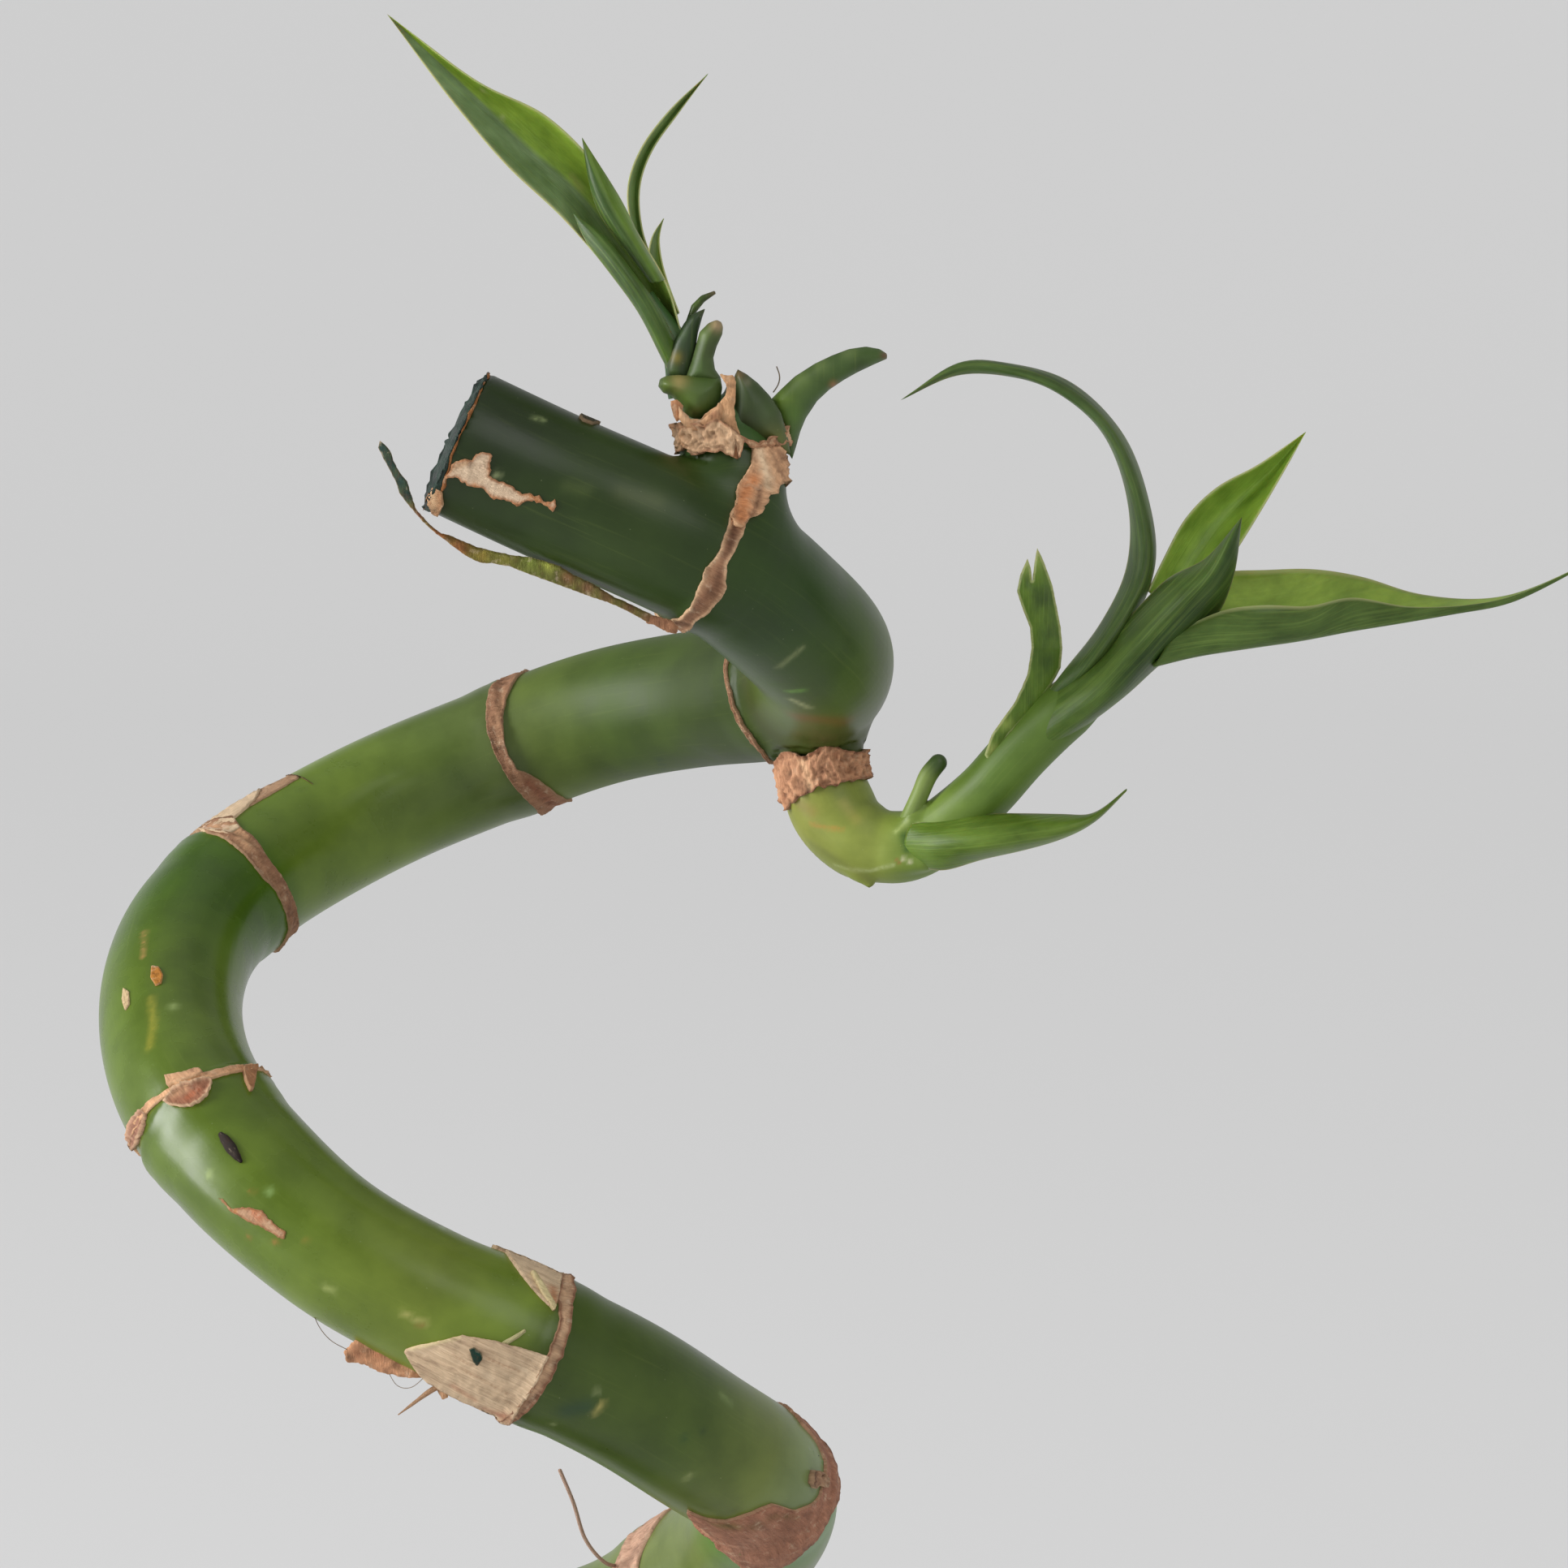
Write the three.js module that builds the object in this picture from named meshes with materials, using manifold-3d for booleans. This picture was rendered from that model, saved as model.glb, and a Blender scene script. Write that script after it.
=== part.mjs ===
// A lucky bamboo (Dracaena sanderiana): one spiral cane, sealed with wax at its cut top, with two
// leafy side shoots, standing in a plain vase of pebbles. Millimetres, +Z up. The origin is the middle
// of the vase's foot, on the surface that it stands on. The viewer's side is -Y, and +X is to the
// viewer's right.
import * as THREE from "three";
import { mergeVertices } from "three/addons/utils/BufferGeometryUtils.js";
import Module from "manifold-3d";

const wasm = await Module();
wasm.setup();

// ---- Driving dimensions -------------------------------------------------------------------------

const CLEARANCE = 0.3; // the gap that touching pieces keep
const PAPER = 0.6; // thickness of a dried sheath
const BLADE = 0.7; // thickness of a leaf
const NARROWEST = 0.6; // width of a leaf at its tip
const LEAF_CLEARANCE = 0.4; // the gap that leaves keep from each other

const VASE = {
  height: 88, rimRadius: 38, footRadius: 31, wall: 3.4, floor: 5, belly: 1.2, sides: 28,
  levels: [18, 36, 54], // heights that the wall's profile has a point at, between foot and pebbles
  chamfer: 1.5, // round the foot
  corner: 3, // between the floor and the wall, inside
};
const BED = {
  top: 72, coreTop: 70, stones: 22, stoneRadius: 6.6,
  offCane: 12.2, // from the cane's middle line to the middle of the nearest stone
};

// The cane's middle line, from its cut top down to its foot.
const CANE_ROUTE = [
  [-2, -19.5, 299], [7.5, -19.5, 294.5], [17, -20.5, 290.5], [24.5, -18, 286.5], [29.5, -11, 281.5],
  [34, -2, 275.6], [32.8, 6.5, 271.5], [27.6, 14, 269.5], [21.2, 22, 267.8], [10, 29, 264.7],
  [-1.5, 31, 260.2], [-12.5, 29.5, 255.9], [-21, 25, 252], [-27.3, 18, 248.8], [-32, 8.5, 244.8],
  [-33.1, -2.5, 240], [-31.6, -11, 235.6], [-28.1, -19, 231.5], [-21.4, -26, 226.1], [-13, -31, 220.5],
  [-3.5, -33.5, 216], [6, -33.5, 211.5], [14.5, -30, 206.1], [22, -24, 199.2], [27.5, -16, 193],
  [28, -7, 186.5], [25, 1, 180], [19.5, 7.5, 174.5], [13, 11.5, 168.5], [-4, 20, 160.5],
  [-21, 19.5, 153.5], [-33, 7, 146], [-33, -9, 138], [-22, -19.5, 129], [-8, -16, 118], [-1, -6, 106],
  [0, 0, 92], [0, 0, 75], [0, 0, 16],
];
const CANE = {
  radius: 7.3, sides: 14, spacing: 5.75,
  flare: 0.6, flareLength: 3, // under a node
  pinch: 0.2, pinchLength: 1, // above it
};
// Where the nodes are, as distances along the middle line from the cut top.
const CANE_NODES = [26.3, 64.4, 103.4, 142.2, 183.3, 225, 261, 292.5, 331, 369, 407, 441];
const STRAIGHT_FROM = 455; // from here down the cane is straight

// The wax cap's layers: how far each lies out, as a share of the thickness, and its radius.
const WAX = { thickness: 0.9, sides: 16, layers: [[0, 6.9], [0.35, 7.5], [0.8, 6.6], [1, 4]], waves: 0.5 };

// ---- Materials ----------------------------------------------------------------------------------

const material = (color, roughness, metalness = 0) =>
  new THREE.MeshStandardMaterial({ color, roughness, metalness });
const MATERIALS = {
  ceramic: material(0xe9e4da, 0.35),
  pebble: material(0x8f8b84, 0.6),
  cane: material(0x3f6a26, 0.4),
  wax: material(0x173c36, 0.45),
  paper: material(0xa67c5c, 0.85),
  shoot: material(0x7a9a3a, 0.5),
  leaf: material(0x4c7f2e, 0.5),
  dried: material(0x7b5a3a, 0.8),
};

// ---- Curves -------------------------------------------------------------------------------------

const clamp = THREE.MathUtils.clamp;

// A repeatable number from 0 to 1 for each whole number.
function chance(n) {
  const x = Math.sin(n * 12.9898) * 43758.5453;
  return x - Math.floor(x);
}

// A function through [place, value] stops, eased between them or straight.
function along(stops, straight = false) {
  return (t) => {
    let i = 0;
    while (i < stops.length - 2 && t > stops[i + 1][0]) i += 1;
    const [a, from] = stops[i];
    const [b, to] = stops[i + 1];
    const k = clamp((t - a) / (b - a), 0, 1);
    return from + (to - from) * (straight ? k : k * k * (3 - 2 * k));
  };
}

// A smooth middle line through hand-set points, with a frame that turns as little as possible along it.
class Path {
  constructor(points, step = 1, passes = 15) {
    const curve = new THREE.CatmullRomCurve3(
      points.map((p) => new THREE.Vector3(...p)), false, "centripetal");
    const count = Math.max(6, Math.round(curve.getLength() / step));
    let line = curve.getSpacedPoints(count);
    for (let pass = 0; pass < passes; pass += 1) {
      line = line.map((p, i) => {
        if (i === 0 || i === line.length - 1) return p;
        return line[i - 1].clone().add(line[i + 1]).multiplyScalar(0.25).addScaledVector(p, 0.5);
      });
    }
    this.line = line;
    this.places = [0];
    for (let i = 1; i < line.length; i += 1) {
      this.places.push(this.places[i - 1] + line[i].distanceTo(line[i - 1]));
    }
    this.length = this.places[line.length - 1];
    this.tangents = line.map((p, i) =>
      line[Math.min(i + 1, line.length - 1)].clone().sub(line[Math.max(i - 1, 0)]).normalize());
    const upright = Math.abs(this.tangents[0].z) > 0.9;
    const reference = upright ? new THREE.Vector3(1, 0, 0) : new THREE.Vector3(0, 0, 1);
    this.sides = [reference.cross(this.tangents[0]).normalize()];
    for (let i = 1; i < line.length; i += 1) {
      const turn = new THREE.Quaternion().setFromUnitVectors(this.tangents[i - 1], this.tangents[i]);
      this.sides.push(this.sides[i - 1].clone().applyQuaternion(turn).normalize());
    }
  }

  // The middle, tangent, side and up at a distance along the line; past its ends it runs on straight.
  at(s) {
    const inside = clamp(s, 0, this.length);
    let i = 0;
    while (i < this.places.length - 2 && this.places[i + 1] < inside) i += 1;
    const k = (inside - this.places[i]) / (this.places[i + 1] - this.places[i]);
    const tangent = this.tangents[i].clone().lerp(this.tangents[i + 1], k).normalize();
    const side = this.sides[i].clone().lerp(this.sides[i + 1], k);
    side.addScaledVector(tangent, -side.dot(tangent)).normalize();
    const middle = this.line[i].clone().lerp(this.line[i + 1], k).addScaledVector(tangent, s - inside);
    return { middle, tangent, side, up: tangent.clone().cross(side) };
  }

  // The point at an angle round the line, at a radius from it.
  around(s, angle, radius) {
    const { middle, side, up } = this.at(s);
    const across = side.multiplyScalar(Math.cos(angle) * radius);
    return middle.add(across).addScaledVector(up, Math.sin(angle) * radius);
  }

  // The angle round the line that faces a direction.
  angleOf(s, direction) {
    const { side, up } = this.at(s);
    const towards = new THREE.Vector3(...direction);
    return Math.atan2(towards.dot(up), towards.dot(side));
  }
}

// ---- Closed meshes ------------------------------------------------------------------------------

// A geometry from points and triangles, turned so that its faces point out.
function closedGeometry(points, triangles) {
  let volume = 0;
  for (const [a, b, c] of triangles) {
    volume += points[a].dot(points[b].clone().cross(points[c]));
  }
  const index = triangles.flatMap(([a, b, c]) => (volume < 0 ? [a, c, b] : [a, b, c]));
  const geometry = new THREE.BufferGeometry();
  geometry.setAttribute("position", new THREE.Float32BufferAttribute(points.flatMap((p) => p.toArray()), 3));
  geometry.setIndex(index);
  return geometry;
}

// A closed body through rings that have as many points each, with a point in the middle of each end.
function loft(rings) {
  const count = rings[0].length;
  const points = rings.flat();
  const triangles = [];
  for (let i = 0; i < rings.length - 1; i += 1) {
    for (let j = 0; j < count; j += 1) {
      const a = i * count + j;
      const b = i * count + ((j + 1) % count);
      triangles.push([a, b, a + count], [b, b + count, a + count]);
    }
  }
  const middleOf = (ring) =>
    ring.reduce((sum, p) => sum.add(p), new THREE.Vector3()).divideScalar(ring.length);
  const first = points.push(middleOf(rings[0])) - 1;
  const last = points.push(middleOf(rings[rings.length - 1])) - 1;
  const start = (rings.length - 1) * count;
  for (let j = 0; j < count; j += 1) {
    const next = (j + 1) % count;
    triangles.push([first, next, j], [last, start + j, start + next]);
  }
  return closedGeometry(points, triangles);
}

// A round limb along a path, with its radius from 0 to 1 along it.
function limb(points, radii, { sides = 10, rings = 8, grow = 0 } = {}) {
  const path = new Path(points, 0.5, 6);
  const radiusAt = along(radii);
  const made = [];
  for (let i = 0; i <= rings; i += 1) {
    const t = i / rings;
    const s = t * path.length + (i === 0 ? -grow : 0) + (i === rings ? grow : 0);
    const radius = radiusAt(t) + grow;
    made.push(Array.from({ length: sides }, (_, j) => path.around(s, (j / sides) * 2 * Math.PI, radius)));
  }
  return loft(made);
}

// A leaf blade with its two edges and its midrib each on a smooth line, bent evenly from edge to edge
// over the rib. Both faces are split into triangles alike.
function blade({ left, rib, right, across = 5, thickness = BLADE, rings = 10 }, grow = 0) {
  const [leftPath, ribPath, rightPath] = [left, rib, right].map((points) => new Path(points, 0.5, 3));
  const half = thickness / 2 + grow;
  const rows = [];
  for (let i = 0; i <= rings; i += 1) {
    const t = i / rings;
    const beyond = (i === rings ? grow : 0) - (i === 0 ? grow : 0);
    const [l, m, r] = [leftPath, ribPath, rightPath].map((path) => path.at(t * path.length + beyond).middle);
    const previous = rows[i - 1];
    const span = r.distanceTo(l) > NARROWEST ? r.clone().sub(l) : previous.span.clone();
    const wide = Math.max(span.length(), NARROWEST) + 2 * grow;
    const middle = l.clone().add(r).multiplyScalar(0.5);
    span.setLength(wide);
    const bend = m.clone().sub(middle);
    rows.push({ middle, span, bend, tangent: ribPath.at(t * ribPath.length).tangent });
  }
  const upper = [];
  const lower = [];
  for (const { middle, span, bend, tangent } of rows) {
    for (let j = 0; j < across; j += 1) {
      const place = (2 * j) / (across - 1) - 1;
      const point = middle.clone().addScaledVector(span, place / 2).addScaledVector(bend, 1 - place * place);
      const slope = span.clone().multiplyScalar(0.5).addScaledVector(bend, -2 * place);
      const normal = slope.cross(tangent).normalize();
      upper.push(point.clone().addScaledVector(normal, half));
      lower.push(point.clone().addScaledVector(normal, -half));
    }
  }
  const triangles = [];
  const below = upper.length;
  const quad = (a, b, c, d) => triangles.push([a, b, c], [a, c, d]);
  for (let i = 0; i < rings; i += 1) {
    const row = i * across;
    const next = row + across;
    for (let j = 0; j < across - 1; j += 1) {
      quad(row + j, row + j + 1, next + j + 1, next + j);
      triangles.push([below + row + j, below + next + j + 1, below + row + j + 1]);
      triangles.push([below + row + j, below + next + j, below + next + j + 1]);
    }
    quad(below + row, row, next, below + next);
    quad(row + across - 1, below + row + across - 1, below + next + across - 1, next + across - 1);
  }
  const end = rings * across;
  for (let j = 0; j < across - 1; j += 1) {
    quad(below + j, below + j + 1, j + 1, j);
    quad(end + j, end + j + 1, below + end + j + 1, below + end + j);
  }
  return closedGeometry([...upper, ...lower], triangles);
}

// A thin sleeve round a path. rows lists, for an angle, its stations from one end to the other, as
// [distance along the path, inner radius] pairs, as many at every angle.
function sleeve(path, rows, sides, thickness) {
  const inner = [];
  const outer = [];
  let stations = 0;
  for (let j = 0; j < sides; j += 1) {
    const angle = (j / sides) * 2 * Math.PI;
    const row = rows(angle, j);
    stations = row.length;
    for (const [s, radius] of row) {
      inner.push(path.around(s, angle, radius));
      outer.push(path.around(s, angle, radius + thickness));
    }
  }
  const triangles = [];
  const total = inner.length;
  const quad = (a, b, c, d) => triangles.push([a, b, c], [a, c, d]);
  for (let j = 0; j < sides; j += 1) {
    const a = j * stations;
    const b = ((j + 1) % sides) * stations;
    for (let i = 0; i < stations - 1; i += 1) {
      quad(total + a + i, total + b + i, total + b + i + 1, total + a + i + 1);
      quad(a + i, a + i + 1, b + i + 1, b + i);
    }
    const end = stations - 1;
    quad(a, b, total + b, total + a);
    quad(a + end, total + a + end, total + b + end, b + end);
  }
  return closedGeometry([...inner, ...outer], triangles);
}

// ---- Joins and cuts -----------------------------------------------------------------------------

// A solid from a closed geometry, with its shared corners merged and its empty triangles left out.
function solidOf(geometry) {
  const plain = new THREE.BufferGeometry().setAttribute("position", geometry.getAttribute("position"));
  plain.setIndex(geometry.getIndex());
  const merged = mergeVertices(plain, 1e-4);
  const corners = merged.getIndex().array;
  const kept = [];
  for (let i = 0; i < corners.length; i += 3) {
    const [a, b, c] = corners.slice(i, i + 3);
    if (a !== b && b !== c && c !== a) kept.push(a, b, c);
  }
  return new wasm.Manifold(new wasm.Mesh({
    numProp: 3,
    vertProperties: new Float32Array(merged.getAttribute("position").array),
    triVerts: new Uint32Array(kept),
  }));
}

function geometryOf(solid) {
  const mesh = solid.getMesh();
  const geometry = new THREE.BufferGeometry();
  geometry.setAttribute("position", new THREE.BufferAttribute(new Float32Array(mesh.vertProperties), 3));
  geometry.setIndex(new THREE.BufferAttribute(new Uint32Array(mesh.triVerts), 1));
  return geometry;
}

const joined = (solids) => solids.reduce((sum, solid) => sum.add(solid));

// A solid less its neighbours, without any loose scrap that the cut leaves.
function trimmed(solid, neighbours) {
  const cut = neighbours.reduce((left, neighbour) => left.subtract(neighbour), solid);
  return cut.decompose().reduce((most, piece) => (piece.volume() > most.volume() ? piece : most));
}

const plant = new THREE.Group();

function addMesh(name, geometry, finish) {
  const mesh = new THREE.Mesh(geometry, finish);
  mesh.name = name;
  plant.add(mesh);
}

// ---- Vase and pebbles ---------------------------------------------------------------------------

// The vase's outer radius at a height: it widens steadily from foot to rim, with a slight belly.
function vaseRadius(z) {
  const t = clamp(z / VASE.height, 0, 1);
  return VASE.footRadius + (VASE.rimRadius - VASE.footRadius) * Math.sin((t * Math.PI) / 2) ** VASE.belly;
}

// The wall's inner side, from the middle of the floor up to a height, moved in by a gap.
function insideProfile(top, gap) {
  const bottom = VASE.footRadius - VASE.wall - gap;
  const floor = VASE.floor + gap;
  const sides = [...VASE.levels, top].map((z) => [vaseRadius(z) - VASE.wall - gap, z]);
  return [[0, floor], [bottom - VASE.corner, floor], [bottom, VASE.floor + VASE.corner], ...sides];
}

function turned(profile) {
  const lathe = new THREE.LatheGeometry(profile.map(([r, z]) => new THREE.Vector2(r, z)), VASE.sides);
  lathe.rotateX(Math.PI / 2);
  return solidOf(lathe);
}

function makeVase() {
  const rim = VASE.wall / 2;
  const rimMiddle = vaseRadius(VASE.height) - rim;
  const lip = [0.25, 0.5, 0.75].map((turn) =>
    [rimMiddle + rim * Math.cos(turn * Math.PI), VASE.height - rim + rim * Math.sin(turn * Math.PI)]);
  const outside = [VASE.chamfer, ...VASE.levels, BED.top, VASE.height - rim].map((z) => [vaseRadius(z), z]);
  const insideRim = [vaseRadius(VASE.height - rim) - VASE.wall, VASE.height - rim];
  const inside = [...insideProfile(BED.top, 0), insideRim];
  return turned([[0, 0], [VASE.footRadius - VASE.chamfer, 0], ...outside, ...lip, ...inside.reverse()]);
}

// Where the stones of the top layer lie: a sunflower spiral round the cane, each with its own size
// and turn.
function stones() {
  const room = vaseRadius(BED.top) - VASE.wall - CLEARANCE;
  const goldenTurn = Math.PI * (3 - Math.sqrt(5));
  return Array.from({ length: BED.stones }, (_, i) => {
    const size = BED.stoneRadius * (0.82 + 0.36 * chance(i + 1));
    const reach = Math.sqrt((i + 0.5) / BED.stones);
    const distance = BED.offCane + (room - size * 1.05 - BED.offCane) * reach;
    const angle = i * goldenTurn;
    const height = BED.top - 1.4 + 2.2 * chance(i + 51);
    return {
      middle: [distance * Math.cos(angle), distance * Math.sin(angle), height],
      radii: [size, size * (0.74 + 0.2 * chance(i + 101)), size * (0.56 + 0.16 * chance(i + 151))],
      turn: Math.PI * chance(i + 201),
      tilt: 0.5 * (chance(i + 251) - 0.5),
    };
  });
}

function makeBed() {
  const core = turned([...insideProfile(BED.coreTop, CLEARANCE), [0, BED.coreTop]]);
  const pebbles = stones().map(({ middle, radii, turn, tilt }) => {
    const stone = new THREE.IcosahedronGeometry(1, 1);
    const pose = new THREE.Quaternion().setFromEuler(new THREE.Euler(tilt, tilt, turn));
    stone.applyMatrix4(new THREE.Matrix4().compose(
      new THREE.Vector3(...middle), pose, new THREE.Vector3(...radii)));
    return solidOf(stone);
  });
  return joined([core, ...pebbles]);
}

// ---- Cane ---------------------------------------------------------------------------------------

const canePath = new Path(CANE_ROUTE);

// How far the cane swells just under a node and narrows just above it.
const nodeSwelling = along([
  [-4, 0], [-CANE.pinchLength, -CANE.pinch], [0, CANE.flare], [CANE.flareLength, 0],
], true);

function caneRadius(s) {
  const nearest = CANE_NODES.reduce((best, node) =>
    (Math.abs(s - node) < Math.abs(s - best) ? node : best));
  return CANE.radius + nodeSwelling(s - nearest);
}

// The places along the cane that its mesh has rings at: round each node, and evenly between.
function caneStations() {
  const ends = [0, ...CANE_NODES, canePath.length];
  const stations = [0];
  for (let i = 0; i < ends.length - 1; i += 1) {
    const from = i === 0 ? 0 : ends[i] + CANE.flareLength;
    const to = i === ends.length - 2 ? ends[i + 1] : ends[i + 1] - CANE.pinchLength;
    const spacing = from > STRAIGHT_FROM ? 30 : CANE.spacing;
    const count = Math.max(1, Math.round((to - from) / spacing));
    for (let k = i === 0 ? 1 : 0; k <= count; k += 1) stations.push(from + ((to - from) * k) / count);
    if (i < ends.length - 2) stations.push(ends[i + 1]);
  }
  return stations;
}

function caneTube(grow) {
  const rings = caneStations().map((s, i, all) => {
    const end = (i === 0 ? -grow : 0) + (i === all.length - 1 ? grow : 0);
    return Array.from({ length: CANE.sides }, (_, j) =>
      canePath.around(s + end, (j / CANE.sides) * 2 * Math.PI, caneRadius(s) + grow));
  });
  return solidOf(loft(rings));
}

// The short green necks that carry the side shoots, from inside the cane outwards.
const UPPER_NECK = {
  route: [[25, -18, 288], [25.1, -17.6, 294.5], [25.1, -17, 298]],
  radii: [[0, 6], [0.7, 5.7], [1, 5.2]],
};
const LOWER_NECK = {
  route: [[33, 6.8, 270], [33.8, 6.2, 266.6], [33.9, 5.5, 263.8]],
  radii: [[0, 5.4], [0.5, 4.6], [1, 4.3]],
};

const neck = ({ route, radii }, grow = 0) => solidOf(limb(route, radii, { sides: 14, rings: 3, grow }));
const caneSolid = (grow = 0) => joined([caneTube(grow), neck(UPPER_NECK, grow), neck(LOWER_NECK, grow)]);

// ---- Dried sheath rings at the cane's nodes -----------------------------------------------------

// Each ring reaches up the cane and down it by its own amount, with tongues that face a direction: how
// far they reach up or down, and how wide they are, in radians.
const RINGS = [
  { up: 1.1, down: 0.6, tongues: [{ towards: [0, -0.7, -1], up: 2.2, down: 0.6, wide: 0.4 }] },
  { up: 1.1, down: 0.5, tongues: [] },
  { up: 1, down: 0.5, tongues: [{ towards: [0, -1, -1], up: 1, down: 0.4, wide: 0.6 }] },
  { up: 1.2, down: 0.6, tongues: [{ towards: [-0.5, 0.2, 1], up: 12, down: 0.2, wide: 0.3 }] },
  { up: 1, down: 0.7, tongues: [{ towards: [-0.3, -1, 0.2], up: 0.6, down: 1.6, wide: 0.25 }] },
  {
    up: 1.3,
    down: 0.5,
    tongues: [
      { towards: [0, -0.6, -1], up: 15, down: 0, wide: 0.75 },
      { towards: [0, 0, 1], up: 6, down: 0, wide: 0.4 },
    ],
  },
  { up: 1.4, down: 0.6, tongues: [{ towards: [0.2, -0.6, -1], up: 4.6, down: 0.4, wide: 0.8 }] },
  { up: 1.6, down: 0.6, tongues: [{ towards: [0, -1, 0.4], up: 1.4, down: 0.2, wide: 0.8 }] },
  { up: 1.1, down: 0.6, tongues: [{ towards: [-1, 0.4, 0.4], up: 3, down: 0.4, wide: 0.5 }] },
  { up: 1.1, down: 0.6, tongues: [{ towards: [0, -1, -0.4], up: 2.4, down: 0.4, wide: 0.5 }] },
  { up: 1.2, down: 0.6, tongues: [] },
  { up: 1, down: 0.6, tongues: [] },
];

function sheathRing(place, { up, down, tongues }, seed, grow = 0) {
  const longest = Math.max(up, ...tongues.map((tongue) => up + tongue.up));
  const sides = longest > 6 ? 22 : 18;
  const spans = Math.ceil(longest / 4);
  const lobes = tongues.map((tongue) => ({ ...tongue, angle: canePath.angleOf(place, tongue.towards) }));
  return sleeve(canePath, (angle, j) => {
    let above = up + grow + 0.5 * chance(seed * 40 + j);
    let under = down + grow + 0.2 * chance(seed * 40 + j + 400);
    for (const lobe of lobes) {
      const off = Math.atan2(Math.sin(angle - lobe.angle), Math.cos(angle - lobe.angle));
      const share = Math.exp(-((off / lobe.wide) ** 2));
      above += lobe.up * share;
      under += lobe.down * share;
    }
    const near = Math.min(above * 0.4, CANE.pinchLength);
    const reach = Array.from({ length: spans }, (_, k) => -above + ((above - near) * k) / spans);
    const stations = [...reach, -near, 0, under].map((off) => place + off);
    return stations.map((s) => [s, caneRadius(s) + CLEARANCE - grow]);
  }, sides, PAPER + 2 * grow);
}

// ---- Wax over the cut top -----------------------------------------------------------------------

function makeWax(grow = 0) {
  const rings = WAX.layers.map(([depth, radius], i) => {
    const end = (i === 0 ? grow : 0) - (i === WAX.layers.length - 1 ? grow : 0);
    const s = -CLEARANCE - depth * WAX.thickness + end;
    return Array.from({ length: WAX.sides }, (_, j) => {
      const waved = i === 0 ? 0 : WAX.waves * (chance(j + 7) - 0.5);
      return canePath.around(s, (j / WAX.sides) * 2 * Math.PI, radius + waved + grow);
    });
  });
  return solidOf(loft(rings));
}

// ---- Side shoots --------------------------------------------------------------------------------

// The upper shoot's green base: a dark wedge, and beside it a cut bowl that holds the small scales and
// the rolled sheath of its leaves.
const UPPER_SHOOT = [
  {
    route: [[25.4, -16.9, 298.5], [26.4, -16.2, 301.2], [26.1, -15.7, 305.1]],
    radii: [[0, 4.8], [0.5, 3.2], [1, 1]],
  },
  {
    route: [[22.4, -17.2, 299.2], [21.9, -17, 301.8], [21.4, -17, 304.6]],
    radii: [[0, 3], [0.5, 3], [1, 3.3]],
  },
  {
    route: [[20.4, -17.6, 304], [19.1, -18.2, 304.2], [17.9, -18.6, 304.1]],
    radii: [[0, 1.6], [0.6, 1.1], [1, 0.6]],
  },
  {
    route: [[22.4, -17.2, 303.6], [22.2, -17.4, 307], [22.7, -17.3, 309], [23.4, -17.2, 310.1]],
    radii: [[0, 2.1], [0.5, 1.5], [1, 0.8]],
  },
  {
    route: [[20.6, -17.4, 304], [20.3, -17.1, 307.8], [21, -17.2, 310.1], [22.1, -17.5, 311.5]],
    radii: [[0, 1.8], [0.5, 1.3], [1, 0.4]],
  },
  {
    route: [[20.8, -14.8, 307.6], [21.6, -14.4, 311.4], [23.3, -14.2, 313]],
    radii: [[0, 0.7], [0.6, 0.6], [1, 0.3]],
  },
  {
    route: [[20.1, -16, 303.8], [19.4, -15.6, 307.7], [18.1, -15.1, 310.4], [16.4, -15.2, 313.3]],
    radii: [[0, 1.7], [0.4, 1.5], [1, 0.6]],
  },
];

// The lower shoot's base: an elbow out of the neck with the rolled sheaths that rise from it, and then
// its small scales.
const LOWER_SHOOT = [
  {
    route: [
      [33.7, 5.3, 263.8], [34, 5, 261.7], [35, 4.6, 258.8], [37.1, 3.1, 256.2], [40.4, 1.9, 255.1],
      [43.7, 1, 255.6], [46.9, -0.2, 257.8], [50.7, -1.6, 261.5], [53.9, -3, 265.5], [57.9, -4.8, 269.8],
      [61.6, -6.8, 273.3], [64.6, -8.4, 276.1],
    ],
    radii: [
      [0, 4.2], [0.11, 4.5], [0.2, 4.2], [0.28, 3.75], [0.44, 3.2], [0.57, 3.05], [0.8, 3], [0.92, 2.3],
      [1, 1.2],
    ],
    sides: 12,
    rings: 22,
  },
  { route: [[36, 2, 255.6], [37.6, 0.6, 253], [39, 0, 251.3]], radii: [[0, 1.6], [0.6, 1.1], [1, 0.35]] },
  {
    route: [[41.2, -0.6, 254.6], [43.8, -1.8, 254.4], [46.5, -2.6, 254.9]],
    radii: [[0, 1.5], [0.6, 1.2], [1, 0.5]],
  },
  {
    route: [[43.4, -0.4, 257.6], [44.8, -1, 260.6], [45.4, -0.8, 263.5], [46.4, -0.6, 264.9]],
    radii: [[0, 1.4], [0.5, 1], [1, 1]],
  },
];

function shootSolid(limbs, grow = 0) {
  return joined(limbs.map(({ route, radii, sides = 8, rings = 4 }) =>
    solidOf(limb(route, radii, { sides, rings, grow }))));
}

// ---- Leaves -------------------------------------------------------------------------------------

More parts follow.
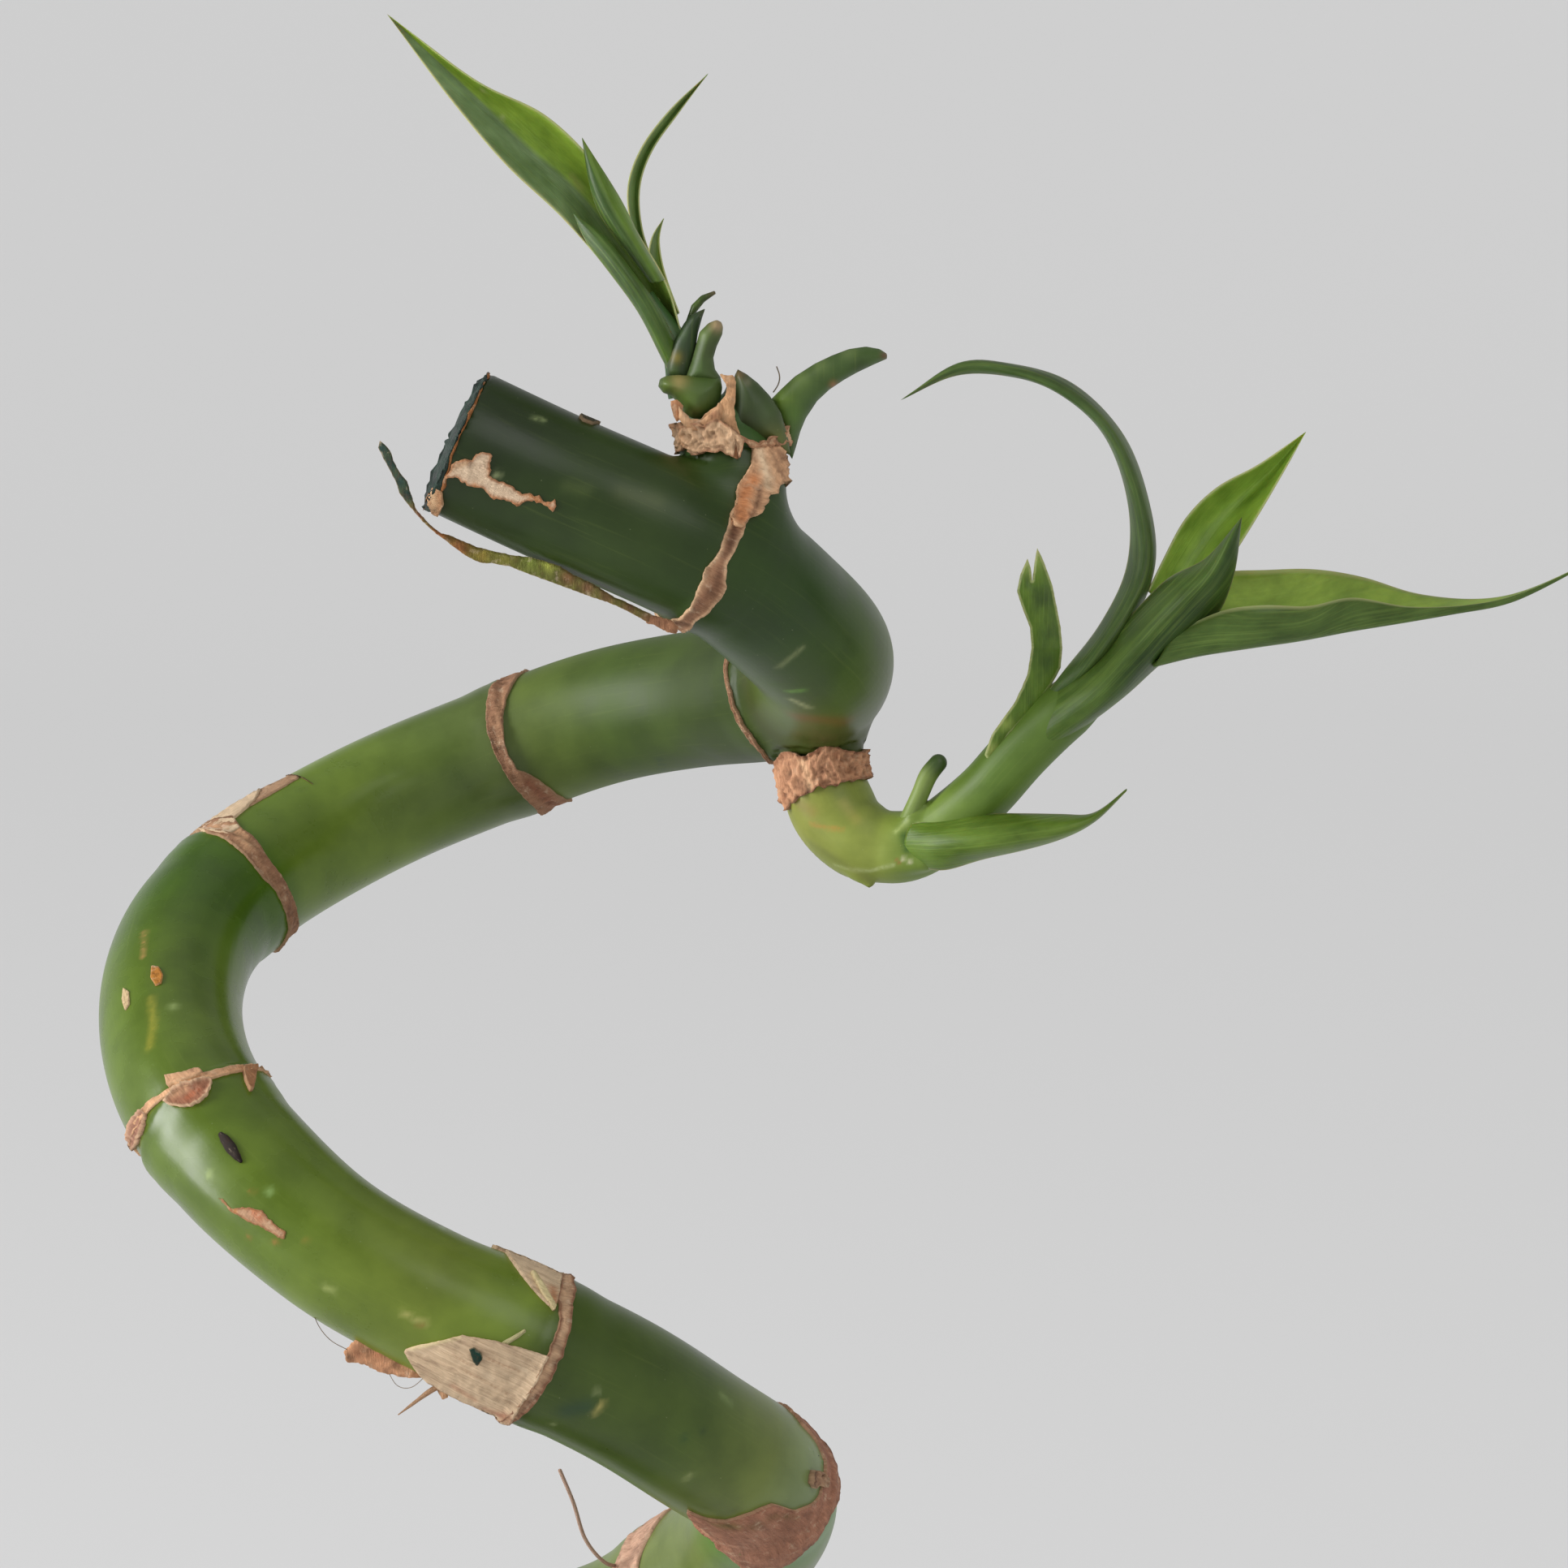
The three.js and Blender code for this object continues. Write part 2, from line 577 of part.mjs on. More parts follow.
const UPPER_LEAVES = {
  upper_leaf_spear: {
    left: [
      [18.2, -16.2, 307.1], [16, -15.5, 311.5], [12.4, -15.3, 315.9], [8.1, -15, 320.7], [3, -15.3, 325.5],
      [-2.1, -15.3, 331.5], [-8.5, -16, 340.1],
    ],
    rib: [
      [19.1, -13.5, 307.9], [17.2, -12.3, 312.4], [13.9, -11.5, 317.4], [9.9, -11.1, 322.7],
      [4.8, -11.9, 327.3], [-0.2, -13.2, 332.2], [-8.5, -16, 340.1],
    ],
    right: [
      [20.1, -15.9, 308.5], [18.6, -15.1, 313.8], [15.7, -14.3, 318.8], [11.9, -13.8, 325.1],
      [6.7, -14, 330.3], [0.3, -15, 333.5], [-8.5, -16, 340.1],
    ],
    rings: 12,
  },
  upper_leaf_outer: {
    left: [
      [18.2, -18.3, 306.6], [15.8, -18, 311.4], [12.8, -17.3, 315.5], [10.7, -16.4, 318.2],
      [9.4, -15.5, 320.9],
    ],
    rib: [
      [19, -19.7, 307.1], [16.7, -19.4, 312], [13.9, -18.3, 316.1], [11.6, -16.9, 318.8],
      [9.4, -15.5, 320.9],
    ],
    right: [
      [19.7, -18.1, 307.7], [17.5, -17.9, 312.2], [14.9, -17.3, 315.7], [12.3, -16.3, 318.8],
      [9.4, -15.5, 320.9],
    ],
    across: 3,
    rings: 8,
  },
  upper_leaf_inner: {
    left: [
      [16.8, -16, 314.4], [14.1, -15.9, 318], [11.9, -15.9, 321.1], [10.8, -15.3, 325],
      [10.3, -14.8, 328.2],
    ],
    rib: [
      [17.5, -17.5, 314.3], [15.1, -17.4, 318.2], [12.9, -16.9, 321.8], [11.4, -15.9, 325],
      [10.3, -14.8, 328.2],
    ],
    right: [
      [18.3, -16, 314.4], [16, -15.4, 318.3], [14.1, -15.3, 322.1], [12.2, -15.3, 325.2],
      [10.3, -14.8, 328.2],
    ],
    across: 3,
    rings: 8,
  },
  upper_leaf_arched: {
    left: [
      [16.7, -11, 313.7], [15, -9.2, 318.8], [14.5, -7.5, 323], [15.7, -4.9, 326.7], [18.4, -2.3, 330.4],
      [22.4, 1.3, 334.2],
    ],
    rib: [
      [17.1, -8.5, 313.6], [15.3, -6.7, 318.5], [14.9, -5, 322.9], [16, -2.4, 326.5], [18.8, -0.3, 330.2],
      [22.4, 1.3, 334.2],
    ],
    right: [
      [17.8, -8.5, 314], [16, -7.2, 318.5], [15.6, -5.5, 322.9], [16.8, -2.9, 326.6], [19.5, -0.8, 330.4],
      [22.4, 1.3, 334.2],
    ],
    across: 3,
    rings: 10,
  },
  upper_leaf_tongue: {
    left: [
      [18.2, -13.5, 311.1], [17, -12, 314.2], [16.6, -10.6, 316.3], [17, -9.3, 318.5], [18.1, -8, 320.1],
    ],
    rib: [
      [19.1, -11, 310.7], [17.8, -9.6, 313.9], [17.3, -8.4, 316.2], [17.3, -8.3, 318.4], [18.1, -8, 320.1],
    ],
    right: [
      [19.6, -11.5, 311], [18.4, -10, 314.1], [17.8, -8.6, 316.2], [17.6, -8.3, 318.2], [18.1, -8, 320.1],
    ],
    across: 3,
    rings: 6,
  },
  upper_leaf_horn: {
    left: [
      [28.7, -12.5, 298.2], [28.6, -11.9, 301.8], [30.3, -10.5, 304.3], [33.1, -9.3, 305.9],
      [36.4, -8.1, 307], [40.2, -7.1, 306.7],
    ],
    rib: [
      [30.2, -16.6, 298], [30.3, -16, 301.3], [32.1, -14.6, 303.8], [34.3, -12.9, 305.2],
      [36.9, -10.7, 306.1], [40.3, -7.1, 306.4],
    ],
    right: [
      [31.1, -12.7, 296.9], [31.8, -12.3, 299.4], [33.4, -10.9, 301.9], [35.6, -9.6, 303.9],
      [38, -8.4, 305.1], [40.4, -7.2, 306.2],
    ],
    thickness: 0.9,
    rings: 9,
  },
};

const LOWER_LEAVES = {
  lower_leaf_clasping: {
    left: [
      [58.8, -7.1, 274.6], [62.2, -7.2, 277.3], [65.4, -7.6, 280.9], [68.6, -8.1, 284.2],
      [72.1, -9.3, 286.2], [75.5, -11.7, 290.7],
    ],
    rib: [
      [61.6, -11, 272.6], [64.7, -11.9, 276.1], [67.5, -12.4, 279.4], [70.1, -13, 282.3],
      [72.8, -13, 285.3], [75.5, -11.7, 290.7],
    ],
    right: [
      [64.5, -7.5, 272.3], [67.5, -7.5, 275.1], [70.5, -8.2, 277.7], [73.2, -9.3, 280.3],
      [74.8, -10.6, 284.5], [75.5, -11.7, 290.7],
    ],
    rings: 11,
  },
  lower_leaf_long: {
    left: [
      [68.9, -5, 281.6], [73.9, -3.6, 284.1], [78.9, -3, 284.4], [84, -1.5, 284.3], [89, -0.7, 283.4],
      [94.9, -0.4, 281.6], [103.4, 1, 281.2], [115.3, 5.7, 285.3],
    ],
    rib: [
      [66.9, -10, 275.8], [70.9, -10.8, 276.9], [76.6, -10.7, 277.8], [83.2, -9, 278.6],
      [90.1, -6.4, 279.4], [97.8, -3.2, 280.2], [104, -0.5, 281], [115.3, 5.7, 285.3],
    ],
    right: [
      [68.8, -11.5, 279.1], [74, -12.1, 281.5], [78, -12.5, 282], [82.2, -11.1, 281.7], [87, -7.9, 282.2],
      [93.5, -5.1, 280.9], [103.1, -1, 281.2], [115.3, 5.7, 285.3],
    ],
    rings: 14,
  },
  lower_leaf_upright: {
    left: [
      [66.8, -4.8, 282.5], [68.5, -3.3, 285.7], [70.8, -1.7, 289.6], [74.1, -0.2, 292.6],
      [78.3, 1.1, 294.7], [83.3, 2.7, 298],
    ],
    rib: [
      [69, -3.6, 281], [70.9, -1.6, 284], [73.8, 0.6, 288], [76.8, 2.1, 291], [80.1, 2.6, 294.2],
      [83.3, 2.7, 298],
    ],
    right: [
      [71.2, -6.1, 281], [73.8, -4.6, 283.8], [76.3, -3.1, 287.3], [78.7, -1.5, 290.9], [81, 0.6, 294.4],
      [83.3, 2.7, 298],
    ],
    rings: 10,
  },
  lower_leaf_curled: {
    left: [
      [58.2, -7.1, 274.6], [61.9, -5.4, 279.1], [64.7, -3.5, 284.7], [64.7, -2, 291.1], [61.6, -0.4, 298],
      [56.7, 1.3, 302.3], [52.7, 2.6, 304], [47.7, 3.6, 304], [41.9, 3.7, 301.1],
    ],
    rib: [
      [60.9, -9.4, 275.9], [64.2, -7.7, 280.4], [66.3, -6, 285], [65.9, -4.5, 291], [62.8, -2.8, 298.6],
      [57.5, -0.1, 302.9], [52.6, 1.7, 304.4], [47.9, 2.9, 304.6], [41.9, 3.7, 301.1],
    ],
    right: [
      [63.1, -6.3, 276.8], [66.2, -5.1, 281.2], [67.6, -3.4, 285.5], [67.2, -2, 290.7], [64.8, 0.1, 297.7],
      [59.4, 2, 303.2], [52.8, 3.2, 304.6], [48.1, 3.8, 304.9], [41.9, 3.7, 301.1],
    ],
    rings: 16,
  },
  lower_leaf_small: {
    left: [
      [47.7, 1, 262.2], [51, -0.3, 266.3], [53.3, -1.7, 270.7], [54.8, -2.9, 275.5], [54.8, -3.4, 278.7],
      [53.5, -4, 281.6], [54.8, -3.3, 285.8],
    ],
    rib: [
      [49.4, -3.2, 260.9], [52.3, -4.5, 265.7], [54, -5.7, 270.5], [55.2, -6.5, 275.1], [55.6, -5.5, 278.7],
      [55.6, -3.9, 281.8], [55.4, -3.2, 286.6],
    ],
    right: [
      [51.1, -5.1, 262], [53.5, -6.3, 267.2], [55.3, -6.6, 271.4], [57.7, -5.1, 274.5], [58.2, -4.1, 277.7],
      [57.6, -3.5, 281.2], [55.8, -3.2, 286.6],
    ],
    rings: 12,
  },
  lower_leaf_low: {
    left: [
      [45.3, -2.6, 258.5], [49.4, -3.5, 259.4], [54.3, -4.9, 259.7], [58.4, -5.9, 259.8], [61.2, -6.9, 260],
      [64.7, -7, 262.6],
    ],
    rib: [
      [45.2, -6.4, 256.7], [49.7, -7.3, 257.3], [54.3, -8.2, 258.1], [58.4, -8.4, 258.8],
      [61.4, -7.9, 259.8], [64.7, -7, 262.6],
    ],
    right: [
      [46.1, -3.4, 253.6], [50.2, -4.2, 254.9], [54.8, -5.5, 256.2], [58.5, -6.3, 257.5], [61.6, -7, 259.3],
      [64.7, -7, 262.4],
    ],
    rings: 9,
  },
};

// The dried strip of an old sheath that hangs on at the first node and curls out past the cut top.
const DRIED_STRIP = {
  left: [
    [16.4, -22, 281.5], [12.1, -22.4, 283.2], [8.2, -22.4, 284.8], [4.2, -22.2, 286], [0.2, -22.1, 287.1],
    [-1.9, -22.2, 288.1], [-3.6, -22.6, 289.8], [-5.9, -23, 292.5], [-7.4, -21.6, 294.4],
    [-9.3, -19.2, 298.4],
  ],
  rib: [
    [16.6, -23.5, 282.1], [12.3, -23.8, 284], [8.3, -23.7, 285.7], [4.4, -23, 286.8], [0.1, -22.4, 287.8],
    [-2.1, -22.4, 288.8], [-3.7, -22.9, 290], [-6, -23.3, 292.8], [-7.4, -21.8, 294.8], [-9.4, -19.3, 298.6],
  ],
  right: [
    [16.4, -24.3, 283.1], [12.2, -24.5, 285.1], [8.3, -24.3, 286.9], [4.8, -23.3, 288],
    [0.4, -22.4, 288.8], [-1.8, -22.1, 289.6], [-3.1, -22.5, 290.5], [-5.5, -23, 293.2],
    [-6.8, -21.5, 295.4], [-9.1, -19, 298.7],
  ],
  across: 3,
  rings: 14,
};

// ---- Papery collars round the shoots' necks -----------------------------------------------------

// from and to are distances along the route, and ragged is how unevenly the ends are torn.
const COLLAR = { sides: 18, waves: 0.25 };
const UPPER_COLLAR = {
  route: [[25.1, -17.6, 293], [25.1, -17, 298], [24.4, -16.8, 301.5]],
  from: 3.4, to: 7.2, radius: 5.8, ragged: 0.8, seed: 11,
};
const LOWER_COLLAR = {
  route: [[33.9, 6.2, 266.4], [33.9, 5.4, 262.6], [35, 4.6, 258.8]],
  from: 1, to: 5.2, radius: 4.9, ragged: 0.7, seed: 31,
};

function collar({ route, from, to, radius, ragged, seed }) {
  return solidOf(sleeve(new Path(route, 0.5, 6), (angle, j) => {
    const start = from - ragged * chance(seed + j);
    const end = to + ragged * chance(seed + j + 60);
    const inner = radius + COLLAR.waves * chance(seed + j + 90);
    return [0, 0.5, 1].map((t) => [start + (end - start) * t, inner]);
  }, COLLAR.sides, PAPER));
}

// ---- The whole plant ----------------------------------------------------------------------------

const cane = caneSolid();
const caneCutter = caneSolid(CLEARANCE);
const vase = makeVase();

addMesh("vase", geometryOf(vase), MATERIALS.ceramic);
addMesh("pebble_bed", geometryOf(trimmed(makeBed(), [caneCutter])), MATERIALS.pebble);
addMesh("cane", geometryOf(cane), MATERIALS.cane);
addMesh("wax_seal", geometryOf(makeWax()), MATERIALS.wax);

const upperShoot = trimmed(shootSolid(UPPER_SHOOT), [caneCutter]);
const upperCutter = shootSolid(UPPER_SHOOT, CLEARANCE);
const lowerShoot = trimmed(shootSolid(LOWER_SHOOT), [caneCutter]);
const lowerCutter = shootSolid(LOWER_SHOOT, CLEARANCE);
addMesh("upper_shoot", geometryOf(upperShoot), MATERIALS.shoot);
addMesh("lower_shoot", geometryOf(lowerShoot), MATERIALS.shoot);

const necks = joined([neck(UPPER_NECK, CLEARANCE), neck(LOWER_NECK, CLEARANCE)]);
RINGS.forEach((shape, i) => {
  const ring = solidOf(sheathRing(CANE_NODES[i], shape, i + 1));
  const name = `sheath_ring_${String(i + 1).padStart(2, "0")}`;
  addMesh(name, geometryOf(trimmed(ring, [necks, upperCutter, lowerCutter])), MATERIALS.paper);
});

const ringCutters = [0, 1].map((i) => solidOf(sheathRing(CANE_NODES[i], RINGS[i], i + 1, CLEARANCE)));

function addLeaves(leaves, cutters) {
  for (const [name, shape] of Object.entries(leaves)) {
    addMesh(name, geometryOf(trimmed(solidOf(blade(shape)), cutters)), MATERIALS.leaf);
    cutters.push(solidOf(blade(shape, LEAF_CLEARANCE)));
  }
}
const upperCutters = [caneCutter, upperCutter];
const lowerCutters = [caneCutter, lowerCutter];
addLeaves(UPPER_LEAVES, upperCutters);
addLeaves(LOWER_LEAVES, lowerCutters);

const upperCollar = trimmed(collar(UPPER_COLLAR), [...upperCutters, ...ringCutters]);
const lowerCollar = trimmed(collar(LOWER_COLLAR), [...lowerCutters, ...ringCutters]);
addMesh("upper_collar", geometryOf(upperCollar), MATERIALS.paper);
addMesh("lower_collar", geometryOf(lowerCollar), MATERIALS.paper);
const stripCutters = [caneCutter, makeWax(CLEARANCE), ...ringCutters];
addMesh("dried_strip", geometryOf(trimmed(solidOf(blade(DRIED_STRIP)), stripCutters)), MATERIALS.dried);

export default plant;
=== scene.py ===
"""A lucky bamboo: a spiral cane with a waxed cut top and two leafy side shoots, in a vase of pebbles.

Lengths are millimetres until a mesh is made, and the frame is the model's own: +Z up, the viewer on
the -Y side. Pixel coordinates are those of the 1932 x 1932 picture that the camera takes.
"""

import math

import bmesh
import bpy
import numpy as np
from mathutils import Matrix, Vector, geometry, noise
from mathutils.bvhtree import BVHTree


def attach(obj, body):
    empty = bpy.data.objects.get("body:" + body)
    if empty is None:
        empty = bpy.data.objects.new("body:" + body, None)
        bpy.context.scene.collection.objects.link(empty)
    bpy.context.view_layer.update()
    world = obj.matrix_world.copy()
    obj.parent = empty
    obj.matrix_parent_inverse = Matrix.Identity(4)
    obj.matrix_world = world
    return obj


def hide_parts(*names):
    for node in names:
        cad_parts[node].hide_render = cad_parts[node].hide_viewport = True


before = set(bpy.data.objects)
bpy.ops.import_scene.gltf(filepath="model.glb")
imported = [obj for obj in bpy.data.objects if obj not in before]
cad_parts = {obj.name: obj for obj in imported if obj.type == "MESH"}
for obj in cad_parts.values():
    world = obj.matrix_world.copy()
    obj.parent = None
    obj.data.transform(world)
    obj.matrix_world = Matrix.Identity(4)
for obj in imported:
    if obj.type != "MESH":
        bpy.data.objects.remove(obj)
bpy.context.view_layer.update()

MM = 0.001
TURN = 2 * math.pi
TINY = 1e-12

# ---- Camera -------------------------------------------------------------------------------------

PICTURE = 1932  # pixels a side
FOCAL = 6000.0  # pixels
SENSOR = 36.0
ELEVATION = math.radians(9)
TARGET = np.array([30.0, 0.0, 262.0])
CAMERA_DISTANCE = 500.0
PIXELS_PER_MM = 12.2  # on the near side of the coil
FORWARD = np.array([0.0, math.cos(ELEVATION), -math.sin(ELEVATION)])
UPWARD = np.array([0.0, math.sin(ELEVATION), math.cos(ELEVATION)])
RIGHTWARD = np.array([1.0, 0.0, 0.0])
EYE = TARGET - CAMERA_DISTANCE * FORWARD


def sight(u, v):
    """The direction in which the camera sees a pixel."""
    across = (u - PICTURE / 2) / FOCAL
    down = (v - PICTURE / 2) / FOCAL
    return FORWARD + RIGHTWARD * across - UPWARD * down


def spot(u, v, y):
    """The point that the camera sees at a pixel, in the plane at a y."""
    ray = sight(u, v)
    return EYE + ray * ((y - EYE[1]) / ray[1])


def make_camera():
    data = bpy.data.cameras.new("camera")
    data.sensor_width = SENSOR
    data.lens = SENSOR * FOCAL / PICTURE
    data.clip_start = 0.01
    data.clip_end = 30
    camera = bpy.data.objects.new("camera", data)
    camera.location = Vector(EYE * MM)
    camera.rotation_euler = (math.pi / 2 - ELEVATION, 0, 0)
    bpy.context.scene.collection.objects.link(camera)
    bpy.context.scene.camera = camera


# ---- Numbers ------------------------------------------------------------------------------------

def unit(vectors):
    length = np.linalg.norm(vectors, axis=-1, keepdims=True)
    return vectors / np.maximum(length, TINY)


def eased(low, high, value):
    t = np.clip((value - low) / (high - low), 0, 1)
    return t * t * (3 - 2 * t)


def along(stops, straight=False):
    """A function through [place, value] stops. A value may be a number or a tuple."""
    places = np.array([place for place, _ in stops], float)
    values = np.array([value for _, value in stops], float)

    def at(t):
        t = np.asarray(t, float)
        i = np.clip(np.searchsorted(places, t, side="right") - 1, 0, len(places) - 2)
        k = np.clip((t - places[i]) / (places[i + 1] - places[i]), 0, 1)
        k = k if straight else k * k * (3 - 2 * k)
        if values.ndim > 1:
            k = k[..., None]
        return values[i] + (values[i + 1] - values[i]) * k

    return at


def chance(n):
    """A repeatable number from 0 to 1 for each whole number."""
    x = np.sin(np.asarray(n) * 12.9898) * 43758.5453
    return x - np.floor(x)


def lumps(points, size, seed=0.0):
    """Smooth noise from -1 to 1 at each point, with lumps of about a size in millimetres."""
    offset = Vector((seed * 17.3, seed * 5.7, seed * 11.1))
    return np.array([noise.noise(Vector(point) / size + offset) for point in points])


def folds(points, size, seed=0.0):
    """Noise from about -1 to 1 with sharp ridges, like crumpled paper."""
    return 1 - 2.6 * np.abs(lumps(points, size, seed))


def crumpled(points, fine, seed):
    """Wide and fine folds together."""
    return 0.7 * folds(points, 1.3, seed) + 0.5 * folds(points, fine, seed + 3)


def round_angles(count):
    """Even angles of one full turn."""
    return np.arange(count) / count * TURN


def cylindrical(angle, radius, height):
    """Points at angles round an upright axis, at a radius and a height."""
    angle, radius, height = np.broadcast_arrays(angle, radius, height)
    return np.stack([np.cos(angle) * radius, np.sin(angle) * radius, height], -1)


def mixed(one, other, share):
    return one * (1 - share) + np.array(other) * share


def srgb(red, green, blue):
    """A linear colour from the 0 to 255 values of a screen colour."""
    return tuple(
        ((c / 255 + 0.055) / 1.055) ** 2.4 if c > 10 else c / 255 / 12.92 for c in (red, green, blue))


# ---- Paths --------------------------------------------------------------------------------------

BATCH = 20000  # points that are looked up at once, which bounds the memory


def catmull_rom(points, per_span=24):
    """A centripetal Catmull-Rom curve through points, as a fine polyline."""
    points = np.asarray(points, float)
    ends = [2 * points[0] - points[1], 2 * points[-1] - points[-2]]
    padded = np.vstack([ends[0], points, ends[1]])
    t = np.linspace(0, 1, per_span, endpoint=False)[:, None]
    spans = []
    for i in range(1, len(padded) - 2):
        a, b, c, d = padded[i - 1:i + 3]
        ab, bc, cd = (math.sqrt(np.linalg.norm(q - p)) for p, q in ((a, b), (b, c), (c, d)))
        start = ((b - a) / ab - (c - a) / (ab + bc) + (c - b) / bc) * bc
        end = ((c - b) / bc - (d - b) / (bc + cd) + (d - c) / cd) * bc
        square, cube = t * t, t * t * t
        spans.append(b * (2 * cube - 3 * square + 1) + start * (cube - 2 * square + t)
                     + c * (3 * square - 2 * cube) + end * (cube - square))
    return np.vstack([*spans, points[-1:]])


def distances(line):
    return np.concatenate([[0], np.cumsum(np.linalg.norm(np.diff(line, axis=0), axis=1))])


class Path:
    """A smooth middle line through given points, with a frame that turns as little as it can."""

    def __init__(self, points, step=1.0, passes=15):
        fine = catmull_rom(points)
        places = distances(fine)
        count = max(6, round(places[-1] / step))
        even = np.linspace(0, places[-1], count + 1)
        line = np.stack([np.interp(even, places, fine[:, k]) for k in range(3)], -1)
        for _ in range(passes):
            line[1:-1] = 0.25 * line[:-2] + 0.25 * line[2:] + 0.5 * line[1:-1]
        self.line = line
        self.places = distances(line)
        self.length = self.places[-1]
        before = np.vstack([line[:1], line[:-1]])
        after = np.vstack([line[1:], line[-1:]])
        self.tangents = unit(after - before)
        reference = (1, 0, 0) if abs(self.tangents[0][2]) > 0.9 else (0, 0, 1)
        sides = [unit(np.cross(reference, self.tangents[0]))]
        for last, this in zip(self.tangents[:-1], self.tangents[1:]):
            axis = np.cross(last, this)
            side = sides[-1]
            cosine = last @ this
            turned = side * cosine + np.cross(axis, side) + axis * (axis @ side) / (1 + cosine)
            sides.append(unit(turned))
        self.sides = np.array(sides)

    def at(self, s):
        """The middle, tangent, side and up at distances along the line; past its ends it runs straight."""
        s = np.asarray(s, float)
        inside = np.clip(s, 0, self.length)
        middle, tangent, side = (
            np.stack([np.interp(inside, self.places, values[:, k]) for k in range(3)], -1)
            for values in (self.line, self.tangents, self.sides))
        tangent = unit(tangent)
        side = unit(side - tangent * (side * tangent).sum(-1, keepdims=True))
        return middle + tangent * (s - inside)[..., None], tangent, side, np.cross(tangent, side)

    def around(self, s, angle, radius):
        """Points at distances along the line, at angles round it and at a radius."""
        s, angle, radius = np.broadcast_arrays(s, angle, radius)
        middle, _, side, up = self.at(s)
        across = side * (np.cos(angle) * radius)[..., None]
        return middle + across + up * (np.sin(angle) * radius)[..., None]

    def locate(self, points, low=None, high=None):
        """How far along the line points lie, at what angle round it, and how far from it."""
        points = np.asarray(points, float)
        low = 0 if low is None else low
        high = self.length if high is None else high
        chosen = np.flatnonzero((self.places >= low) & (self.places <= high))
        nearest = np.empty(len(points), int)
        for start in range(0, len(points), BATCH):
            part = points[start:start + BATCH]
            gaps = ((part[:, None, :] - self.line[None, chosen, :]) ** 2).sum(-1)
            nearest[start:start + BATCH] = chosen[gaps.argmin(1)]
        off = points - self.line[nearest]
        s = self.places[nearest] + (off * self.tangents[nearest]).sum(-1)
        s = np.clip(s, max(0, low), min(self.length, high))
        middle, _, side, up = self.at(s)
        off = points - middle
        angle = np.arctan2((off * up).sum(-1), (off * side).sum(-1))
        return s, angle, np.linalg.norm(off, axis=-1)


# ---- Meshes -------------------------------------------------------------------------------------

def grid_faces(rows, columns, wrap=True, start=0):
    """The quads of a grid of points, row after row; wrap joins its last column to its first."""
    reach = columns if wrap else columns - 1
    i, j = np.meshgrid(np.arange(rows - 1), np.arange(reach), indexing="ij")
    a = i * columns + j
    b = i * columns + (j + 1) % columns
    quads = np.stack([a, b, b + columns, a + columns], -1).reshape(-1, 4) + start
    return quads.tolist()


def capped_faces(rows, columns):
    """The faces of rings of points, with a face across the first ring and across the last."""
    last = (rows - 1) * columns
    return grid_faces(rows, columns) + [list(range(columns)), [last + j for j in range(columns)]]


def joined_faces(rows, columns):
    """The faces of rings of points whose last ring joins the first."""
    last = (rows - 1) * columns
    return grid_faces(rows, columns) + [
        [last + j, last + (j + 1) % columns, (j + 1) % columns, j] for j in range(columns)]


class Shape:
    """Points and faces, with values for each point, that grow part by part into one mesh."""

    def __init__(self):
        self.points = np.empty((0, 3))
        self.faces = []
        self.values = {}

    def add(self, points, faces, **values):
        start = len(self.points)
        points = np.asarray(points, float).reshape(-1, 3)
        self.faces += [[corner + start for corner in face] for face in faces]
        self.points = np.vstack([self.points, points])
        for key, value in values.items():
            value = np.asarray(value, float)
            if value.ndim < 2 and value.size == 3:
                value = np.broadcast_to(value, (len(points), 3))
            elif value.ndim == 0:
                value = np.broadcast_to(value, (len(points),))
            kept = self.values.get(key)
            self.values[key] = value if kept is None else np.concatenate([kept, value])
        return self

    def stroke(self, strokes, surface, stretch=()):
        """Puts soft strokes of colour over the tint."""
        self.values["tint"] = stroked(self.values["tint"], self.points, strokes, surface, stretch)

    def dulled(self, value):
        """Swaps the distance from an edge, which only paper uses, for the dullness of living skin."""
        self.values.pop("edge", None)
        self.values["dull"] = np.full(len(self.points), value)
        return self

    def piece(self, name, material, slot, *nodes):
        """Makes the object, puts it on the root body and hides the imported parts of the nodes it stands for.
        """
        mesh = bpy.data.meshes.new(name)
        mesh.from_pydata((self.points * MM).tolist(), [], self.faces)
        mesh.validate()
        for key, value in self.values.items():
            kind, field = ("FLOAT_VECTOR", "vector") if value.ndim > 1 else ("FLOAT", "value")
            layer = mesh.attributes.new(key, kind, "POINT")
            layer.data.foreach_set(field, np.ascontiguousarray(value, dtype=np.float32).ravel())
        mesh.materials.append(material)
        mesh.polygons.foreach_set("use_smooth", [True] * len(mesh.polygons))
        made = bpy.data.objects.new(name, mesh)
        bpy.context.scene.collection.objects.link(made)
        turn_outwards(made)
        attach(made, "root")
        if nodes:
            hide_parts(*nodes)
        return made


def turn_outwards(made):
    work = bmesh.new()
    work.from_mesh(made.data)
    bmesh.ops.recalc_face_normals(work, faces=work.faces)
    work.to_mesh(made.data)
    work.free()


def tube(path, radius_at, sides, stations):
    """The points and faces of a round limb with flat ends."""
    stations = np.asarray(stations, float)
    points = path.around(stations[:, None], round_angles(sides)[None, :], radius_at(stations)[:, None])
    return points.reshape(-1, 3), capped_faces(len(stations), sides)


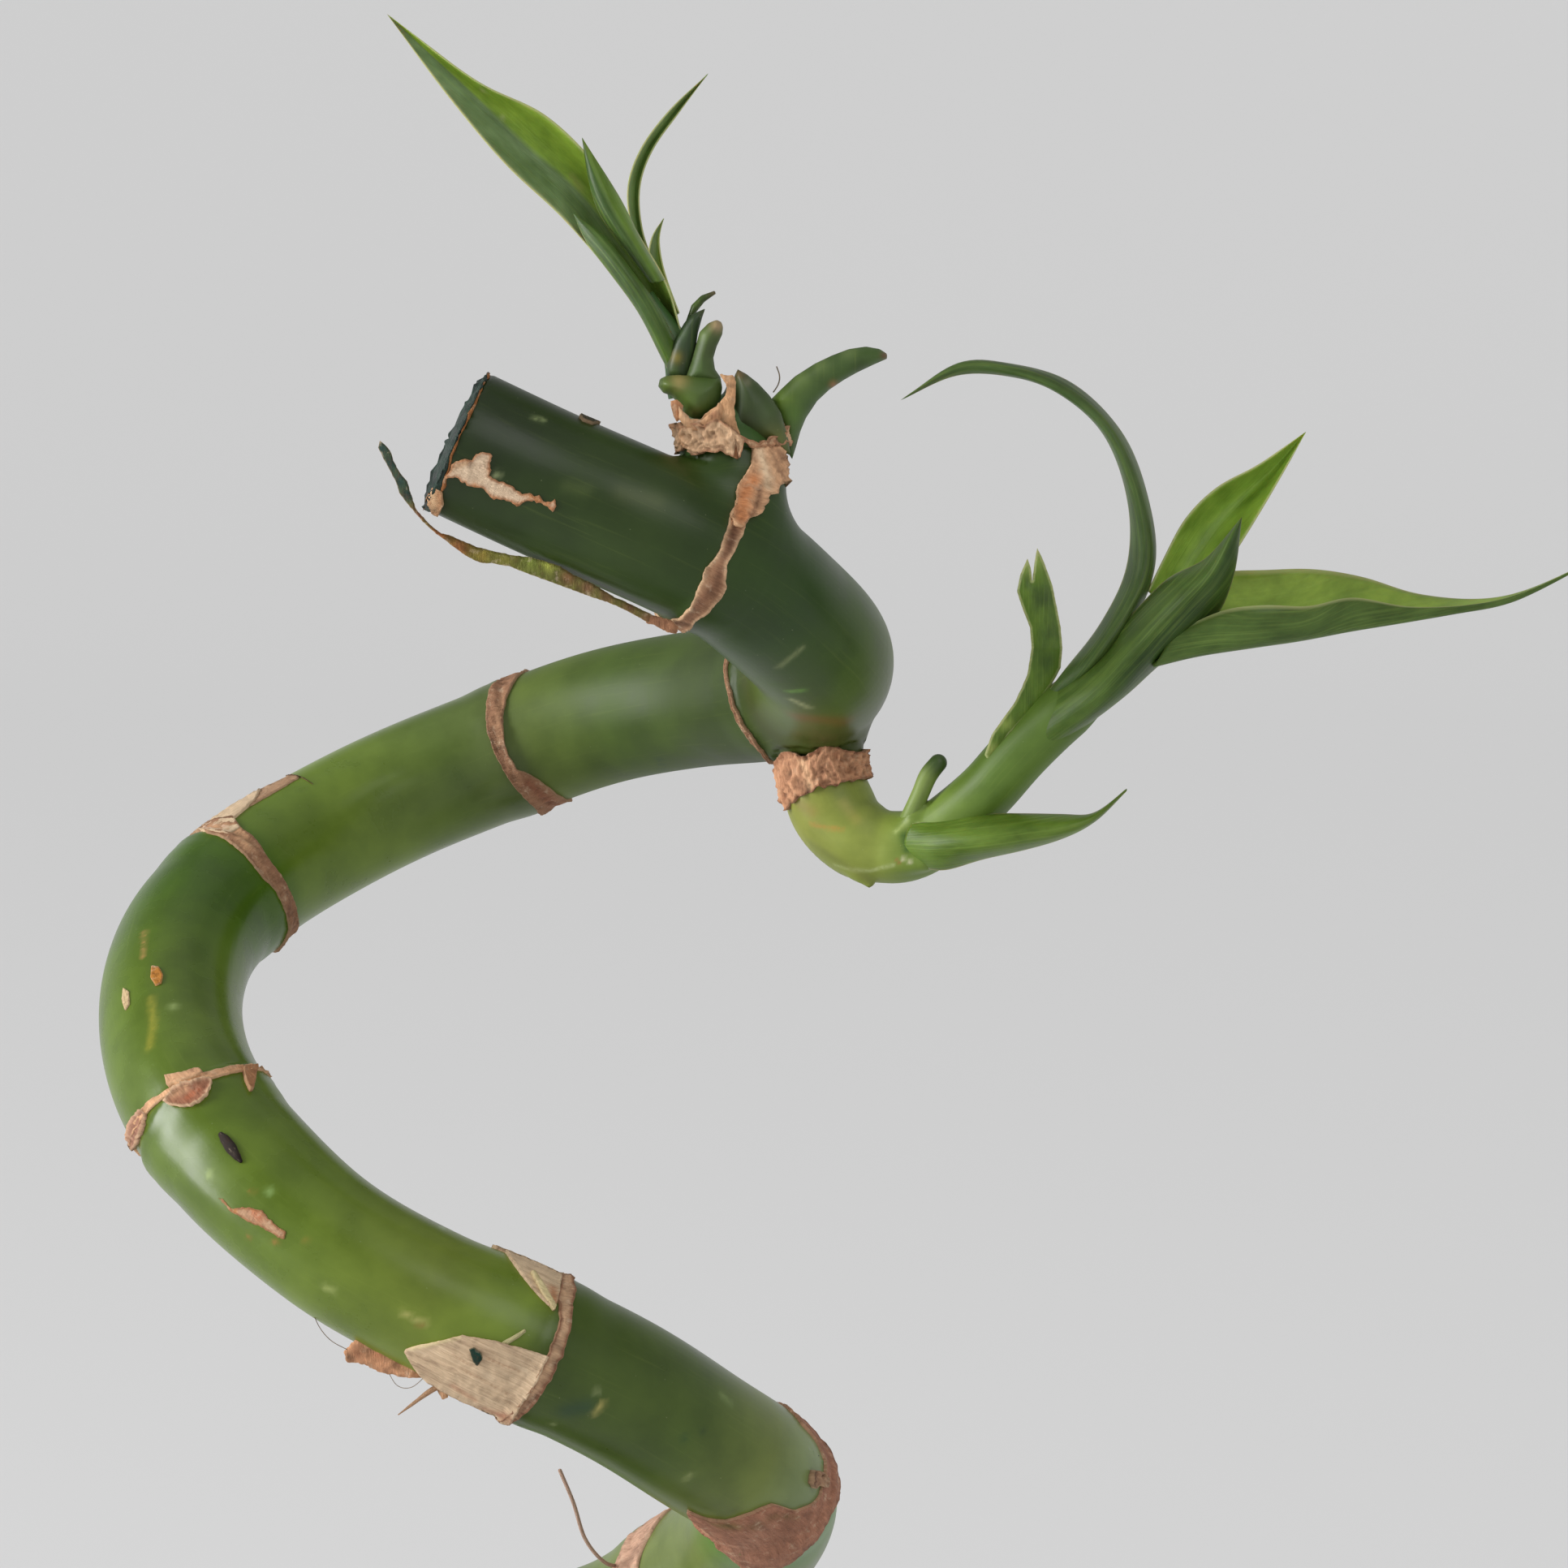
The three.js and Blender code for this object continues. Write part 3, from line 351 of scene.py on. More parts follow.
def remeshed(parts, voxel):
    """The points and faces of one skin round closed parts that overlap."""
    points = np.vstack([part[0] for part in parts])
    faces = []
    start = 0
    for part_points, part_faces in parts:
        faces += [[corner + start for corner in face] for face in part_faces]
        start += len(part_points)
    mesh = bpy.data.meshes.new("remesh")
    mesh.from_pydata(points.tolist(), [], faces)
    work = bpy.data.objects.new("remesh", mesh)
    bpy.context.scene.collection.objects.link(work)
    turn_outwards(work)
    modifier = work.modifiers.new("remesh", "REMESH")
    modifier.mode = "VOXEL"
    modifier.voxel_size = voxel
    modifier.adaptivity = 0
    done = work.evaluated_get(bpy.context.evaluated_depsgraph_get()).to_mesh()
    made = np.empty(len(done.vertices) * 3)
    done.vertices.foreach_get("co", made)
    quads = [list(face.vertices) for face in done.polygons]
    bpy.data.objects.remove(work)
    bpy.data.meshes.remove(mesh)
    return made.reshape(-1, 3), quads


class Limb:
    """A round limb with a radius that changes along it."""

    def __init__(self, route, radii, step=0.5, passes=6):
        self.path = Path(route, step, passes)
        self.radius_at = along(radii)

    def radius(self, s):
        return self.radius_at(np.asarray(s, float) / self.path.length)

    def depth(self, points):
        s, _, distance = self.path.locate(points)
        return distance - self.radius(s)

    def closed(self, sides=24, step=0.5):
        count = max(4, round(self.path.length / step))
        return tube(self.path, self.radius, sides, np.linspace(0, self.path.length, count))


def blended(depths, blend):
    """The smooth union of distance fields."""
    joint = depths[0]
    for depth in depths[1:]:
        h = np.clip(0.5 + 0.5 * (joint - depth) / blend, 0, 1)
        joint = joint * (1 - h) + depth * h - blend * h * (1 - h)
    return joint


def drawn_onto(points, field, passes=3, reach=0.02, most=1.5):
    """Moves points onto the surface where a distance field is nought."""
    points = points.copy()
    for _ in range(passes):
        here = field(points)
        slope = np.stack([(field(points + step) - here) / reach for step in np.eye(3) * reach], -1)
        slope_square = np.maximum((slope ** 2).sum(-1), 0.2)
        move = -slope * (here / slope_square)[:, None]
        length = np.linalg.norm(move, axis=1, keepdims=True)
        points += move * np.minimum(1, most / np.maximum(length, TINY))
    return points


# ---- Materials ----------------------------------------------------------------------------------

SKIN_STREAK = srgb(150, 165, 80)
SKIN_FLECK = srgb(165, 172, 130)
LEAF_VEIN = srgb(150, 178, 84)
LEAF_MARGIN = srgb(186, 192, 132)
PAPER_STAIN = srgb(96, 58, 40)
PAPER_BLEACH = srgb(222, 200, 170)
PAPER_EDGE = srgb(208, 176, 138)
WAX_COLOURS = [srgb(8, 24, 18), srgb(32, 60, 46)]
GLAZE_WHITES = [srgb(216, 210, 196), srgb(236, 232, 222)]
GLAZE_SPECK = srgb(150, 128, 98)
PEBBLE_GRAIN = (0.05, 0.05, 0.05)


class Shader:
    """A Principled material whose inputs are fed by nodes."""

    def __init__(self, name, **constants):
        self.material = bpy.data.materials.new(name)
        self.material.use_nodes = True
        self.tree = self.material.node_tree
        self.base = self.tree.nodes["Principled BSDF"]
        for key, value in constants.items():
            self.base.inputs[key.replace("_", " ").title().replace("Ior", "IOR")].default_value = value

    def node(self, kind, inputs, output=0, **properties):
        made = self.tree.nodes.new("ShaderNode" + kind)
        for key, value in properties.items():
            setattr(made, key, value)
        for key, value in inputs.items():
            if isinstance(value, bpy.types.NodeSocket):
                self.tree.links.new(value, made.inputs[key])
            else:
                made.inputs[key].default_value = value
        return made.outputs[output]

    def value(self, name):
        return self.node("Attribute", {}, "Fac", attribute_name=name)

    def vector(self, name):
        return self.node("Attribute", {}, "Vector", attribute_name=name)

    def place(self):
        """The place on the object, in metres."""
        return self.node("TexCoord", {}, "Object")

    def scaled(self, vector, factors):
        return self.node("Mapping", {"Vector": vector, "Scale": factors})

    def noise(self, vector, scale, detail=4.0, roughness=0.55, distortion=0.0):
        return self.node("TexNoise", {
            "Vector": vector, "Scale": scale, "Detail": detail, "Roughness": roughness,
            "Distortion": distortion,
        })

    def cells(self, vector, scale):
        return self.node("TexVoronoi", {"Vector": vector, "Scale": scale}, "Distance")

    def spread(self, value, low, high, start=0.0, end=1.0):
        return self.node("MapRange", {
            "Value": value, "From Min": low, "From Max": high, "To Min": start, "To Max": end,
        })

    def math(self, operation, a, b=0.0):
        return self.node("Math", {0: a, 1: b}, operation=operation)

    def mix(self, a, b, factor):
        a, b = (value if isinstance(value, bpy.types.NodeSocket) else (*value, 1) for value in (a, b))
        return self.node("Mix", {0: factor, 6: a, 7: b}, 2, data_type="RGBA")

    def multiplied(self, a, b):
        return self.node("Mix", {0: 1.0, 6: a, 7: b}, 2, data_type="RGBA", blend_type="MULTIPLY")

    def bump(self, height, distance, strength):
        return self.node("Bump", {"Height": height, "Distance": distance, "Strength": strength})

    def done(self, colour, roughness, normal=None):
        self.tree.links.new(colour, self.base.inputs["Base Color"])
        self.tree.links.new(roughness, self.base.inputs["Roughness"])
        if normal is not None:
            self.tree.links.new(normal, self.base.inputs["Normal"])
        return self.material


def skin_material(name, gloss, streaks=0.3):
    """Living green skin: tint is its colour and grain runs along it."""
    shader = Shader(name, specular_ior_level=0.33)
    tint = shader.vector("tint")
    grain = shader.vector("grain")
    lines = shader.noise(shader.scaled(grain, (2.4, 2.4, 0.1)), 1.0, 5, 0.6)
    clouds = shader.noise(grain, 0.16, 4, 0.55)
    dust = shader.cells(grain, 0.62)
    shade = shader.mix((0.74, 0.76, 0.7), (1.08, 1.06, 1.1), shader.spread(clouds, 0.32, 0.64))
    colour = shader.multiplied(tint, shade)
    streaked = shader.mix(colour, SKIN_STREAK, shader.spread(lines, 0.58, 0.9, 0, streaks))
    fleck = shader.math("MULTIPLY", shader.spread(dust, 0.0, 0.05, 1, 0), 0.4)
    flecked = shader.mix(streaked, SKIN_FLECK, fleck)
    rough = shader.math("ADD", shader.value("dull"), shader.spread(clouds, 0.3, 0.7, gloss, gloss + 0.1))
    height = shader.math("ADD", shader.math("MULTIPLY", lines, 0.3), shader.math("MULTIPLY", clouds, 0.7))
    return shader.done(flecked, rough, shader.bump(height, 0.0001, 0.35))


def leaf_material():
    """Leaf blade: tint is its colour, grain is across and along it, and margin is 1 at its edges."""
    shader = Shader("leaf_blade", specular_ior_level=0.28, subsurface_weight=0.12, subsurface_scale=0.001)
    tint = shader.vector("tint")
    grain = shader.vector("grain")
    veins = shader.noise(shader.scaled(grain, (6.0, 0.1, 1)), 1.0, 4, 0.55)
    clouds = shader.noise(shader.scaled(grain, (0.7, 0.2, 1)), 1.0, 4, 0.6)
    shade = shader.mix((0.62, 0.66, 0.56), (1.2, 1.17, 1.22), shader.spread(clouds, 0.32, 0.68))
    colour = shader.multiplied(tint, shade)
    veined = shader.mix(colour, LEAF_VEIN, shader.spread(veins, 0.5, 0.82, 0, 0.3))
    edge = shader.spread(shader.value("margin"), 0.95, 1.0, 0, 0.75)
    edged = shader.mix(veined, LEAF_MARGIN, edge)
    rough = shader.spread(clouds, 0.3, 0.7, 0.36, 0.48)
    return shader.done(edged, rough, shader.bump(veins, 0.00012, 0.5))


def paper_material():
    """Dried sheath: tint is its colour, grain runs along its fibres, and edge is 0 at a torn edge."""
    shader = Shader("dried_sheath", specular_ior_level=0.2)
    grain = shader.vector("grain")
    fibres = shader.noise(shader.scaled(grain, (5.0, 5.0, 0.7)), 1.0, 6, 0.65, 0.6)
    clouds = shader.noise(grain, 0.9, 6, 0.65)
    shade = shader.mix((0.78, 0.72, 0.68), (1.18, 1.18, 1.18), shader.spread(fibres, 0.3, 0.7))
    colour = shader.multiplied(shader.vector("tint"), shade)
    stained = shader.mix(colour, PAPER_STAIN, shader.spread(clouds, 0.54, 0.74, 0, 0.55))
    bleached = shader.mix(stained, PAPER_BLEACH, shader.spread(clouds, 0.26, 0.44, 0.5, 0))
    edged = shader.mix(PAPER_EDGE, bleached, shader.spread(shader.value("edge"), 0.0, 0.1, 0.7, 1))
    height = shader.math("ADD", fibres, shader.math("MULTIPLY", clouds, 0.9))
    rough = shader.spread(fibres, 0.2, 0.8, 0.6, 0.85)
    return shader.done(edged, rough, shader.bump(height, 0.00028, 0.8))


def wax_material():
    shader = Shader("sealing_wax", specular_ior_level=0.35)
    lumpy = shader.noise(shader.place(), 900, 4, 0.6)
    colour = shader.mix(*WAX_COLOURS, shader.spread(lumpy, 0.35, 0.75))
    return shader.done(colour, shader.spread(lumpy, 0.3, 0.7, 0.4, 0.6), shader.bump(lumpy, 0.0006, 0.9))


def glaze_material():
    shader = Shader("vase_glaze", specular_ior_level=0.5, coat_weight=0.4, coat_roughness=0.08)
    place = shader.place()
    clouds = shader.noise(place, 18, 4, 0.55)
    specks = shader.cells(place, 420)
    white = shader.mix(*GLAZE_WHITES, shader.spread(clouds, 0.3, 0.7))
    colour = shader.mix(white, GLAZE_SPECK, shader.spread(specks, 0.0, 0.09, 0.55, 0))
    ripple = shader.noise(place, 60, 3, 0.5)
    return shader.done(colour, shader.spread(clouds, 0.3, 0.7, 0.16, 0.28), shader.bump(ripple, 0.0004, 0.5))


def pebble_material():
    shader = Shader("pebble_stone", specular_ior_level=0.5)
    place = shader.place()
    tint = shader.vector("tint")
    grains = shader.noise(place, 1500, 4, 0.7)
    bands = shader.noise(shader.scaled(place, (90, 90, 420)), 1.0, 4, 0.6, 0.8)
    shade = shader.mix((0.62, 0.62, 0.62), (1.2, 1.2, 1.2), shader.spread(bands, 0.3, 0.7))
    colour = shader.multiplied(tint, shade)
    speckled = shader.mix(colour, PEBBLE_GRAIN, shader.spread(grains, 0.58, 0.72, 0, 0.5))
    rough = shader.spread(bands, 0.3, 0.7, 0.3, 0.55)
    return shader.done(speckled, rough, shader.bump(grains, 0.0002, 0.5))


# ---- Cane ---------------------------------------------------------------------------------------

CANE_ROUTE = [
    [-2, -19.5, 299], [7.5, -19.5, 294.5], [17, -20.5, 290.5], [24.5, -18, 286.5], [29.5, -11, 281.5],
    [34, -2, 275.6], [32.8, 6.5, 271.5], [27.6, 14, 269.5], [21.2, 22, 267.8], [10, 29, 264.7],
    [-1.5, 31, 260.2], [-12.5, 29.5, 255.9], [-21, 25, 252], [-27.3, 18, 248.8], [-32, 8.5, 244.8],
    [-33.1, -2.5, 240], [-31.6, -11, 235.6], [-28.1, -19, 231.5], [-21.4, -26, 226.1], [-13, -31, 220.5],
    [-3.5, -33.5, 216], [6, -33.5, 211.5], [14.5, -30, 206.1], [22, -24, 199.2], [27.5, -16, 193],
    [28, -7, 186.5], [25, 1, 180], [19.5, 7.5, 174.5], [13, 11.5, 168.5], [-4, 20, 160.5],
    [-21, 19.5, 153.5], [-33, 7, 146], [-33, -9, 138], [-22, -19.5, 129], [-8, -16, 118], [-1, -6, 106],
    [0, 0, 92], [0, 0, 75], [0, 0, 16],
]
CANE_RADIUS = 7.3
CANE_NODES = [26.3, 64.4, 103.4, 142.2, 183.3, 225, 261, 292.5, 331, 369, 407, 441]
NODE_SWELLING = [[-6, 0], [-1, 0], [0, 0.35], [1.2, 0.25], [5, 0]]
CANE_GIRTH = [[188, 0], [202, -0.35], [214, -0.35], [221, 0]]
UPPER_NECK = Limb([[25, -18, 288], [25.1, -17.6, 294.5], [25.1, -17, 298]], [[0, 5.6], [0.7, 5.1], [1, 4.8]])
LOWER_NECK = Limb(
    [[33, 6.8, 270], [33.8, 6.2, 266.6], [33.9, 5.5, 263.8]], [[0, 5.4], [0.5, 4.6], [1, 4.3]])
NECK_BLEND = 2.2  # how widely a neck runs into the cane
FORKED = 74  # the necks are on the cane's first stretch, down to here
CANE_STEP = 0.8
CANE_SIDES = 72
NECK_SIDES = 48
CANE_VOXEL = 0.5
CUT_EDGE = 0.6  # how near a cut end the skin is left as it is
# Colours along the cane. The pale stop at 52 is partly a painted sheen on the underside of the first bend,
# and the pale stop at 100 partly a painted highlight.
CANE_TINTS = [
    [0, srgb(31, 47, 12)], [20, srgb(44, 63, 17)], [34, srgb(39, 65, 12)], [44, srgb(57, 80, 21)],
    [52, srgb(82, 101, 40)], [60, srgb(61, 71, 23)], [64, srgb(53, 71, 18)], [72, srgb(52, 69, 18)],
    [88, srgb(67, 88, 27)], [100, srgb(89, 107, 42)], [104, srgb(81, 96, 47)], [112, srgb(86, 106, 44)],
    [124, srgb(105, 128, 42)], [138, srgb(94, 118, 34)], [142, srgb(65, 96, 12)], [152, srgb(64, 94, 12)],
    [165, srgb(85, 108, 29)], [181, srgb(89, 110, 36)], [184, srgb(84, 106, 30)], [200, srgb(93, 114, 34)],
    [214, srgb(102, 118, 39)], [222, srgb(111, 133, 43)], [225, srgb(64, 83, 25)], [240, srgb(70, 90, 27)],
    [250, srgb(102, 116, 48)], [258, srgb(121, 138, 92)], [262, srgb(85, 127, 54)],
    [275, srgb(102, 116, 57)], [290, srgb(112, 125, 70)], [330, srgb(92, 120, 42)],
    [400, srgb(78, 106, 38)], [520, srgb(88, 112, 46)],
]
CANE_DULLNESS = [
    [0, 0.07], [56, 0.07], [66, 0.22], [98, 0.2], [108, 0.0], [180, -0.03], [228, 0.02], [262, 0.04],
]

cane_path = Path(CANE_ROUTE)
swelling = along(NODE_SWELLING)
girth = along(CANE_GIRTH)
cane_tint = along(CANE_TINTS, straight=True)
cane_dullness = along(CANE_DULLNESS)


def cane_radius(s):
    s = np.asarray(s, float)
    off = s[..., None] - np.array(CANE_NODES)
    nearest = np.take_along_axis(off, np.abs(off).argmin(-1)[..., None], -1)[..., 0]
    return CANE_RADIUS + swelling(nearest) + girth(s)


def cane_depth(points):
    """How far points are outside the cane's forked top."""
    s, _, distance = cane_path.locate(points, 0, FORKED + 12)
    stem = distance - cane_radius(s)
    return blended([stem, UPPER_NECK.depth(points), LOWER_NECK.depth(points)], NECK_BLEND)


# Soft colour on the cane. Each stretch of its route, in millimetres, has its strokes: pixels, half width in
# millimetres, colour and strength.
CANE_STROKES = [
    ((26, 60), [([(960, 822), (988, 799)], 0.35, srgb(140, 150, 100), 0.5)]),
    ((26, 66), [([(973, 852), (989, 851)], 0.35, srgb(110, 160, 60), 0.8)]),
    (
        (26, 74),
        [
            ([(984, 884), (1040, 890)], 1.2, srgb(112, 84, 36), 0.7),
            ([(975, 862), (996, 872)], 0.35, srgb(176, 182, 130), 0.7),
        ],
    ),
    (
        (0, 26),
        [
            ([(712, 516), (738, 520)], 0.6, srgb(40, 40, 26), 0.7),
            ([(660, 515), (668, 517)], 0.3, srgb(150, 165, 110), 0.7),
            ([(612, 586)], 0.35, srgb(170, 180, 130), 0.7),
            # These two pale strokes along the top strand's middle are a painted highlight.
            ([(700, 600), (722, 604)], 0.7, srgb(96, 110, 60), 0.25),
            ([(765, 607), (810, 618)], 0.9, srgb(104, 112, 60), 0.22),
        ],
    ),
    ((0, 14), [([(574, 470), (548, 560)], 0.5, srgb(120, 84, 44), 0.5)]),
    (
        (64, 104),
        [
            ([(813, 936), (818, 948)], 0.5, srgb(52, 74, 34), 0.8),
            ([(856, 922), (872, 928)], 0.4, srgb(64, 82, 40), 0.7),
        ],
    ),
    (
        (142, 184),
        [
            ([(186, 1230), (189, 1262), (184, 1290)], 0.4, srgb(168, 160, 60), 0.6),
            ([(178, 1148), (176, 1178)], 0.25, srgb(180, 140, 84), 0.8),
            ([(214, 1240)], 0.5, srgb(160, 180, 110), 0.8),
            # This broad darker green band down the stretch is painted shade on its side away from the key
            # light.
            ([(250, 1000), (258, 1100), (246, 1200)], 2.0, srgb(60, 86, 24), 0.35),
        ],
    ),
    (
        (184, 225),
        [
            ([(258, 1447)], 0.35, srgb(170, 190, 110), 0.8), ([(332, 1468)], 0.4, srgb(150, 180, 110), 0.7),
            ([(308, 1467), (312, 1468)], 0.18, srgb(150, 110, 50), 0.7),
            ([(306, 1524)], 0.22, srgb(150, 106, 50), 0.7),
            ([(337, 1530), (342, 1531)], 0.2, srgb(160, 110, 56), 0.7),
            ([(378, 1530)], 0.2, srgb(190, 120, 60), 0.9),
            ([(497, 1618), (512, 1626), (526, 1630)], 0.28, srgb(160, 158, 90), 0.7),
            ([(516, 1634), (522, 1635)], 0.2, srgb(140, 100, 56), 0.8),
            ([(400, 1586), (410, 1590)], 0.35, srgb(170, 180, 110), 0.5),
            ([(545, 1513)], 0.35, srgb(160, 180, 140), 0.8),
        ],
    ),
    (
        (225, 262),
        [
            ([(700, 1738), (722, 1734)], 1.0, srgb(34, 66, 48), 0.6),
            ([(732, 1742), (742, 1730)], 0.3, srgb(170, 160, 90), 0.9),
            ([(736, 1714)], 0.3, srgb(150, 160, 110), 0.8), ([(681, 1755)], 0.3, srgb(150, 160, 110), 0.6),
            ([(843, 1772)], 0.5, srgb(40, 70, 30), 0.6), ([(866, 1763)], 0.4, srgb(44, 66, 28), 0.6),
            ([(890, 1720), (900, 1728)], 0.4, srgb(120, 140, 80), 0.6),
            ([(846, 1822), (850, 1818)], 0.35, srgb(150, 160, 100), 0.6),
            ([(888, 1868), (905, 1862)], 0.7, srgb(84, 96, 30), 0.7),
        ],
    ),
]


def cane_grain(s, angle):
    """Where places on the skin lie on a straight cane, for the material's noise."""
    return cylindrical(angle, CANE_RADIUS, s)


def cane_values(points):
    s, angle, _ = cane_path.locate(points)
    return {"tint": cane_tint(s), "grain": cane_grain(s, angle), "dull": cane_dullness(s)}


def make_cane_shape():
    """The whole cane as one skin, with its necks running smoothly into it."""
    stations = np.append(np.arange(0, cane_path.length, CANE_STEP), cane_path.length)
    stem = tube(cane_path, cane_radius, CANE_SIDES, stations)
    necks = [neck.closed(NECK_SIDES) for neck in (UPPER_NECK, LOWER_NECK)]
    skin, quads = remeshed([stem, *necks], CANE_VOXEL)
    s, angle, _ = cane_path.locate(skin)
    plain = (s > FORKED) & (s < cane_path.length - CUT_EDGE)
    skin[plain] = cane_path.around(s[plain], angle[plain], cane_radius(s[plain]))
    forked = (s > CUT_EDGE) & (s <= FORKED)
    for limb in (UPPER_NECK, LOWER_NECK):
        off_end = np.linalg.norm(skin - limb.path.line[-1], axis=1)
        forked &= off_end > limb.radius(limb.path.length) + CANE_VOXEL
    skin[forked] = drawn_onto(skin[forked], cane_depth)
    shape = Shape().add(skin, quads, **cane_values(skin))
    surface = Surface(shape, cane_path, cane_radius)
    for stretch, strokes in CANE_STROKES:
        shape.stroke(strokes, surface, stretch)
    return shape


# ---- What lies on the cane's skin ---------------------------------------------------------------

STROKE_STEP = 4  # pixels between the places of a stroke
PATCH_SINK = 0.3
RIM_WIDTH = 0.2
FINGER_STEP = 0.25
FINGER_END_RINGS = 6


class Surface:
    """A skin round a path, to be seen through a pixel or from its middle line."""

    def __init__(self, shape, path=None, radius_at=None):
        self.tree = BVHTree.FromPolygons(shape.points.tolist(), shape.faces)
        self.path = path
        self.radius_at = radius_at

    def seen(self, u, v, low=None, high=None):
        """The point and normal that the camera sees at a pixel, or past the outline the nearest ones, on
        the stretch from low to high along the path."""
        ray = unit(sight(u, v))
        hit, normal, _, _ = self.tree.ray_cast(Vector(EYE), Vector(ray))
        if hit is not None:
            if low is None or low <= self.path.locate([hit])[0][0] <= high:
                return np.array(hit), np.array(normal)
        if self.path is None:
            return None
        chosen = self.path.line if low is None else self.path.line[
            (self.path.places >= low) & (self.path.places <= high)]
        off = chosen - EYE
        depth = off @ ray
        nearest = np.linalg.norm(off - depth[:, None] * ray, axis=1).argmin()
        guess = EYE + ray * depth[nearest]
        s, angle, _ = self.path.locate([guess], low, high)
        point = self.path.around(s, angle, self.radius_at(s))[0]
        return point, unit(point - self.path.at(s)[0][0])

    def all_seen(self, pixels, stretch=()):
        """Points and normals for many pixels. Where nothing is seen they are the nearest on the skin."""
        found = [self.seen(u, v, *stretch) for u, v in pixels]
        good = [k for k, place in enumerate(found) if place is not None]
        for k, (u, v) in enumerate(pixels):
            if found[k] is None:
                near = min(good, key=lambda other: np.hypot(*(np.array(pixels[other]) - (u, v))))
                ray = unit(sight(u, v))
                guess = EYE + ray * ((found[near][0] - EYE) @ ray)
                point, normal, _, _ = self.tree.find_nearest(Vector(guess))
                found[k] = (np.array(point), np.array(normal))
        return np.array([point for point, _ in found]), np.array([normal for _, normal in found])

    def radius(self, s, angle, limit=1.0):
        """How far out the skin lies at a place along the path, with what grows on it cut short."""
        middle = self.path.at(s)[0]
        out = self.path.around(s, angle, 1.0) - middle
        hit = self.tree.ray_cast(Vector(middle), Vector(out))[0]
        plain = float(self.radius_at(s))
        if hit is None:
            return plain
        return min((hit - Vector(middle)).length, plain + limit)


def stroked(tints, points, strokes, surface, stretch=()):
    """Tints with soft strokes over them. A stroke is its pixels, its half width, colour and strength."""
    tints = np.array(tints, float)
    for pixels, half, colour, strength in strokes:
        pixels = np.atleast_2d(pixels)
        if len(pixels) > 1:
            places = distances(pixels)
            even = np.linspace(0, places[-1], max(2, round(places[-1] / STROKE_STEP)))
            pixels = np.stack([np.interp(even, places, pixels[:, k]) for k in range(2)], -1)
        line = surface.all_seen([tuple(pixel) for pixel in pixels], stretch)[0]
        reach = 2.5 * half
        near = np.flatnonzero(((points > line.min(0) - reach) & (points < line.max(0) + reach)).all(1))
        if not len(near):
            continue
        gap = ((points[near, None, :] - line[None]) ** 2).sum(-1).min(1)
        share = (strength * np.exp(-gap / half ** 2))[:, None]
        tints[near] = mixed(tints[near], colour, share)
    return tints


def blurred_outline(outline, spacing, jag, seed):
    """An outline in pixels with points evenly along it, torn unevenly."""
    outline = np.asarray(outline, float)
    loop = np.vstack([outline, outline[:1]])
    places = distances(loop)
    count = max(8, round(places[-1] / spacing))
    even = np.arange(count) / count * places[-1]
    points = np.stack([np.interp(even, places, loop[:, k]) for k in range(2)], -1)
    after, before = np.roll(points, -1, 0), np.roll(points, 1, 0)
    along_line = after - before
    out = np.stack([along_line[:, 1], -along_line[:, 0]], -1)
    out /= np.maximum(np.linalg.norm(out, axis=1, keepdims=True), TINY)
    flat = np.column_stack([points, np.zeros(count)])
    torn = (lumps(flat, 6.0, seed) + 0.6 * lumps(flat, 2.2, seed + 5)) * jag
    return points + out * torn[:, None]


def inside(points, outline):
    """Which points lie in a closed outline."""
    after = np.roll(outline, -1, 0)
    across = (outline[None, :, 1] > points[:, None, 1]) != (after[None, :, 1] > points[:, None, 1])
    rise = after[:, 1] - outline[:, 1]
    run = (after[:, 0] - outline[:, 0]) / np.where(rise == 0, TINY, rise)
    cross = outline[None, :, 0] + (points[:, None, 1] - outline[None, :, 1]) * run[None]
    return (across & (points[:, None, 0] < cross)).sum(1) % 2 == 1


def filled(outline, spacing, jag, seed):
    """Corners and triangles that fill an outline in pixels, and how far each corner is from its edge."""
    edge = blurred_outline(outline, spacing, jag, seed)
    low, high = edge.min(0), edge.max(0)
    inner = np.array([
        (u, v)
        for i, v in enumerate(np.arange(low[1], high[1], spacing * 0.87))
        for u in np.arange(low[0] + (i % 2) * spacing / 2, high[0], spacing)
    ])
    gap = np.linalg.norm(inner[:, None, :] - edge[None], axis=-1).min(1)
    inner = inner[(gap > spacing * 0.6) & inside(inner, edge)]
    loop = [(k, (k + 1) % len(edge)) for k in range(len(edge))]
    made = geometry.delaunay_2d_cdt([Vector(p) for p in np.vstack([edge, inner])], loop, [], 1, 1e-4)
    corners = np.array([(p.x, p.y) for p in made[0]])
    gap = np.linalg.norm(corners[:, None, :] - edge[None], axis=-1).min(1) / (FOCAL / CAMERA_DISTANCE)
    return corners, [list(face) for face in made[2]], gap


def sandwiched(shape, upper, lower, triangles, **values):
    """Adds a closed sheet between two layers of the same corners."""
    count = len(upper)
    uses = {pair for a, b, c in triangles for pair in ((a, b), (b, c), (c, a))}
    rim = [pair for pair in uses if (pair[1], pair[0]) not in uses]
    faces = triangles + [[c + count, b + count, a + count] for a, b, c in triangles]
    faces += [[b, a, a + count, b + count] for a, b in rim]
    doubled = {key: np.concatenate([value, value]) for key, value in values.items()}
    return shape.add(np.vstack([upper, lower]), faces, **doubled)


def rimmed(tints, gap, rim):
    """Tints with another colour along the edge."""
    if rim is None:
        return tints
    return mixed(tints, rim, np.exp(-(gap / RIM_WIDTH) ** 2)[:, None])


def shaded(tints, folds_there, depth):
    """Tints with painted shade in their folds and painted light on their ridges."""
    return tints * np.clip(1 + depth * folds_there, 0.35, 1.5)[:, None]


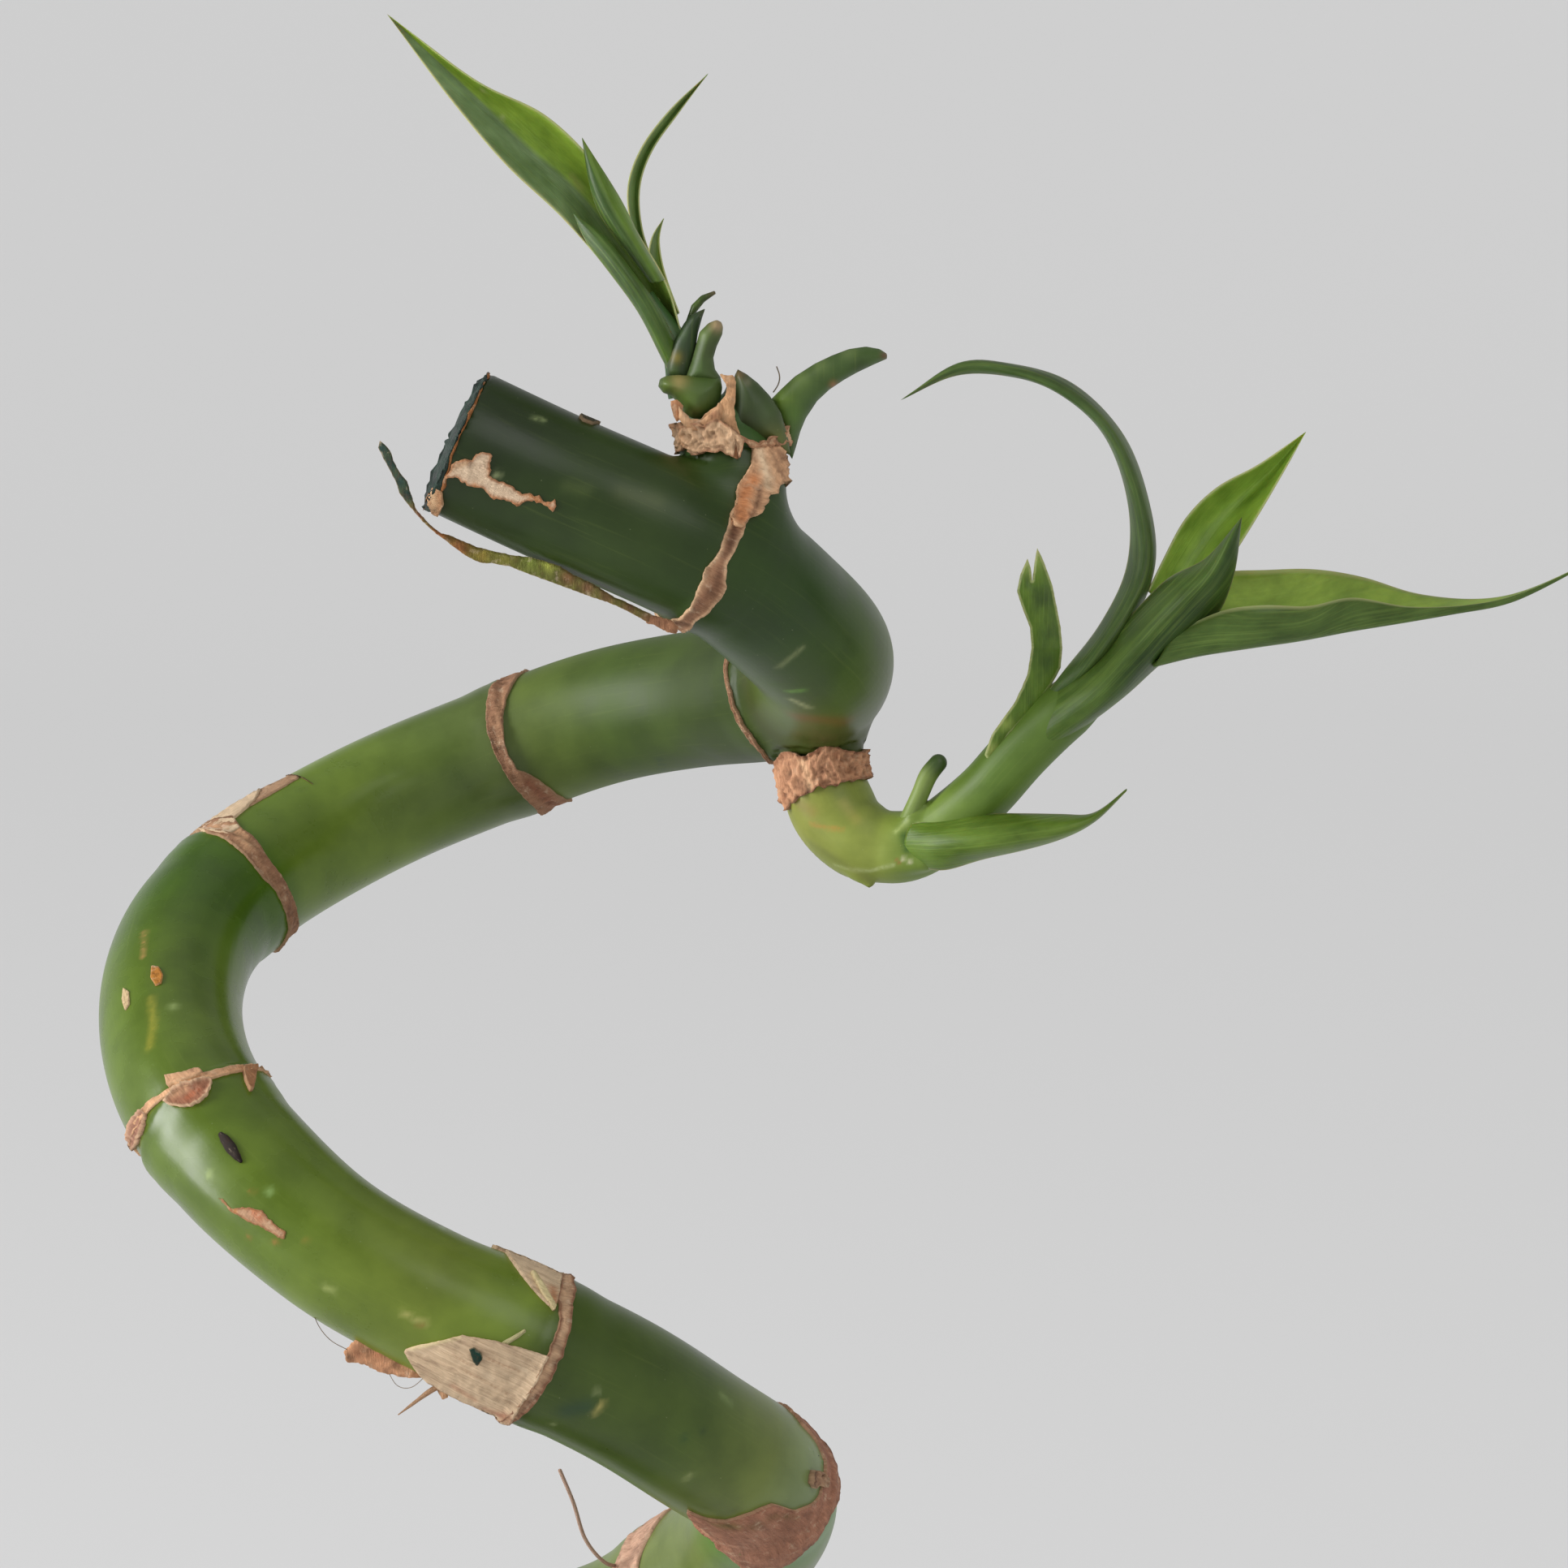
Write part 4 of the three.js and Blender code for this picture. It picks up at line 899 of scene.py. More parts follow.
def patch(shape, surface, outline, tint, seed, lift, rough, curl, stretch, spacing=3.0, jag=1.5, strokes=(),
          fibres=1.0, rim=None):
    """Adds a thin sheet on a skin inside an outline in pixels, crumpled and with raised edges."""
    corners, triangles, gap = filled(outline, spacing, jag, seed)
    base, normal = surface.all_seen([tuple(corner) for corner in corners], stretch)
    crinkle = crumpled(base, 0.5, seed)
    height = np.maximum(lift + rough * crinkle + curl * np.exp(-(gap / 0.22) ** 2), 0.05)
    tints = stroked(np.tile(tint, (len(base), 1)), base, strokes, surface, stretch)
    # Painted shade in the sheet's creases and painted light on its ridges.
    tints = shaded(rimmed(tints, gap, rim), crinkle, min(0.4, 1.6 * rough))
    if surface.path is cane_path:
        s, angle, _ = cane_path.locate(base)
        grain = cane_grain(s * fibres, angle)
    else:
        grain = base * [1, 1, fibres]
    return sandwiched(
        shape, base + normal * height[:, None], base - normal * PATCH_SINK, triangles,
        tint=tints, grain=grain, edge=gap)


def pillow(shape, outline, y, half, tint, seed, rounding, spacing, jag=0.0, waves=0.0, strokes=()):
    """Adds a pad that stands free, with a domed front and back inside an outline in pixels.

    y is the depth of its middle, as a number or a function of the pixel. half is half its thickness,
    rounding how far in from its edge it rounds off. A stroke is a pixel, its size in pixels, its colour
    and its strength.
    """
    corners, triangles, gap = filled(outline, spacing, jag, seed)
    dome = half * np.sqrt(1 - (1 - np.clip(gap / rounding, 0.02, 1)) ** 2)[:, None]
    middle = np.array([spot(u, v, y(u, v) if callable(y) else y) for u, v in corners])
    toward = unit(EYE - middle)
    middle = middle + toward * (waves * lumps(middle, 1.3, seed))[:, None]
    tints = np.tile(tint, (len(middle), 1)).astype(float)
    for pixel, size, colour, strength in strokes:
        tints = mixed(tints, colour, strength * np.exp(-(((corners - pixel) / size) ** 2).sum(-1))[:, None])
    # Wavy pads get painted shade along a pattern of fold lines and painted light between them, as on crumpled
    # paper.
    if waves:
        tints *= np.clip(1 + 0.3 * folds(middle, 0.9, seed + 7), 0.35, 1.4)[:, None]
    return sandwiched(
        shape, middle + toward * dome, middle - toward * dome, triangles, tint=tints, grain=middle, edge=gap)


def finger(shape, points, radii, tint, sides, tip_tint=None):
    """Adds a closed limb with round ends through points, with a radius at each."""
    points = np.asarray(points, float)
    path = Path(points, FINGER_STEP, 2)
    places = distances(points)
    thickness = along(list(zip(places / places[-1] * path.length, radii)))
    straight = np.linspace(0, path.length, max(6, round(path.length / FINGER_STEP)))
    turn = np.linspace(0, math.pi / 2, FINGER_END_RINGS + 1)
    ends = turn[:-1] + turn[1]
    stations = np.concatenate([
        -radii[0] * np.sin(ends[::-1]), straight, path.length + radii[-1] * np.sin(ends)])
    past = np.maximum(-stations / radii[0], (stations - path.length) / radii[-1])
    radius = thickness(stations) * np.sqrt(1 - np.clip(past, 0, 0.998) ** 2)
    angles = round_angles(sides)
    made = path.around(stations[:, None], angles[None], radius[:, None]).reshape(-1, 3)
    share = eased(0.75, 1, np.repeat(stations / path.length, sides))[:, None]
    tints = mixed(np.array(tint), tip_tint or tint, share)
    grain = cylindrical(np.tile(angles, len(stations)), 2, np.repeat(stations, sides))
    faces = capped_faces(len(stations), sides)
    return shape.add(made, faces, tint=tints, grain=grain, edge=np.ones(len(made)))


def seen_finger(shape, stops, tint, sides, tip_tint=None):
    """A finger through (u, v, y, radius) stops, with u, v and radius in pixels."""
    points = [spot(u, v, y) for u, v, y, _ in stops]
    radii = [stop[3] * np.linalg.norm(point - EYE) / FOCAL for point, stop in zip(points, stops)]
    return finger(shape, points, radii, tint, sides, tip_tint)


# ---- Sheath rings -------------------------------------------------------------------------------

RED_BROWN = srgb(141, 105, 80)
DARK_BROWN = srgb(88, 56, 42)
ORANGE_TAN = srgb(196, 132, 88)
TAN = srgb(200, 158, 122)
BEIGE = srgb(212, 188, 156)
STRAW = srgb(222, 208, 158)

# What a ring is like where its own entry doesn't say. A plain band reaches up and down from its node. A
# traced one follows pixels: start is its edge towards the cut top and end the one towards the foot, or line
# is its middle and width its width. reach is how far from its node its pixels may lie. rim is another colour
# along its edges. Strokes are pixels, half width in millimetres, colour and strength. Patches are papery
# sheets that lie over the band.
PLAIN_RING = {
    "up": 0.9, "down": 0.5, "tint": RED_BROWN, "rim": None, "reach": 14, "rows": 11, "torn": 0.16,
    "lift": 0.16, "crinkle": 0.1, "sink": 0.4, "crease_shade": 0.35, "strokes": (), "patches": (),
}
RINGS = [
    {
        "rim": srgb(200, 164, 130),
        "start": [
            (929, 560), (926, 573), (918, 586), (909, 598), (908, 618), (899, 633), (894, 648), (883, 678),
            (873, 701), (863, 722), (853, 742), (841, 756), (815, 764),
        ],
        "end": [
            (961, 568), (974, 580), (954, 595), (949, 610), (936, 630), (915, 645), (911, 670), (896, 699),
            (893, 725), (879, 749), (856, 764), (836, 784), (826, 778),
        ],
        "strokes": [
            ([(905, 650), (896, 690), (878, 725), (850, 752)], 0.35, DARK_BROWN, 0.8),
            ([(900, 640), (888, 680), (868, 722)], 0.25, TAN, 0.6),
            ([(925, 600), (915, 628)], 0.8, ORANGE_TAN, 0.9), ([(820, 765), (836, 778)], 0.5, TAN, 0.7),
        ],
        "patches": [
            {
                "tint": TAN, "seed": 3, "lift": 0.4, "rough": 0.3, "curl": 0.3,
                "outline": [
                    (924, 545), (935, 546), (950, 550), (965, 556), (977, 567), (979, 577), (972, 590),
                    (961, 594), (953, 598), (951, 611), (943, 608), (940, 620), (934, 635), (919, 640),
                    (912, 652), (904, 648), (899, 635), (907, 618), (908, 598), (917, 586), (924, 573),
                    (927, 559),
                ],
                "strokes": [
                    ([(912, 640), (916, 612), (926, 592)], 0.7, ORANGE_TAN, 1),
                    ([(921, 640), (931, 620), (934, 600)], 0.25, DARK_BROWN, 0.7),
                    ([(931, 552), (938, 575), (943, 600)], 0.5, BEIGE, 0.9),
                    ([(955, 560), (968, 572)], 0.5, RED_BROWN, 0.8),
                    ([(974, 572), (977, 580)], 0.35, DARK_BROWN, 1),
                    ([(945, 556), (960, 590)], 0.2, DARK_BROWN, 0.6),
                ],
            },
        ],
    },
    {"line": [(895, 822), (900, 850), (908, 875), (920, 900), (940, 925), (955, 945)], "width": 0.5},
    {
        "start": [
            (646, 824), (635, 839), (627, 856), (621, 876), (620, 894), (621, 912), (627, 931), (637, 948),
            (648, 952), (662, 960), (677, 970), (692, 981), (704, 988),
        ],
        "end": [
            (633, 821), (621, 830), (607, 848), (601, 863), (599, 882), (601, 903), (609, 925), (621, 948),
            (633, 968), (646, 981), (659, 994), (667, 1003),
        ],
        "strokes": [
            ([(622, 850), (613, 880), (615, 915)], 0.3, TAN, 0.6),
            ([(650, 965), (690, 995)], 0.6, srgb(120, 72, 54), 0.8),
        ],
    },
    {
        "start": [
            (287, 1009), (299, 1024), (310, 1032), (321, 1046), (333, 1066), (347, 1084), (359, 1107),
            (364, 1127), (365, 1141),
        ],
        "end": [
            (237, 1024), (254, 1027), (266, 1029), (281, 1038), (293, 1047), (312, 1066), (325, 1084),
            (339, 1099), (350, 1122), (355, 1141),
        ],
        "strokes": [
            ([(262, 1020), (290, 1025), (305, 1042)], 0.9, TAN, 0.9),
            ([(315, 1060), (340, 1095)], 0.3, TAN, 0.5), ([(356, 1120), (361, 1140)], 0.5, DARK_BROWN, 0.6),
        ],
        "patches": [
            {
                "tint": BEIGE, "seed": 6, "lift": 0.18, "rough": 0.08, "curl": 0.1, "jag": 0.8,
                "fibres": 0.3,
                "outline": [
                    (239, 1021), (262, 1009), (285, 995), (305, 983), (322, 974), (314, 988), (298, 1002),
                    (289, 1010), (296, 1022), (282, 1030), (264, 1026), (250, 1025),
                ],
                "strokes": [([(250, 1021), (275, 1020)], 0.5, srgb(214, 170, 150), 0.7)],
            },
            {
                "tint": srgb(176, 142, 112), "seed": 7, "lift": 0.08, "rough": 0.04, "curl": 0.06,
                "jag": 0.6, "spacing": 2.5,
                "outline": [
                    (306, 984), (318, 975), (350, 960), (400, 928), (450, 896), (490, 870), (520, 850),
                    (522, 856), (494, 876), (454, 903), (404, 936), (354, 968), (324, 985), (308, 994),
                ],
            },
        ],
    },
    {
        "width": 0.7, "tint": TAN,
        "line": [
            (158, 1408), (170, 1383), (184, 1364), (204, 1350), (235, 1333), (262, 1326), (300, 1318),
            (322, 1315), (338, 1322),
        ],
        "strokes": [([(285, 1322), (300, 1318)], 0.5, srgb(150, 104, 70), 0.7)],
        "patches": [
            {
                "tint": srgb(150, 104, 80), "seed": 8, "lift": 0.12, "rough": 0.12, "curl": 0.4, "jag": 1.6,
                "rim": srgb(206, 172, 140), "spacing": 2.2,
                "outline": [
                    (204, 1359), (213, 1345), (226, 1337), (246, 1331), (259, 1330), (262, 1335),
                    (257, 1347), (249, 1357), (236, 1364), (223, 1365), (211, 1362),
                ],
                "strokes": [
                    ([(232, 1353), (244, 1344)], 0.35, srgb(176, 100, 68), 0.7),
                    ([(215, 1350), (228, 1344)], 0.4, TAN, 0.7),
                ],
            },
            {
                "tint": TAN, "seed": 9, "lift": 0.35, "rough": 0.1, "curl": 0.2, "jag": 0.6, "spacing": 2.2,
                "outline": [
                    (206, 1328), (220, 1326), (236, 1323), (247, 1321), (251, 1325), (238, 1331),
                    (222, 1336), (209, 1341),
                ],
            },
            {
                "tint": srgb(150, 110, 90), "seed": 10, "lift": 0.15, "rough": 0.12, "curl": 0.35,
                "jag": 1.4, "rim": srgb(190, 150, 124), "spacing": 2.2,
                "outline": [
                    (159, 1409), (161, 1388), (168, 1376), (176, 1367), (181, 1372), (179, 1387),
                    (175, 1400), (170, 1412), (163, 1417),
                ],
            },
            {
                "tint": srgb(172, 124, 88), "seed": 11, "lift": 0.3, "rough": 0.1, "curl": 0.2, "jag": 0.4,
                "spacing": 2.2,
                "outline": [(298, 1318), (315, 1315), (313, 1330), (311, 1345), (307, 1345), (301, 1333)],
            },
        ],
    },
    {
        "tint": srgb(180, 148, 118), "rim": srgb(112, 70, 50),
        "start": [
            (690, 1568), (686, 1600), (689, 1625), (684, 1650), (674, 1672), (652, 1708), (620, 1746),
        ],
        "end": [(704, 1566), (708, 1577), (704, 1616), (694, 1660), (677, 1698), (655, 1730), (635, 1749)],
        "strokes": [
            ([(700, 1660), (676, 1702), (640, 1742)], 0.4, DARK_BROWN, 0.9),
            ([(706, 1575), (704, 1620)], 0.25, srgb(140, 90, 66), 0.7),
            ([(640, 1720), (620, 1742)], 0.7, srgb(150, 98, 76), 0.8),
        ],
        "patches": [
            {
                "tint": BEIGE, "seed": 12, "lift": 0.22, "rough": 0.06, "curl": 0.14, "jag": 0.7,
                "fibres": 0.3,
                "outline": [
                    (609, 1529), (633, 1538), (664, 1558), (695, 1567), (689, 1587), (683, 1616),
                    (662, 1596), (642, 1572), (623, 1545),
                ],
                "strokes": [([(680, 1590), (683, 1612)], 0.5, srgb(170, 110, 70), 0.8)],
            },
            {
                "tint": STRAW, "seed": 13, "lift": 0.5, "rough": 0.05, "curl": 0.1, "jag": 0.3,
                "spacing": 2.0,
                "outline": [(652, 1571), (656, 1571), (670, 1590), (684, 1613), (681, 1616), (666, 1596)],
            },
            {
                "tint": srgb(200, 176, 146), "seed": 14, "lift": 0.2, "rough": 0.08, "curl": 0.12,
                "jag": 0.8, "fibres": 0.25,
                "outline": [
                    (514, 1658), (541, 1652), (570, 1645), (606, 1651), (640, 1660), (676, 1671),
                    (663, 1700), (645, 1728), (627, 1756), (607, 1748), (584, 1733), (552, 1717),
                    (530, 1703), (512, 1684), (499, 1662),
                ],
                "strokes": [
                    ([(508, 1660), (541, 1653), (566, 1647)], 0.2, STRAW, 0.9),
                    ([(600, 1672), (640, 1688)], 0.14, srgb(150, 110, 80), 0.7),
                    ([(570, 1685), (625, 1715)], 0.14, srgb(150, 112, 84), 0.6),
                    ([(560, 1668), (580, 1680)], 0.12, srgb(160, 120, 90), 0.6),
                    ([(600, 1735), (625, 1745)], 0.9, srgb(160, 104, 80), 0.8),
                    ([(585, 1722), (560, 1706)], 0.4, srgb(176, 128, 100), 0.7),
                ],
            },
            {
                "tint": srgb(16, 52, 42), "seed": 15, "lift": 0.42, "rough": 0.05, "curl": 0.0, "jag": 0.6,
                "spacing": 1.8,
                "outline": [
                    (579, 1661), (585, 1659), (594, 1666), (595, 1673), (589, 1681), (584, 1676),
                    (581, 1668),
                ],
            },
        ],
    },
    {
        "tint": srgb(150, 106, 84),
        "start": [
            (986, 1755), (1005, 1777), (1014, 1800), (1012, 1825), (1008, 1842), (996, 1855), (979, 1861),
            (966, 1857), (952, 1852), (936, 1857), (914, 1866), (893, 1872), (871, 1870), (859, 1866),
            (848, 1860),
        ],
        "end": [
            (990, 1753), (1011, 1771), (1027, 1800), (1032, 1836), (1021, 1866), (1005, 1893), (988, 1911),
            (961, 1929), (930, 1938), (900, 1934), (880, 1921), (864, 1905), (854, 1889), (845, 1871),
        ],
        "strokes": [
            ([(980, 1868), (950, 1866), (925, 1880)], 0.35, srgb(84, 76, 36), 0.8),
            ([(885, 1876), (905, 1880)], 0.7, srgb(104, 100, 44), 0.7),
            ([(940, 1885), (900, 1915)], 1.0, srgb(164, 122, 100), 0.7),
            ([(960, 1885), (990, 1880)], 0.5, srgb(112, 76, 58), 0.7),
            ([(1020, 1800), (1026, 1840)], 0.5, srgb(134, 88, 66), 0.7),
        ],
        "patches": [
            {
                "tint": srgb(150, 118, 92), "seed": 16, "lift": 0.45, "rough": 0.2, "curl": 0.1, "jag": 1.0,
                "spacing": 2.2,
                "outline": [
                    (998, 1811), (1008, 1814), (1015, 1822), (1014, 1832), (1004, 1828), (1000, 1834),
                    (995, 1826),
                ],
                "strokes": [([(999, 1813), (997, 1830)], 0.3, srgb(70, 46, 34), 1)],
            },
        ],
    },
    {
        "tint": srgb(186, 150, 128),
        "start": [(832, 1855), (818, 1868), (806, 1885), (794, 1908), (786, 1935)],
        "end": [(815, 1862), (798, 1874), (782, 1890), (768, 1912), (757, 1935)],
    },
    {}, {}, {}, {},  # below the photograph's edge
]
RING_COLUMNS = 220
START_TEARS = (1.4, 0.5, 0.3)  # the size of wide tears, that of fine ones, and their seed's offset
END_TEARS = (1.1, 0.45, 20.7)
HIDDEN_HALF = 0.9  # the most that half a band is wide on the far side


def traced(surface, pixels, place, reach):
    """Pixels as places along a path and angles round it, near a place."""
    low, high = place - reach, place + reach
    points = np.array([surface.seen(u, v, low, high)[0] for u, v in pixels])
    s, angle, _ = surface.path.locate(points, low, high)
    return s, np.unwrap(angle)


def round_about(s, angle, angles):
    """A value at each angle round a path: traced where it was seen, and from one end to the other behind."""
    order = np.argsort(angle)
    s, angle = s[order], angle[order]
    turned_to = (angles - angle[0]) % TURN + angle[0]
    return np.interp(turned_to, np.append(angle, angle[0] + TURN), np.append(s, s[0]))


def ring_edges(surface, place, spec, angles):
    """Where a band starts and ends along its path at each angle round it."""
    reach = spec["reach"]
    if "start" in spec:
        s, angle = traced(surface, spec["start"], place, reach)
        start = round_about(s, angle, angles)
        end = round_about(*traced(surface, spec["end"], place, reach), angles)
        span = (angle.max() - angle.min()) / 2
        off = np.abs((angles - angle.min() - span + math.pi) % TURN - math.pi) - span
        middle, half = (start + end) / 2, (end - start) / 2
        half += (np.minimum(half, HIDDEN_HALF) - half) * eased(0, 0.6, off)
        start, end = middle - half, middle + half
    elif "line" in spec:
        s, angle = traced(surface, spec["line"], place, reach)
        start = round_about(s - spec["width"] / 2, angle, angles)
        end = round_about(s + spec["width"] / 2, angle, angles)
    else:
        start = np.full(len(angles), place - spec["up"])
        end = np.full(len(angles), place + spec["down"])
    return start, np.maximum(end, start + 0.25)


def torn_edge(edge, circle, torn, tears, seed):
    wide, fine, offset = tears
    seed = seed + offset
    return edge + torn * lumps(circle, wide, seed) + 0.5 * torn * lumps(circle, fine, seed + 3)


def ring_shape(surface, seed, place, spec):
    """A papery band round a path, torn at both edges and crumpled, with its patches."""
    spec = {**PLAIN_RING, **spec}
    angles = round_angles(RING_COLUMNS)
    start, end = ring_edges(surface, place, spec, angles)
    plain = surface.radius_at((start + end) / 2)
    circle = cylindrical(angles, plain, 0)
    start = torn_edge(start, circle, spec["torn"], START_TEARS, seed)
    end = torn_edge(end, circle, spec["torn"], END_TEARS, seed)
    end = np.maximum(end, start + 0.2)
    skin = np.array([surface.radius(s, a) for s, a in zip((start + end) / 2, angles)]) - plain
    shares = np.append(np.linspace(0, 1, spec["rows"]), (1, 0))[:, None]  # the last two are its inner face
    s = start + (end - start) * shares
    off_edge = np.minimum(shares, 1 - shares) * (end - start)
    crinkle = crumpled(cylindrical(angles, plain, s).reshape(-1, 3), 0.55, seed + 40.1).reshape(s.shape)
    crinkle[-2:] = 0
    lift = spec["lift"] + spec["crinkle"] * crinkle + 0.12 * np.exp(-(off_edge / 0.16) ** 2)
    lift = np.maximum(lift, 0.04)
    lift[-2:] = -spec["sink"]
    points = surface.path.around(s, angles, surface.radius_at(s) + skin + lift).reshape(-1, 3)
    stretch = (place - spec["reach"], place + spec["reach"])
    tint = stroked(np.tile(spec["tint"], (len(points), 1)), points, spec["strokes"], surface, stretch)
    tint = rimmed(tint, off_edge.ravel(), spec["rim"])
    # Painted shade in the band's creases and painted light on its ridges.
    tint = shaded(tint, crinkle.ravel(), spec["crease_shade"])
    grain = cylindrical(angles, plain, s * 1.2).reshape(-1, 3)
    shape = Shape().add(
        points, joined_faces(len(s), RING_COLUMNS), tint=tint, grain=grain, edge=off_edge.ravel())
    for part in spec["patches"]:
        patch(shape, surface, **{"stretch": stretch, **part})
    return shape


# ---- Scars and specks ---------------------------------------------------------------------------

SCARS = [
    {
        "tint": srgb(214, 190, 162), "seed": 20, "lift": 0.06, "rough": 0.08, "curl": 0.04,
        "stretch": (0, 26), "jag": 2.6, "fibres": 2.5, "rim": srgb(160, 98, 54),
        "outline": [
            (547, 591), (551, 585), (558, 572), (566, 566), (581, 568), (586, 560), (595, 556), (607, 560),
            (604, 571), (606, 580), (601, 586), (613, 592), (630, 597), (638, 606), (653, 609), (665, 611),
            (674, 620), (684, 615), (685, 623), (682, 631), (676, 624), (661, 618), (647, 617), (638, 624),
            (630, 618), (616, 615), (604, 612), (598, 604), (586, 600), (570, 594), (561, 586),
        ],
        "strokes": [
            ([(585, 598), (604, 612), (638, 622), (662, 617), (683, 629)], 0.3, srgb(176, 112, 58), 0.9),
            ([(560, 575), (575, 570)], 0.3, srgb(170, 120, 70), 0.6),
            ([(606, 562), (603, 578)], 0.25, srgb(176, 112, 58), 0.8),
            ([(640, 607), (676, 618)], 0.2, srgb(190, 126, 70), 0.8),
        ],
    },
    {
        "tint": srgb(185, 150, 120), "seed": 21, "lift": 0.05, "rough": 0.06, "curl": 0.0,
        "stretch": (184, 225), "jag": 1.6, "rim": srgb(150, 95, 50), "spacing": 2.4, "fibres": 2.5,
        "outline": [
            (269, 1476), (274, 1477), (284, 1489), (294, 1489), (302, 1487), (316, 1490), (324, 1491),
            (331, 1502), (342, 1511), (352, 1519), (351, 1527), (344, 1525), (334, 1519), (321, 1511),
            (307, 1506), (296, 1499), (286, 1494), (276, 1482),
        ],
        "strokes": [
            ([(312, 1492), (320, 1500)], 0.5, srgb(190, 118, 84), 0.8),
            ([(270, 1476), (290, 1492)], 0.25, srgb(190, 130, 70), 0.8),
        ],
    },
    {
        "tint": srgb(190, 128, 56), "seed": 22, "lift": 0.12, "rough": 0.06, "curl": 0.06,
        "stretch": (142, 184), "jag": 0.6, "spacing": 2.0, "fibres": 2.5,
        "outline": [(187, 1192), (196, 1192), (201, 1202), (199, 1212), (192, 1215), (186, 1206)],
        "strokes": [([(192, 1190)], 0.35, srgb(226, 220, 196), 1)],
    },
    {
        "tint": srgb(206, 182, 140), "seed": 23, "lift": 0.1, "rough": 0.05, "curl": 0.05,
        "stretch": (142, 184), "jag": 0.6, "spacing": 2.0, "fibres": 2.5,
        "outline": [(153, 1218), (159, 1222), (160, 1238), (155, 1245), (151, 1232)],
    },
    {
        "tint": srgb(176, 132, 96), "seed": 24, "lift": 0.16, "rough": 0.08, "curl": 0.1,
        "stretch": (0, 14), "jag": 0.8, "spacing": 2.2, "fibres": 2.5,
        "outline": [(529, 604), (538, 600), (545, 606), (547, 622), (541, 634), (533, 630), (529, 618)],
        "strokes": [([(534, 608), (536, 626)], 0.4, srgb(210, 178, 140), 0.8)],
    },
    {
        "tint": srgb(190, 150, 110), "seed": 25, "lift": 0.12, "rough": 0.08, "curl": 0.1,
        "stretch": (0, 14), "jag": 0.8, "spacing": 2.2, "fibres": 2.5,
        "outline": [(588, 453), (597, 452), (600, 457), (592, 466), (586, 468), (584, 460)],
    },
    {
        "tint": srgb(58, 56, 38), "seed": 26, "lift": 0.3, "rough": 0.05, "curl": 0.0, "stretch": (0, 26),
        "jag": 0.5, "spacing": 2.2,
        "outline": [(713, 514), (722, 510), (734, 513), (740, 521), (730, 524), (717, 519)],
    },
]
SPINE = [  # the dark seed's middle line: pixels and radii in pixels
    (273, 1399, 3.5), (278, 1405, 6), (285, 1415, 7), (292, 1425, 5), (297, 1431, 2.5),
]
TORN_STRIP = {
    "half": 0.25, "tint": srgb(184, 136, 102), "seed": 30, "rounding": 0.5, "spacing": 2.6, "jag": 1.6,
    "waves": 0.35,
    "outline": [
        (446, 1642), (463, 1652), (480, 1657), (500, 1663), (518, 1670), (532, 1680), (536, 1690),
        (528, 1697), (504, 1698), (473, 1692), (448, 1681), (427, 1678), (423, 1666), (432, 1656),
    ],
    "strokes": [
        ((466, 1668), 8, srgb(150, 96, 66), 0.7), ((440, 1668), 8, srgb(120, 78, 54), 0.7),
        ((500, 1684), 10, srgb(200, 150, 112), 0.6), ((430, 1672), 5, srgb(80, 60, 44), 0.7),
    ],
}
STRIP_TAIL = {
    "y": -23.4, "half": 0.2, "tint": srgb(150, 108, 80), "seed": 32, "rounding": 0.4, "spacing": 2.2,
    "jag": 1.0, "waves": 0.15,
    "outline": [
        (794, 754), (812, 760), (826, 764), (836, 772), (834, 782), (822, 779), (808, 771), (796, 768),
    ],
}
STUB = {
    "y": -35.6, "half": 0.3, "tint": srgb(196, 154, 118), "seed": 31, "rounding": 0.5, "spacing": 2.2,
    "jag": 0.6, "waves": 0.1,
    "outline": [(540, 1694), (553, 1700), (556, 1708), (552, 1722), (545, 1725), (540, 1716), (535, 1705)],
}
SPLINTERS = [  # each one's (u, v, y, radius) stops and its tint
    (
        [(548, 1704, -35.6, 4), (530, 1714, -35.8, 3.4), (511, 1728, -36.1, 2.2), (491, 1743, -36.5, 0.8)],
        srgb(205, 165, 130),
    ),
    (
        [(606, 1664, -40.4, 3), (622, 1655, -40.9, 3.4), (636, 1647, -41, 3), (646, 1640, -41, 2.2)],
        srgb(196, 190, 140),
    ),
]
HAIRS = [  # each one's (u, v, y) stops, its radius in pixels and its tint
    (
        [(430, 1664, -35.6), (408, 1652, -35.2), (394, 1636, -34.6), (384, 1614, -34)],
        0.5, srgb(150, 130, 108),
    ),
    (
        [(478, 1690, -36), (490, 1708, -36.2), (506, 1710, -36.3), (526, 1694, -36.4)],
        0.45, srgb(170, 150, 128),
    ),
    (
        [(690, 1812, 2), (706, 1850, 2), (722, 1898, 3), (745, 1925, 4), (772, 1930, 8)],
        2.4, srgb(204, 172, 152),
    ),
    ([(953, 483, -14), (959, 474, -14), (961, 464, -14), (957, 452, -14)], 0.8, srgb(180, 164, 140)),
    ([(612, 662, -19), (596, 656, -20), (580, 648, -21)], 0.3, srgb(150, 130, 108)),
]


def torn_strip_y(u, v):
    """The torn strip leans forward to its right end."""
    return -36.0 - 0.01 * (u - 480)


def scars_shape(surface):
    """The scars and pale specks in the skin."""
    scars = Shape()
    for spec in SCARS:
        patch(scars, surface, **spec)
    return scars


def dry_bits_shape():
    """What stands off the cane: a torn strip, its stub and splinters, the tail of a strip, and hairs."""
    bits = Shape()
    pillow(bits, y=torn_strip_y, **TORN_STRIP)
    pillow(bits, **STUB)
    for stops, tint in SPLINTERS:
        seen_finger(bits, stops, tint, sides=14)
    pillow(bits, **STRIP_TAIL)
    for route, radius, tint in HAIRS:
        seen_finger(bits, [(*stop, radius) for stop in route], tint, sides=8)
    return bits


